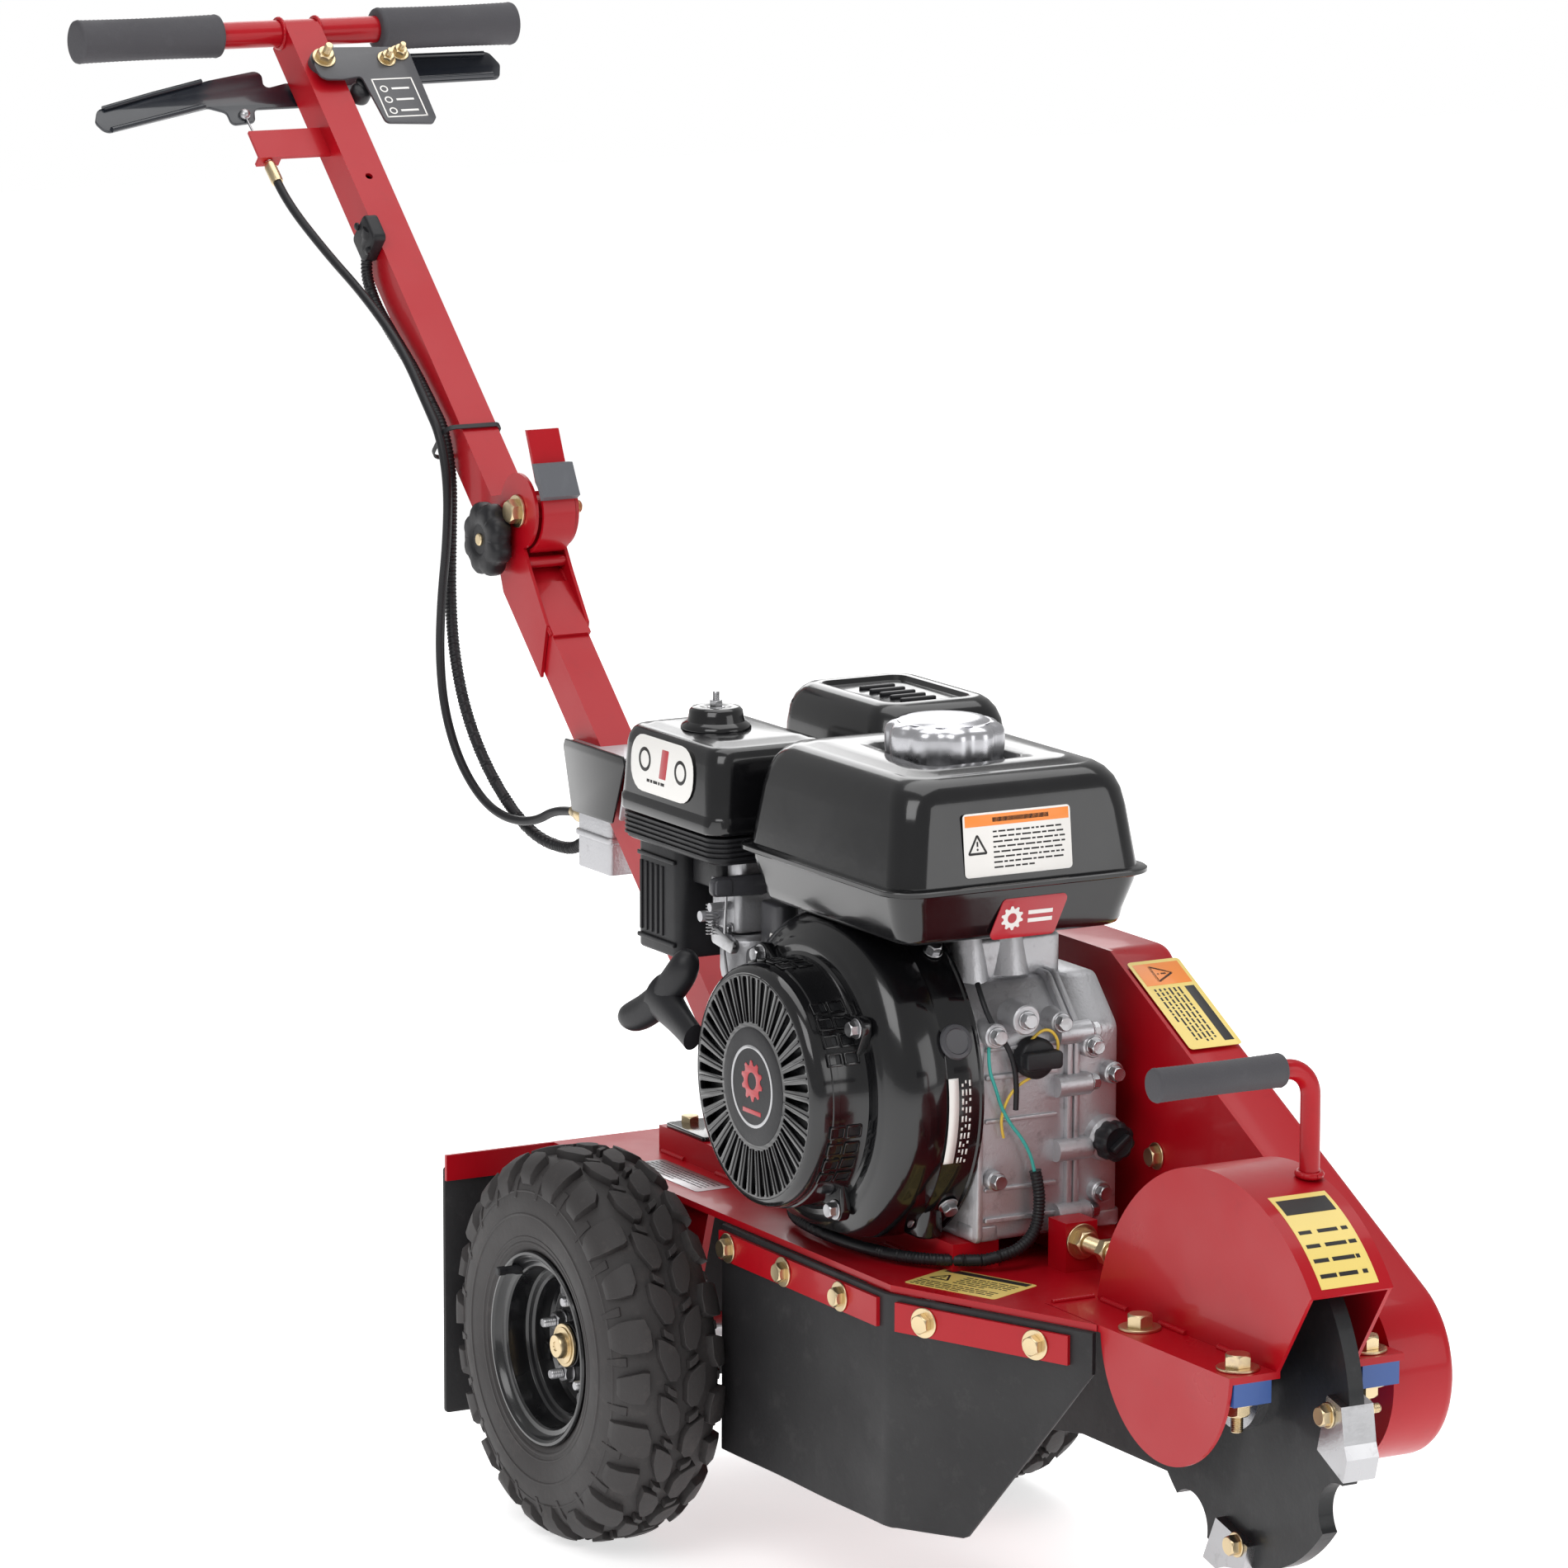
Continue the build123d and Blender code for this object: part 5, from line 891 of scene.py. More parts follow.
def triangle_mark(x, y, size):
    outer = rounded([(x - size, y - size * 0.8), (x + size, y - size * 0.8), (x, y + size)],
                    size * 0.14)
    inner = [(x - size * 0.68, y - size * 0.6), (x + size * 0.68, y - size * 0.6),
             (x, y + size * 0.62)]
    return [(INK, outer, (inner,)),
            (INK, bar(x - size * 0.08, y - size * 0.12, size * 0.16, size * 0.42), ()),
            (INK, ring_points(size * 0.1, 12, (x, y - size * 0.36)), ())]


def gear_mark(x, y, size, material=INK):
    outline = []
    for k in range(40):
        turn = 2 * pi * k / 40
        r = size * (1.0 if (k // 2) % 2 else 0.78)
        outline.append((x + r * cos(turn), y + r * sin(turn)))
    return [(material, outline, (ring_points(size * 0.42, 20, (x, y)),))]


badge = [(BADGE, rounded([(-4, -8), (6, -8), (10, 14), (0, 14)], 0.8), ()),
         (INK, ring_points(9, 28, (-26, 3)), (ring_points(6.4, 24, (-26, 3)),)),
         (INK, ring_points(9, 28, (28, 1)), (ring_points(6.4, 24, (28, 1)),))]
badge += text_bars(INK, -22, -13, 44, 1, 3, 2.2)
label("air_badge", at((air.x - 4, cover_low.y + 1.55, 590), (0, -1, 0.04)), 94, 42, 18,
      badge, "frame")

# ---------------- muffler and its guard
keep("muffler", STEEL, 0.8)
guard_low, guard_high = box("muffler_guard")
muff = (guard_low + guard_high) / 2
ML, MW = guard_high.x - guard_low.x, guard_high.y - guard_low.y
z0, z1 = guard_low.z, guard_high.z
shell = Shape().put(stepped(ML, MW, (muff.x, muff.y), [
    (z0 + 8, 24, 24, 12), (z0, 20, 20, 14), (z0, 1, 1, 20), (z0 + 6, 0, 0, 20),
    (z1 - 30, 3, 3, 21), (z1 - 17, 6, 6, 22), (z1 - 9, 12, 12, 22), (z1 - 3.5, 21, 21, 20),
    (z1 - 0.6, 32, 30, 16), (z1, 42, 40, 13), (z1 - 0.4, 48, 46, 11), (z1 - 4, 52, 50, 10),
    (z1 - 4.6, 58, 56, 9)]))
piece("muffler_shroud", shell, BLACK, "frame", ("muffler_guard",), sharp=40)
louvres = Shape()
for k in range(11):
    x = muff.x - ML / 2 + 20 + k * 11.4
    louvres.put(block(5.6, 14, 5, 2.4, 1.6),
                at((x, guard_low.y + 12, z1 - 13.4), (0, -0.72, 0.7), FRONT))
for k in range(5):
    louvres.put(block(5, 30, 3.4, 2.2, 1.2), at((muff.x - 30 + k * 15, muff.y + 2, z1 - 5.6)))
for k in range(8):
    for x, side in ((guard_high.x - 2.6, 1), (guard_low.x + 2.6, -1)):
        louvres.put(block(34, 4.6, 3.4, 2, 1.2),
                    at((x, guard_low.y + 20 + k * 9.4, z1 - 46), (side, 0, 0.06), UP))
piece("muffler_louvres", louvres, PLASTIC, "frame", sharp=40)

# ---------------- recoil starter and fan housing
recoil_low, _ = box("recoil_cover")
fan_low, fan_high = box("fan_housing")
FACE_Y = recoil_low.y
FAN_Y0, FAN_Y1 = fan_low.y, fan_high.y
FAN_R = (fan_high.x - fan_low.x) / 2
face_at = at((CRANK_X, FACE_Y, CRANK_Z), NEAR)


def spun(points, turn):
    """Outline turned about the origin by an angle in radians."""
    return [(x * cos(turn) - y * sin(turn), x * sin(turn) + y * cos(turn)) for x, y in points]


SLOT = [(46, 1.5), (60, 2.1), (77, 3.0), (79, 2.2), (79, -2.2), (77, -3.0), (60, -2.1), (46, -1.5)]
slots = [spun(SLOT, 2 * pi * k / 36) for k in range(36)]
cover = Shape()
cover.put(plate(ring_points(81, 96), 2.4, slots, edge=0.5),
          face_at @ lifted(-2.6))
depth = FAN_Y0 - FACE_Y
cover.put(lathe([(80.6, -2.6), (80.6, -0.5), (81.6, -0.1), (83.2, -0.6), (85.4, -2.2), (87.2, -5),
                 (88, -9), (88.1, -15), (89.2, -15.6), (89.4, -20), (88.4, -20.8),
                 (88.8, -depth + 4), (90.4, -depth + 1), (93, -depth), (93, -depth - 2),
                 (85, -depth - 2), (85, -10), (80.6, -5), (80.6, -2.6)], 120), face_at)
for k in range(36):
    turn = 2 * pi * (k + 0.5) / 36
    cover.put(block(33, 1.5, 1.1, 0.6, 0.4), face_at @ at((63 * cos(turn), 63 * sin(turn), -0.4),
                                                         UP, (cos(turn), sin(turn), 0)))
piece("recoil_shell", cover, BLACK, "frame", ("recoil_cover",), sharp=36)
hub = lathe([(0, 0.9), (33, 0.9), (40.5, 0.7), (42.6, 0.1), (43.2, -0.8), (43.2, -2.8),
             (0, -2.8)], 72)
piece("recoil_disc", Shape().put(hub, face_at), PLASTIC, "frame", sharp=40)
emblem = plate(ring_points(30, 56), 0.35, (ring_points(27.6, 56),), 0.1)
piece("recoil_emblem_ring", Shape().put(emblem, face_at @ lifted(0.75)), STEEL, "frame")
emblem = Shape()
for _, outline, holes in gear_mark(0, 4, 15):
    emblem.put(plate(outline, 0.4, holes, edge=0.1), face_at @ lifted(0.75))
emblem.put(plate(bar(-13, -20, 26, 3.2), 0.4, edge=0.1), face_at @ lifted(0.75))
piece("recoil_emblem_gear", emblem, BADGE, "frame")
backing = lathe([(0, -9), (79, -9), (84.4, -14), (84.4, -16), (0, -16)], 72)
piece("recoil_screen", Shape().put(backing, face_at), DISC_BLACK, "frame")

window_frame = plate(rounded(bar(-6.2, -5.2, 12.4, 10.4), 1.4), 1.6,
                     (rounded(bar(-4.6, -3.4, 9.2, 6.8), 1.0),), 0.35)
windows = Shape()
frames = Shape()
for base in (-38, 22, 82, 142, 202):
    for column in range(4):
        for row in range(2):
            turn = radians(base + column * 8.6)
            spot = face_at @ at((88.2 * cos(turn), 88.2 * sin(turn), -19.5 - row * 13.5),
                                (cos(turn), sin(turn), 0), UP)
            frames.put(window_frame, spot)
            windows.put(block(11, 9, 0.7, 1.2, 0.2), spot)
piece("recoil_window_frames", frames, BLACK, "frame", sharp=36)
piece("recoil_window_darks", windows, DISC_BLACK, "frame")

bosses = Shape()
screws = Shape()
LUG = rounded([(80, -20), (80, 20), (104, 7), (109, 0), (104, -7)], [1, 1, 5, 8, 5])
for turn in (radians(33), radians(123), radians(213), radians(303)):
    bosses.put(plate(spun(LUG, turn), 8, edge=1.2),
               face_at @ lifted(-depth - 1))
    screws.put(bolt(10, 6, 7.5, 1.4), face_at @ Matrix.Translation(
        (99 * cos(turn), 99 * sin(turn), -depth + 7)))
piece("recoil_lugs", bosses, BLACK, "frame", sharp=40)


def trimmed(shape, low_z, high_z):
    """The part of a shape between two heights, with the cut ends filled."""
    mesh = bpy.data.meshes.new("work")
    mesh.from_pydata(shape.verts, [], shape.faces)
    work = bmesh.new()
    work.from_mesh(mesh)
    bmesh.ops.remove_doubles(work, verts=work.verts, dist=0.001)
    for z, top in ((high_z, True), (low_z, False)):
        bmesh.ops.bisect_plane(work, geom=work.verts[:] + work.edges[:] + work.faces[:],
                               plane_co=(0, 0, z), plane_no=UP, clear_outer=top,
                               clear_inner=not top)
        cut = [e for e in work.edges if e.is_boundary and abs(e.verts[0].co.z - z) < 0.01]
        bmesh.ops.holes_fill(work, edges=cut)
    work.verts.index_update()
    made = Shape().put(([v.co.copy() for v in work.verts],
                        [[v.index for v in f.verts] for f in work.faces]))
    work.free()
    bpy.data.meshes.remove(mesh)
    return made


housing = Shape()
back, end = -depth, -depth - (FAN_Y1 - FAN_Y0)
housing.put(lathe([(r, back - d) for r, d in (
    (84, 0.5), (96, 0.5), (101, 1), (103, 2.8), (105.5, 4), (111, 6.4), (116, 10.6), (119.6, 16),
    (121.6, 23), (FAN_R, 30), (FAN_R, 44), (FAN_R - 0.8, 45), (FAN_R - 0.8, 46.6),
    (FAN_R, 47.6))] + [(FAN_R, end + 3), (FAN_R + 1.6, end + 2), (FAN_R + 1.6, end),
                       (FAN_R - 3, end), (FAN_R - 3, back - 26), (110, back - 10),
                       (84, back - 4), (84, back - 0.5)], 144), face_at)
piece("fan_shell", trimmed(housing, 284.5, tank_low.z - 2), BLACK, "frame", ("fan_housing",),
      sharp=40)
foot = Shape()
for dx in (-72, 72):
    foot.put(block(34, 20, 40, 8, 2), at((CRANK_X + dx, -62, 285.5)))
    screws.put(bolt(11, 6.5, 8.4, 1.6), at((CRANK_X + dx, -72.4, 300), NEAR))
piece("fan_feet", foot, BLACK, "frame", sharp=40)


def on_housing(degree, out, y):
    """Placement on the round fan housing, facing outwards."""
    c, s = cos(radians(degree)), sin(radians(degree))
    return at((CRANK_X + (FAN_R + out) * c, y, CRANK_Z + (FAN_R + out) * s), (c, 0, s))


for degree in (55, 150, -40):
    screws.put(bolt(10, 6, 7.4, 1.4), on_housing(degree, 1, -54))
piece("engine_screws", screws, STEEL, "frame", bevel=0.15)
plug = lathe([(0, 0), (13, 0), (13, 1.2), (12.2, 2.4), (9.6, 3.0), (8.8, 2.0), (0, 1.8)], 40)
piece("housing_plug", Shape().put(plug, on_housing(21, -0.5, -60)), GREY, "frame")


def band_patch(shape, first, last, y, width, lift=0.25):
    """Patch that lies on the round fan housing between two angles in degrees."""
    a, b, r = radians(first), radians(last), FAN_R + lift
    shape.put(([(CRANK_X + r * cos(t), w, CRANK_Z + r * sin(t)) for t, w in
                ((a, y), (a, y + width), (b, y + width), (b, y))], [(0, 1, 2, 3)]))


strip = Shape()
bars = Shape()
for k in range(30):
    band_patch(strip, -21 + k, -20 + k, -70, 8)
    for y, width in ((-59.5, 1.5), (-56.5, 1.2), (-53.5, 1.5)):
        if k % 3 != 2 and (k * 7 + int(-y)) % 5:
            band_patch(bars, -21 + k, -20 + k, y, width)
for obj in (piece("housing_strip_label", strip, WHITE, "frame", sharp=60),
            piece("housing_strip_marks", bars, WHITE, "frame", sharp=60)):
    thick = obj.modifiers.new("thickness", "SOLIDIFY")
    thick.thickness = 0.2 * MM
    thick.offset = 1

# ---------------- crankcase, cylinder and wiring
FRONT_X = CRANK_X + 110
CASE_SIDE = rounded([(-86, 284), (110, 284), (110, 432), (78, 466), (-46, 466), (-96, 400),
                     (-86, 360)], [4, 5, 14, 12, 10, 14, 8])
CASE_SIDE = [(CRANK_X + x, z) for x, z in CASE_SIDE]
FLANGE = [(x + (3.5 if x > CRANK_X else -3.5), z + (3.5 if z > 400 else 0)) for x, z in CASE_SIDE]


def side_plate(outline, y_near, thickness, holes=(), edge=1.0):
    """Plate square to Y between y_near and y_near + thickness, drawn in x and z."""
    matrix = Matrix(((1, 0, 0, 0), (0, 0, -1, y_near + thickness), (0, 1, 0, 0), (0, 0, 0, 1)))
    made = Shape().put(plate(outline, thickness, holes, edge), matrix)
    return made.verts, made.faces


engine = Shape()
engine.put(side_plate(CASE_SIDE, -38, 72, edge=3))
engine.put(side_plate(FLANGE, 33, 5, edge=1.4))
engine.put(side_plate(FLANGE, 39, 5, edge=1.4))
engine.put(side_plate(CASE_SIDE, 43, 36, edge=6))
engine.put(side_plate(FLANGE, -41, 5, edge=1.4))
RIBS = ((300, 4, 3.2), (322, 3, 2.0), (372, 3, 2.2), (404, 4, 3.0), (424, 3, 2.2))
for z, height, reach in RIBS:
    engine.put(block(60, height, reach + 3, 1.4, 0.8),
               at((FRONT_X - 3, -4, z), FRONT, FAR))
COVER_BOLTS_Z = (298, 345, 392, 430)
CASE_BOLTS = [(-31, 436, 9, 12), (-8, 446, 11, 15), (24, 440, 8, 10), (52, 420, 9, 9),
              (70, 398, 8, 8), (-28, 330, 7, 8), (60, 312, 8, 8)]
for y, z, r, out in CASE_BOLTS:
    engine.put(lathe([(0, -6), (r + 1.6, -6), (r, 1), (r, out - 1), (r - 1, out), (0, out)], 28),
               at((FRONT_X, y, z), FRONT))
for z in COVER_BOLTS_Z:
    engine.put(lathe([(0, -14), (8.2, -14), (8.2, 13), (7.4, 14), (0, 14)], 26),
               at((FRONT_X + 2, 38, z), FAR))
engine.put(lathe([(0, -8), (18, -8), (17, 0), (15.6, 6), (13, 8), (0, 8)], 36),
           at((FRONT_X, 66, 350), FRONT))
engine.put(block(186, 116, 7, 6, 1.4), at((CRANK_X + 12, 20, 284.2)))
FEET = [(-72, -30), (96, -30), (-72, 70), (96, 70)]
for dx, y in FEET:
    engine.put(block(30, 24, 12, 8, 2), at((CRANK_X + dx, y, 284.4)))
for y, dz in ((-20, 0), (12, 6)):
    engine.put(lathe([(0, 0), (17, 0), (15, 8), (12, 26), (10, 34), (0, 34)], 32),
               at((CRANK_X + 62, y, 462 + dz)))
engine.put(block(60, 74, 34, 8, 3), at((CRANK_X + 40, 18, 460)))
engine.put(lathe([(17, 0), (50, 0), (48, 4), (46, 17), (44, 19), (17, 19)], 56),
           at((CRANK_X, 80, CRANK_Z), FAR))
piece("engine_block", engine, ALU, "frame", ("crankcase",), sharp=36)
case_bolts = Shape()
for y, z, r, out in CASE_BOLTS:
    case_bolts.put(bolt(10, 5.5, 7, 1.3), at((FRONT_X + out, y, z), FRONT))
for z in COVER_BOLTS_Z:
    case_bolts.put(bolt(10, 6, 7, 1.3), at((FRONT_X + 2, 52.4, z), FAR))
piece("case_bolts", case_bolts, STEEL, "frame", bevel=0.15)
foot_bolts = Shape()
for dx, y in FEET:
    foot_bolts.put(bolt(13, 8, 10, 2), at((CRANK_X + dx, y, 296.4)))
piece("foot_bolts", foot_bolts, ZINC, "frame", bevel=0.2)
keep("cylinder", ALU, 0.5)
keep("valve_cover", ALU, 0.6)
keep("crankshaft", STEEL, 0.4)
keep("flywheel", ALU, 0.5)
keep("starter_reel", PLASTIC, 0.4)

_, dip_high = box("dipstick")


def dip_lobes(turn, radius, height):
    return -1.4 * (0.5 + 0.5 * cos(9 * turn)) ** 2 if radius > 12 else 0


filler = Shape()
filler.put(lathe([(0, -18), (7.8, -18), (7.8, 0), (13.6, 0), (14.6, 1.2), (14.8, 9), (13.6, 12.4),
                  (11, 13.6), (9.6, 12.6), (0, 12.4)], 72, dip_lobes),
           at((dip_high.x - 14, 66, 350), FRONT))
filler.put(block(17, 4.4, 6.5, 1.6, 1.2), at((dip_high.x - 2, 66, 350), FRONT, (0, 0.8, 0.6)))
piece("dipstick_cap", filler, PLASTIC, "oil_plug", ("dipstick",), sharp=40)

switch = Shape()
switch_at = at((FRONT_X + 1, 4, 416), FRONT, FAR)
switch.put(lathe([(0, 0), (15, 0), (15, 9), (13.6, 11), (12, 11.6), (0, 11.6)], 36), switch_at)
switch.put(block(30, 13, 9, 3, 1.5), switch_at @ at((0, 0, 11)))
piece("oil_switch", switch, PLASTIC, "frame", sharp=40)


def wire(name, start_x, points, radius, material, smoothness=14):
    """Thin wire or hose clipped along the engine, its x counted from start_x."""
    line = spline_points([(start_x + x, y, z) for x, y, z in points], smoothness)
    return piece(name, Shape().put(sweep(line, radius, 12)), material, "frame", sharp=60)


def small_loom(run):
    """Corrugated sleeve of the engine's own wiring."""
    return 4.3 + 0.4 * cos(run * 2 * pi / 2.6)


wire("wire_amber", FRONT_X, [
    (4, -2, 424), (12, 2, 436), (15, 12, 438), (14, 20, 426), (12, 16, 412), (9, 2, 404),
    (7, -14, 396), (5, -22, 380), (5, -23, 368), (4, -20, 360)], 1.1, AMBER)
wire("wire_teal", FRONT_X, [
    (3, -32, 430), (8, -36, 414), (9, -30, 398), (6, -24, 384), (6, -16, 370), (7, -6, 358),
    (8, 2, 342), (8, 4, 330)], 1.3, TEAL)
wire("wire_black", FRONT_X, [
    (-12, -33, 470), (2, -36, 456), (8, -30, 440), (9, -18, 424), (9, -12, 402), (7, -12, 380)],
     2.0, PLASTIC)
wire("engine_loom_front", FRONT_X, [
    (8, 4, 334), (9, 7, 320), (9, 7, 304), (11, 3, 292), (14, -6, 284), (14, -20, 277),
    (6, -38, 273)], small_loom, PLASTIC, 22)
wire("engine_loom_deck", FRONT_X, [
    (6, -36, 273), (-8, -56, 272), (-38, -80, 271), (-90, -92, 271), (-140, -92, 271),
    (-178, -88, 272), (-200, -76, 276), (-214, -60, 288)], small_loom, PLASTIC, 34)
wire("breather_hose", CRANK_X, [
    (-150, -92, 428), (-152, -96, 404), (-150, -100, 372), (-142, -102, 344), (-122, -100, 322),
    (-100, -94, 312), (-84, -86, 308)], 5.4, PLASTIC, 20)

# ---------------- carburettor and its levers
carb = middle("carburettor")


def on_carb(dx, dy, z, toward=UP):
    return at((carb.x + dx, carb.y + dy, z), toward)


parts = Shape()
parts.put(block(40, 42, 30, 6, 2.5), on_carb(0, 0, 474))
parts.put(block(40, 46, 8, 8, 1.5), on_carb(0, 0, 504))
parts.put(block(34, 30, 16, 5, 2), on_carb(0, 0, 511))
parts.put(lathe([(0, 0), (17, 0), (19.4, 2), (20.6, 8), (20.8, 30), (19.8, 31.4), (21, 33),
                 (21, 36), (0, 36)], 44), on_carb(0, 0, 436))
for dx, dy, z, r in ((-8, -36, 484, 4), (10, -38, 494, 3.2)):
    parts.put(lathe([(0, 0), (r, 0), (r, 18), (0, 18)], 20), on_carb(dx, dy, z, FAR))
piece("carb_body", parts, ALU, "frame", ("carburettor",), sharp=38)
bits = Shape()
bits.put(bolt(10, 5, 7, 1.2), on_carb(0, 0, 436, DOWN))
for dx in (-17, 17):
    bits.put(bolt(6, 3.4, 4.4, 0.8), on_carb(dx, -17, 512))
    bits.put(bolt(6, 3.4, 4.4, 0.8), on_carb(dx * 0.7, -21.4, 477, NEAR))
spring = [(carb.x - 2 + 4.4 * cos(k * 0.42), carb.y - 29 + 4.4 * sin(k * 0.42), 470 + k * 0.16)
          for k in range(150)]
bits.put(sweep(spring, 0.55, 8))
rod = ((14, -26, 512), (14, -28, 460), (20, -28, 440), (36, -26, 432))
bits.put(sweep(bend([(carb.x + dx, carb.y + dy, z) for dx, dy, z in rod], 6), 1.2, 10))
piece("carb_fittings", bits, STEEL, "frame", bevel=0.1)
choke_low, choke_high = box("choke_lever")
choke = Shape()
choke.put(plate(rounded([(choke_low.y, 505), (choke_low.y, 519), (choke_high.y - 9, 519),
                         (choke_high.y - 3, 516), (choke_high.y, 511), (choke_high.y - 3, 505),
                         (choke_high.y - 10, 503)], [5, 5, 2, 2, 3, 2, 2]), 6, edge=1.6),
          at((choke_low.x, 0, 0), FRONT, FAR))
choke.put(block(14, 12, 3, 3, 1), at((choke_high.x - 1, choke_low.y + 9, 512), FRONT, FAR))
piece("choke_tab", choke, GREY, "choke", ("choke_lever",), sharp=38)
tap_low, tap_high = box("fuel_valve")
tap = Shape().put(side_plate(rounded(
    [(tap_low.x, 478), (tap_low.x, 465), (tap_high.x - 4, 461), (tap_high.x, 466),
     (tap_high.x - 2, 471), (tap_low.x + 10, 477)], [4, 4, 3, 4, 3, 3]), tap_low.y, 6, edge=1.5))
piece("fuel_tap_handle", tap, STEEL, "fuel_tap", ("fuel_valve",), sharp=38)
panel = Shape()
panel.put(side_plate(rounded([(CRANK_X - 118, 404), (CRANK_X - 84, 396), (CRANK_X - 72, 452),
                              (CRANK_X - 96, 472), (CRANK_X - 118, 462)], 6), -100, 4, edge=1))
panel.put(block(30, 18, 54, 5, 2), at((CRANK_X - 96, -84, 446)))
piece("control_box", panel, GREY, "frame", sharp=38)
clip = Shape().put(block(16, 6, 9, 2, 1.2), at((CRANK_X - 102, -104, 418)))
piece("fuel_line_clip", clip, BADGE, "frame", sharp=38)
label("engine_tag", at((CRANK_X - 70, -101.5, 462), NEAR), 19, 40, 2,
      text_bars(INK, -7, 15, 14, 9, 3.6, 1.2), "frame")

# ---------------- starter grip
g_low = Vector((CRANK_X - 182, -164, 400))
g_high = Vector((CRANK_X - 103, -152, 462))
g_foot = Vector((CRANK_X - 92, -158, 408))
WIDE_Y = Vector(FAR)


def oval(centre, across, half_w, half_t):
    return [centre + across * (half_w * cos(a)) + WIDE_Y * (half_t * sin(a))
            for a in (2 * pi * j / 24 for j in range(24))]


handle = Shape()
normal = (g_high - g_low).cross(WIDE_Y).normalized()
rings = []
for k in range(25):
    t = k / 24
    end = sqrt(max(1 - (2 * t - 1) ** 8, 0.02))
    arch = normal * (9 * (2 * t - 1) ** 2 - 4)
    centre = g_low.lerp(g_high, t) + arch
    rings.append(oval(centre, normal, 12.6 * end, 11.4 * end))
handle.put(loft(rings))
start = (g_low + g_high) / 2
across = (g_foot - start).cross(WIDE_Y).normalized()
rings = []
for k in range(9):
    t = k / 8
    size = 12.5 - 5.0 * sin(pi * t / 2)
    rings.append(oval(start.lerp(g_foot, t), across, size * 1.5, size))
handle.put(loft(rings))
piece("starter_handle", handle, PLASTIC, "starter_grip", ("pull_grip",), sharp=50)


# ---------------- labels on the tank
warning = [(ORANGE, bar(-42.5, 13, 85, 8), ()), (INK, bar(-20, 15.4, 46, 3.2), ())]
warning += triangle_mark(-33, 0, 8.5)
warning += text_bars(INK, -20, 8, 60, 8, 3.6, 1.2)
label("tank_warning", at((tank_high.x - 9.6, -26, 579), (1, 0, 0.11), FAR), 88, 45, 3,
      warning, "frame")
shield = rounded([(-32, -15), (22, -15), (32, 15), (-22, 15)], 4)
emblem = Shape().put(plate(shield, 1.2, edge=0.4),
                     at((tank_high.x - 12.4, -15, 524), (1, 0, -0.17), FAR))
piece("tub_badge", emblem, BADGE, "frame")
marks = Shape()
marks_at = at((tank_high.x - 11.2, -15, 524), (1, 0, -0.17), FAR)
for _, outline, holes in gear_mark(-14, 0, 9):
    marks.put(plate(outline, 0.4, holes, edge=0.1), marks_at)
for y in (-4.4, 1.6):
    marks.put(plate(bar(-1, y, 20, 3), 0.4, edge=0.1), marks_at)
piece("tub_badge_marks", marks, WHITE, "frame")

# ---------------- deck, skirts and strips
keep("deck_frame", RED, 0.9)
keep("clamp_strips", RED, 0.6)
keep("cutter_guard", RED, 0.9)
keep("bearing_blocks", BLUE, 1.2)
DECK_Z = 264.0
welds = Shape()
for y in (-56, -18, 42, 80):
    x = -40
    while x < 380:
        welds.put(bead([(x, y, DECK_Z + 0.8), (x + 34, y, DECK_Z + 0.8)], 2.4))
        x += 84
for y0, y1 in ((-40, -6), (60, 98)):
    welds.put(bead([(498, y0, DECK_Z + 0.6), (498, y1, DECK_Z + 0.6)], 2.2))
for y in (-6.4, 60.4):
    for x in (510, 585, 660):
        welds.put(bead([(x, y, DECK_Z + 1.0), (x + 34, y, DECK_Z + 1.0)], 2.4))
for y in (-95, 95):
    for side in (-1, 1):
        welds.put(bead([(axle_centre.x + side * 20, y, 258.4),
                        (axle_centre.x + side * 62, y, 258.4)], 2.2))
piece("deck_welds", welds, RED, "frame", sharp=70)

# one sheet of rubber runs along the near side and round the chamfered corner
SKIRT_TOP, SKIRT_LOW = 258.6, 88.0
CORNER = Vector((399, -115))
RUN = Vector((0.925, 0.379))
OUT = Vector((0.379, -0.925))
RUN_LENGTH = 179.4
RISE_FROM = 71.8              # along the chamfer, where its rubber's lower edge starts to rise


def skirt_low(run):
    """Lower edge of the chamfer's rubber at a distance along it."""
    if run < RISE_FROM:
        return SKIRT_LOW + 4 * max(run, 0) / RISE_FROM
    return SKIRT_LOW + 4 + (run - RISE_FROM) * 136.6 / (RUN_LENGTH - RISE_FROM)


CORNER_R, CORNER_TURN = 30, radians(22.3)
path = [(Vector((162 + 4.3 * k, CORNER.y)), Vector((0, -1)), SKIRT_LOW) for k in range(53)]
for k in range(9):
    turn = CORNER_TURN * k / 8
    spot = Vector((393 + CORNER_R * sin(turn), CORNER.y + CORNER_R * (1 - cos(turn))))
    path.append((spot, Vector((sin(turn), -cos(turn))), SKIRT_LOW))
shift = path[-1][0] - CORNER - RUN * 6.0
for k in range(1, 45):
    run = 6 + (RUN_LENGTH - 6) * k / 44
    path.append((CORNER + RUN * run + shift * max(1 - k / 6, 0), OUT, skirt_low(run)))
rings = []
for spot, out, low in path:
    ripple = 0.5 * sin(spot.x * 0.045)
    ring = []
    for z, side in ((low, 1.2), (low + 0.8, 2.0), (SKIRT_TOP - 0.8, 2.0), (SKIRT_TOP, 1.2),
                    (SKIRT_TOP, -1.2), (SKIRT_TOP - 0.8, -2.0), (low + 0.8, -2.0), (low, -1.2)):
        bow = ripple * (SKIRT_TOP - z) / 170 if z < 230 else 0
        ring.append((spot.x + out.x * (side + bow), spot.y + out.y * (side + bow), z))
    rings.append(ring)
skirt = Shape().put(loft(rings))
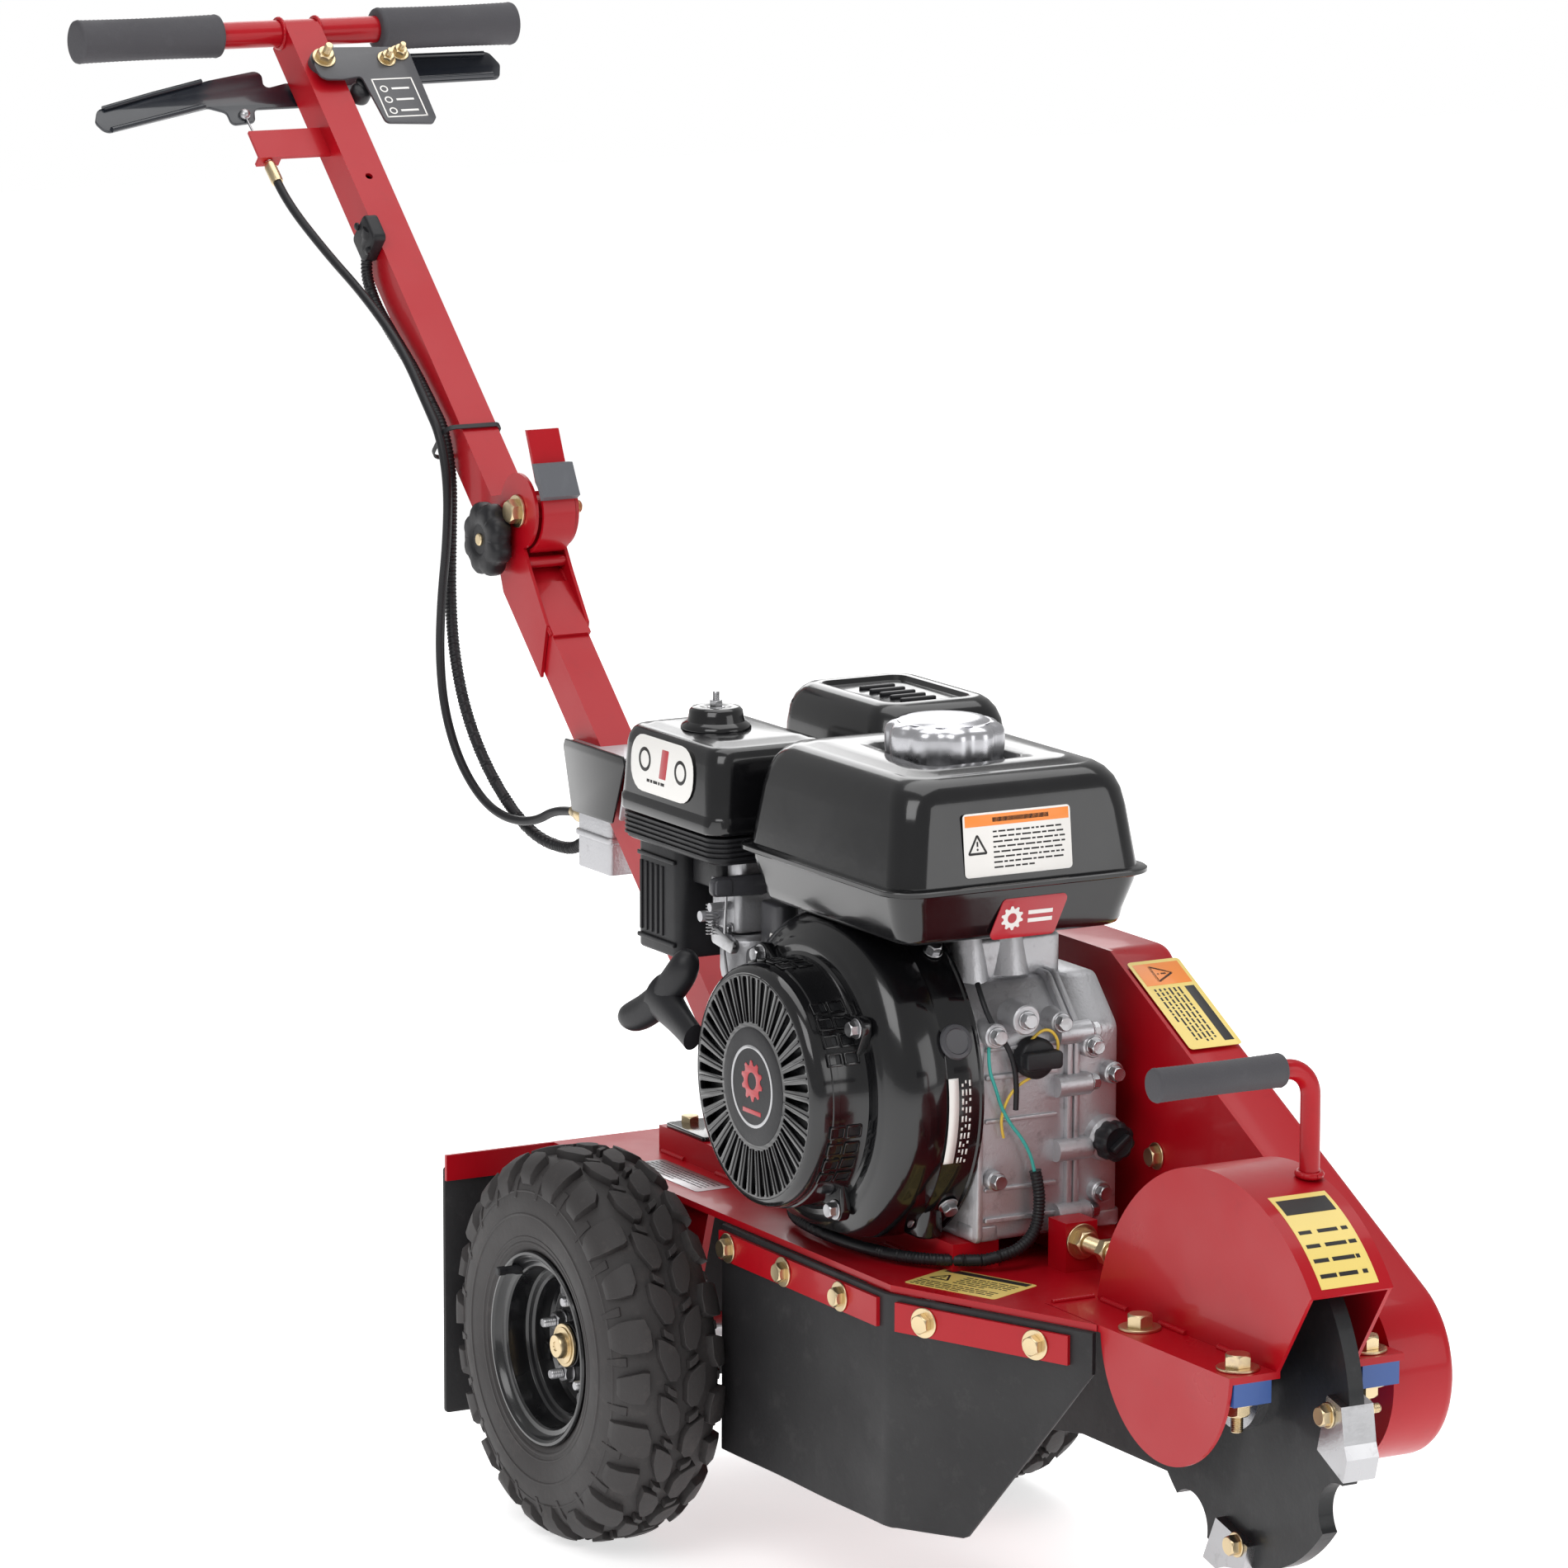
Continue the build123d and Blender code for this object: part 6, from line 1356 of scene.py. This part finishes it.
FAR_SKIRT = rounded([(214, SKIRT_TOP), (214, 92), (324, 110), (454, 110), (484, SKIRT_TOP)],
                    [1, 6, 20, 12, 1])
skirt.put(side_plate(FAR_SKIRT, 94, 4, edge=0.8))
FLAP = rounded(bar(-205, 62, 410, 192), 3)
skirt.put(plate(FLAP, 4, edge=0.8), at((-116, 0, 0), FRONT, FAR))
piece("rubber_sheets", skirt, SKIRT, "frame", ("rubber_skirts",), sharp=38)

heads = Shape()
STRIP_BOLT, RAIL_BOLT = bolt(13, 5.6, 11, 1.6), bolt(13, 7, 11, 1.8)
for dx in (-108, -26, 56):
    heads.put(STRIP_BOLT, at((CRANK_X + dx, -120, STRIP_Z), NEAR))
for share in (0.2, 0.74):
    spot = CORNER + RUN * (RUN_LENGTH * share) + OUT * 5.0
    heads.put(STRIP_BOLT, at((spot.x, spot.y, STRIP_Z), (OUT.x, OUT.y, 0)))
for y in (-150, -50, 50, 150):
    heads.put(STRIP_BOLT, at((-119, y, STRIP_Z), REAR))
for dx in (-50, 50, 150):
    heads.put(bolt(13, 5.6, 9, 1.4), at((CRANK_X + dx, 91, STRIP_Z), NEAR))
for x in (589, 713):
    for y in (-25, 79):
        heads.put(bolt(17, 9, 15, 2.2), at((x, y, DECK_Z)))
        heads.put(bolt(17, 9, 15, 2.2, 14), at((x, y, 243), DOWN))
for y in (-38, 60):
    for x in (20, -30):
        heads.put(RAIL_BOLT, at((x, y, 284)))
for made, x in ((bolt(17, 8.5, 13, 2.2), 430), (thread(6, 44, 1.8), 438), (bolt(17, 8.5), 462)):
    heads.put(made, at((x, 26, 286), FRONT))
piece("frame_screws", heads, ZINC, "frame", bevel=0.25)
shims = Shape()
for y in (-38, 60):
    shims.put(block(60, 34, 4, 3, 1), at((-8, y, 283.6)))
piece("rail_pads", shims, BLACK, "frame")

# ---------------- cutter head
keep("cutter_disc", DISC_BLACK, 0.6)
keep("cutter_teeth", STEEL, 0.8)
keep("cutter_shaft", STEEL, 0.5)
pulley = lathe([(12.6, 116), (20, 116), (20, 119), (38, 119), (39.5, 116), (47.2, 116),
                (48, 116.8), (48, 119.6), (47.4, 120.4), (41.8, 121.0), (41.8, 135.0),
                (47.4, 135.6), (48, 136.4), (48, 139.2), (47.2, 140), (39.5, 140), (38, 137),
                (20, 137), (20, 140), (12.6, 140), (12.6, 116)], 128)
piece("pulley_wheel", Shape().put(pulley, at((CUTTER_X, 0, CUTTER_Z), FAR)), ALU, "cutter",
      ("driven_pulley",), sharp=34)
keep("drive_pulley", ALU, 0.6)
keep("drive_belt", BELT, 0)
tooth = Shape()
for angle in (-105, -15, 75, 165):
    turn = radians(angle + 17)
    x, z = CUTTER_X + 114 * cos(turn), CUTTER_Z + 114 * sin(turn)
    tooth.put(bolt(13, 6.5, 9, 1.4), at((x, 14, z), NEAR))
    tooth.put(bolt(13, 6.5, 9, 1.4, 9), at((x, 40, z), FAR))
piece("tooth_screws", tooth, ZINC, "cutter", ("tooth_bolts",), bevel=0.2)

# ---------------- belt guard
keep("belt_guard_plate", RED, 0.6)
NOSE = (CUTTER_X, CUTTER_Z)
guard = rounded([(631, 172), (434, 265), (200, 265), (200, 434), (230, 474), (346, 474)],
                [0, 16, 5, 14, 20, 24], 7)[1:]
guard = [(631, 172)] + [p for p in guard if p != (631, 172)]
guard += ring_points(66, 34, NOSE, 61.73, -107.6)[:-1]


def inset(outline, distance):
    """Outline moved inwards by averaging the normals of its neighbouring edges."""
    area = sum(a[0] * b[1] - b[0] * a[1] for a, b in zip(outline, outline[1:] + outline[:1]))
    sense = 1 if area > 0 else -1
    moved = []
    for i, (x, y) in enumerate(outline):
        a = Vector(outline[i - 1])
        b = Vector(outline[(i + 1) % len(outline)])
        along = (b - a).normalized()
        moved.append((x - along.y * distance * sense, y + along.x * distance * sense))
    return moved


rings = []
for y, depth in ((149.6, 7.0), (149.0, 4.2), (146, 2.4), (103, 2.4), (103, 0), (144, 0),
                 (147.4, 0.6), (149.8, 1.9), (151.3, 3.9), (152, 7.0)):
    rings.append([(x, y, z) for x, z in inset(guard, depth)])
cover = Shape().put(loft(rings))
piece("belt_cover", cover, RED, "frame", ("belt_guard_cover",), sharp=34)
fasteners = Shape()
for x, z in ((CRANK_X + 128, 336), (CRANK_X - 66, 300), (CRANK_X + 20, 300)):
    fasteners.put(bolt(13, 6, 10, 1.6), at((x, 99.9, z), NEAR))
for x, z in ((240, 440), (330, 452), (560, 300), (232, 290), (420, 290)):
    fasteners.put(bolt(10, 5.4, 9, 1.5), at((x, 152, z), FAR))
piece("belt_guard_screws", fasteners, ZINC, "frame", bevel=0.2)
slope = Vector((0.8807, 0, -0.4737))
items = [(ORANGE, bar(-46, -19, 24, 38), ())] + triangle_mark(-34, 0, 10)
items += [(INK, bar(-18, 10, 62, 8), ())]
items += text_bars(INK, -18, 4, 62, 6, 4.0, 1.6)
label("belt_label", at((403.5, 127, 443.3), (0.4737, 0, 0.8807), slope), 99, 44, 3,
      items, "frame", LABEL)

# ---------------- deck and guard labels
items = [(INK, bar(-36, 17, 72, 7), ())] + triangle_mark(-26, 3, 9)
items += text_bars(INK, -12, 11, 46, 5, 4.2, 1.5)
items += text_bars(INK, -36, -12, 70, 4, 4.0, 1.4)
label("deck_label", at((CRANK_X + 140, -62, DECK_Z), UP, (RUN.x, RUN.y, 0)), 80, 52, 3,
      items, "frame", LABEL)
items = text_bars(INK, -48, 9, 94, 6, 3.8, 1.2)
label("serial_plate", at((CRANK_X - 250, -82, DECK_Z), UP), 105, 30, 3,
      items, "frame", STEEL)


def arc_patch(name, first, last, y0, y1, radius, material, lift):
    """Sticker that follows the guard's round band."""
    corners = [(radius - 0.05, y0), (radius + lift, y0), (radius + lift, y1), (radius - 0.05, y1)]
    rings = []
    for k in range(25):
        turn = radians(first + (last - first) * k / 24)
        rings.append([(CUTTER_X + r * cos(turn), y, CUTTER_Z + r * sin(turn)) for r, y in corners])
    piece(name, Shape().put(loft(rings)), material, "frame", sharp=60)


arc_patch("guard_label", 38, 70, 4, 50, 151.0, LABEL, 0.3)
arc_patch("guard_label_band", 62, 68, 7, 47, 151.2, INK, 0.25)
for k, (y0, y1) in enumerate(((7, 20), (22, 40), (41, 47))):
    for row in range(4):
        arc_patch("guard_label_line_%d_%d" % (k, row), 41 + row * 4.6, 42.2 + row * 4.6,
                  y0, y1 - (k * 3 + row) % 4, 151.2, INK, 0.2)

# ---------------- lift handle
lift_low, lift_high = box("lift_handle")
grip_low, grip_high = box("lift_grip")
LIFT_X = (lift_low.x + lift_high.x) / 2
LIFT_LEG = lift_high.y - 7.0
LIFT_Z = (grip_low.z + grip_high.z) / 2
bar_line = bend([(LIFT_X, LIFT_LEG, lift_low.z), (LIFT_X, LIFT_LEG, LIFT_Z),
                 (LIFT_X, grip_low.y + 1, LIFT_Z)], 20, 12)
tube = Shape().put(sweep(bar_line, 7.0, 28))
tube.put(bead([(LIFT_X + 8 * cos(k * 0.42), LIFT_LEG + 8 * sin(k * 0.42),
                lift_low.z + 1.4 - 1.7 * cos(k * 0.42) * 0.4) for k in range(16)], 2.6))
piece("lift_bar", tube, RED, "frame", ("lift_handle",), sharp=50)
length = grip_high.y - grip_low.y
profile = [(0, 0), (9.4, 0), (11.2, 0.6), (12, 2.4)]
for k in range(60):
    t = 3 + (length - 6) * k / 59
    profile.append((11.8 - 0.5 * sin(pi * t / length) + 0.12 * cos(k * pi), t))
profile += [(12, length - 2.4), (11.2, length - 0.6), (9.4, length), (7, length)]
piece("lift_foam", Shape().put(lathe(profile, 48), at((LIFT_X, grip_low.y, LIFT_Z), FAR)),
      GRIP, "frame", ("lift_grip",), sharp=60)

# ---------------- handle column and its fold joint
COL_O = Vector((-355, 0, 658))
COL_N = Vector((0.6871, 0, 0.7266))
COLUMN = at(COL_O, COL_N, FAR)


def column(a, b, n):
    """Point beside the column: across it, up along it, and out of its upper face."""
    return COLUMN @ Vector((a, b, n))


def on_column(a, b, n, z=UP, x=FRONT):
    return COLUMN @ at((a, b, n), z, x)


keep("lower_column", RED, 1.6)
keep("hinge_bracket", RED, 0.9)
keep("upper_tube", RED, 1.6)
PIVOT_X, PIVOT_Z = -343.8, 713.5
pivot = Shape()
for side in (-1, 1):
    pivot.put(bolt(17, 7.5, 13, 2.2), at((PIVOT_X, side * 19.2, PIVOT_Z), (0, side, 0)))
pivot.put(thread(5, 16, 1.6), at((PIVOT_X, 20, PIVOT_Z), FAR))
pivot.put(lathe([(0, 0), (5, 0), (5, 40), (0, 40)], 28), at((PIVOT_X, -20, PIVOT_Z), FAR))
piece("pivot_screw", pivot, ZINC, "frame", ("pivot_bolt",), bevel=0.2)


def knob_lobes(turn, radius, height):
    return -3.6 * (0.5 + 0.5 * cos(8 * turn)) ** 1.6 if radius > 22 and 2 < height < 21 else 0


knob_at = on_column(-19.3, 33, 11, REAR, FAR)
head = lathe([(0, 0), (12, 0), (12.6, 1), (12.8, 3), (22.4, 3.4), (27.4, 4.6), (29.4, 7),
              (30, 10), (30, 15), (29, 18), (26.4, 20.4), (22.2, 21.4), (14, 21.7), (12.6, 21),
              (11.6, 19.8), (0, 19.4)], 128, knob_lobes)
piece("fold_knob_head", Shape().put(head, knob_at), PLASTIC, "fold_knob", ("clamp_knob",),
      sharp=42)
stub = Shape()
stub.put(lathe([(0, 0), (5, 0), (5, 1.4), (4.2, 2.2), (0, 2.2)], 28),
         knob_at @ lifted(19.2))
stub.put(bolt(13, 7, 11, 1.8, 12), on_column(19.2, 33, 11, FRONT, FAR))
piece("fold_knob_stud", stub, ZINC, "fold_knob", bevel=0.2)
pad = Shape()
for y in (-1, 1):
    pad.put(bead([column(y * 16.6, -6, 16.2), column(y * 16.6, -70, 16.2)], 1.8))
piece("hinge_welds", pad, RED, "frame", sharp=70)

# latch that holds the folded handle
keep("latch_lever", RED, 0.7)
keep("latch_pad", SLATE, 0.8)

# ---------------- handlebar and grips
bar_low, bar_high = box("handlebar")
keep("handlebar", RED, 0.6)
BAR_X, BAR_Z = (bar_low.x + bar_high.x) / 2, (bar_low.z + bar_high.z) / 2
grips = Shape()
for side in (-1, 1):
    profile = [(11.2, 0), (15.6, 0), (17.3, 0.9), (18, 3)]
    for k in range(64):
        t = 4 + 120 * k / 63
        profile.append((17.7 - 0.7 * sin(pi * t / 128) + 0.16 * cos(k * pi), t))
    profile += [(18, 125), (17.4, 127.1), (15.8, 128), (12, 128.4), (0, 128.6)]
    grips.put(lathe(profile, 64), at((BAR_X, side * 72, BAR_Z), (0, side, 0)))
piece("foam_grips", grips, GRIP, "handle", ("hand_grips",), sharp=60)
weld = Shape()
for y in (-16.6, 16.6):
    weld.put(bead([(BAR_X + 12.2 * cos(2 * pi * k / 26), y, BAR_Z + 12.2 * sin(2 * pi * k / 26))
                   for k in range(27)], 1.9))
piece("handlebar_welds", weld, RED, "handle", sharp=70)

# ---------------- control plate and levers
PLATE = rounded([(-10, 506), (9, 505), (27, 507), (31, 456), (73, 453), (78, 459), (80, 537),
                 (10, 540), (-11, 524)], [9, 4, 3, 5, 4, 4, 9, 9, 9])
panel = Shape().put(plate(PLATE, 2.5, edge=0.6), COLUMN @ lifted(22))
panel.put(lathe([(0, 15.9), (11, 15.9), (11, 22.2), (0, 22.2)], 32), COLUMN @ Matrix.Translation(
    (0, 528, 0)))
piece("control_sheet", panel, GREY, "handle", ("control_plate",), sharp=38)
picture = Shape()
marks_at = COLUMN @ lifted(24.4)
for x, y, w, h in ((34, 461, 1.2, 42), (70, 461, 1.2, 42), (34, 461, 37, 1.2), (34, 502, 37, 1.2)):
    picture.put(plate(bar(x, y, w, h), 0.25, edge=0.05), marks_at)
for y in (468, 480, 492):
    picture.put(plate(ring_points(3.6, 20, (42, y)), 0.25, (ring_points(2.4, 20, (42, y)),), 0.05),
                marks_at)
    picture.put(plate(bar(49, y - 1, 16, 2), 0.25, edge=0.05), marks_at)
piece("control_marks", picture, WHITE, "handle")
nuts = Shape()
nuts.put(bolt(13, 6.5, 10, 1.6, 10), on_column(0, 528, 24.5))
for a, b in ((56, 524), (70, 530)):
    nuts.put(bolt(10, 5, 8, 1.3, 7), on_column(a, b, 24.5))
piece("control_screws", nuts, ZINC, "handle", ("control_bolts",), bevel=0.2)

RIGHT = rounded([(12, 516), (12, 540), (-17, 540), (-38, 535), (-33, 556), (-84, 547), (-193, 521),
                 (-199, 508), (-193, 496), (-94, 518), (-80, 512), (-80, 498), (-58, 500),
                 (-54, 514), (-12, 514)], [8, 8, 6, 4, 6, 8, 8, 6, 8, 8, 5, 5, 5, 6, 6])
lever = Shape().put(plate(RIGHT, 3, edge=0.8), COLUMN @ lifted(-20.9))
for ridge in (((-92, 545), (-140, 533.6), (-188, 521)), ((-98, 518.5), (-144, 508), (-188, 498))):
    lever.put(sweep([column(a, b, -17) for a, b in ridge], 2.4, 12))
piece("stop_lever", lever, LEVER, "right_control", ("right_lever",), sharp=40)
LEFT = rounded([(-12, 516), (-12, 538), (40, 545), (60, 570), (184, 569), (190, 554), (184, 539),
                (70, 538), (40, 518)], [8, 8, 10, 12, 7, 6, 7, 10, 10])
lever = Shape().put(plate(LEFT, 3, edge=0.8), COLUMN @ lifted(-25.9))
for ridge in (((70, 567), (178, 566)), ((76, 541), (178, 542))):
    lever.put(sweep([column(a, b, -22) for a, b in ridge], 2.4, 12))
piece("clutch_lever", lever, LEVER, "left_control", ("left_lever",), sharp=40)
THROTTLE = rounded([(66, 532), (48, 534), (22, 506), (27, 498), (36, 500), (66, 516)],
                   [7, 6, 5, 4, 5, 7])
lever = Shape().put(plate(THROTTLE, 4, edge=1), COLUMN @ lifted(16))
lever.put(lathe([(0, 6), (7.6, 6), (8.8, 7.2), (9, 9), (9, 16), (8.2, 18), (6.4, 19.2), (0, 19.6)],
                40), COLUMN @ Matrix.Translation((27, 499, 0)))
piece("throttle_arm", lever, PLASTIC, "throttle", ("throttle_lever",), sharp=40)

# ---------------- switch box, hood and cable ends
hood = Shape()
low, high = box("cable_bracket")
width = high.x - low.x
for y in (-26.4, 24.6):
    hood.put(side_plate(rounded([(low.x + 14, 492), (high.x - 20, 492), (high.x, 541),
                                 (high.x - 3, 547.5), (low.x + 3, 547.5), (low.x, 541)],
                                [4, 4, 4, 3, 3, 4]), y, 1.8, edge=0.5))
piece("switch_hood", hood, BLACK, "frame", ("cable_bracket",), sharp=40)
roof = Shape()
roof.put(block(width - 6, 49, 2.2, 2, 0.6), at(((low.x + high.x) / 2, 0, 543.6)))
for x, lean in ((low.x + 5, 0.22), (high.x - 6, -0.3)):
    roof.put(block(50, 49, 2.2, 2, 0.6), at((x, 0, 520), (1, 0, lean), DOWN))
piece("hood_roof", roof, ALU, "frame", sharp=40)
case = Shape()
SWITCH_X = -229
for *size, z in ((54, 28, 66, 4, 1.4, 445), (58, 32, 5, 5, 1.2, 470), (40, 20, 24, 4, 1.4, 504)):
    case.put(block(*size), at((SWITCH_X, 0, z)))
piece("switch_case", case, ALU, "frame", sharp=40)
ends = Shape()
for y, z in ((-6, 484), (6, 460)):
    ends.put(lathe([(0, 0), (6.6, 0), (7.2, 1), (7.2, 9), (6, 11), (5, 20), (0, 20)], 28),
             at((-256, y, z), REAR))
piece("cable_collars", ends, ZINC, "frame", sharp=40)
collar = Shape().put(lathe([(0, -5), (4.6, -5), (5, -3), (5, 12), (4, 16), (0, 16)], 28),
                     at(clutch_line[0], (clutch_line[0] - clutch_line[6])))
piece("stop_collar", collar, ZINC, "handle", sharp=40)
pull = Shape()
wire_end = column(-66, 507, -17)
pull.put(sweep([clutch_line[0], clutch_line[0].lerp(wire_end, 0.5), wire_end], 0.9, 10))
pull.put(lathe([(0, -5), (3.4, -4), (5, -1.6), (5, 1.6), (3.4, 4), (0, 5)], 28), at(wire_end))
pull.put(lathe([(0, 0), (3.2, 0), (3.2, 12), (2.2, 14), (0, 14)], 20),
         at(clutch_line[0], wire_end - clutch_line[0]))
piece("stop_wire", pull, STEEL, "handle", sharp=60)

# plastic tie that holds the cables against the tube
tie = Shape()
loop = [column(a, 141, n) for a, n in rounded([(-31, -19), (18.4, -19), (18.4, 17.6), (-31, 17.6)],
                                              [9, 5, 5, 9], 5)]
verts, faces = [], []
centre = Vector((-6.3, 0, -0.7))
for k, p in enumerate(loop):
    local = COLUMN.inverted() @ p
    for b, grow in ((139, 0), (143, 0), (143, 1.2), (139, 1.2)):
        away = Vector((local.x - centre.x, 0, local.z - centre.z)).normalized() * grow
        verts.append(column(local.x + away.x, b, local.z + away.z))
for k in range(len(loop)):
    m = (k + 1) % len(loop)
    for j in range(4):
        i = (j + 1) % 4
        faces.append((4 * k + j, 4 * k + i, 4 * m + i, 4 * m + j))
tie.put((verts, faces))
tie.put(block(9, 6, 6, 1.2, 0.8), on_column(19.4, 141, -4, FRONT, UP))
piece("cable_tie", tie, PLASTIC, "handle", sharp=50)

# moulded entry that takes the wiring loom into the tube
entry = Shape()
loom_end, loom_next = loom_line[0], loom_line[4]
entry.put(block(27, 32, 12, 5, 2), on_column(-15.8, 344, 13, REAR, FAR))
entry.put(lathe([(0, -4), (8, -4), (8, 3), (6.6, 5), (6.4, 12), (5.2, 17), (4.6, 17), (4.6, 0),
                 (0, 0)], 28), at(loom_end, loom_next - loom_end))
for b in (331, 357):
    entry.put(lathe([(0, 0), (3.2, 0), (3.2, 1.6), (2.2, 2.4), (0, 2.4)], 20),
              on_column(-27.6, b, 13, REAR, FAR))
piece("loom_entry", entry, PLASTIC, "handle", sharp=40)


# ---------------- floor and finish
floor = bpy.data.objects.new("floor", bpy.data.meshes.new("floor"))
floor.data.from_pydata([(-9, -9, 0), (9, -9, 0), (9, 9, 0), (-9, 9, 0)], [], [(0, 1, 2, 3)])
pale = bpy.data.materials.new("floor_pale")
pale.use_nodes = True
shine = pale.node_tree.nodes["Principled BSDF"].inputs
shine["Base Color"].default_value = (0.94, 0.94, 0.94, 1)
shine["Roughness"].default_value = 0.9
shine["Emission Color"].default_value = (1, 1, 1, 1)
shine["Emission Strength"].default_value = 0.62
floor.data.materials.append(pale)
bpy.context.scene.collection.objects.link(floor)
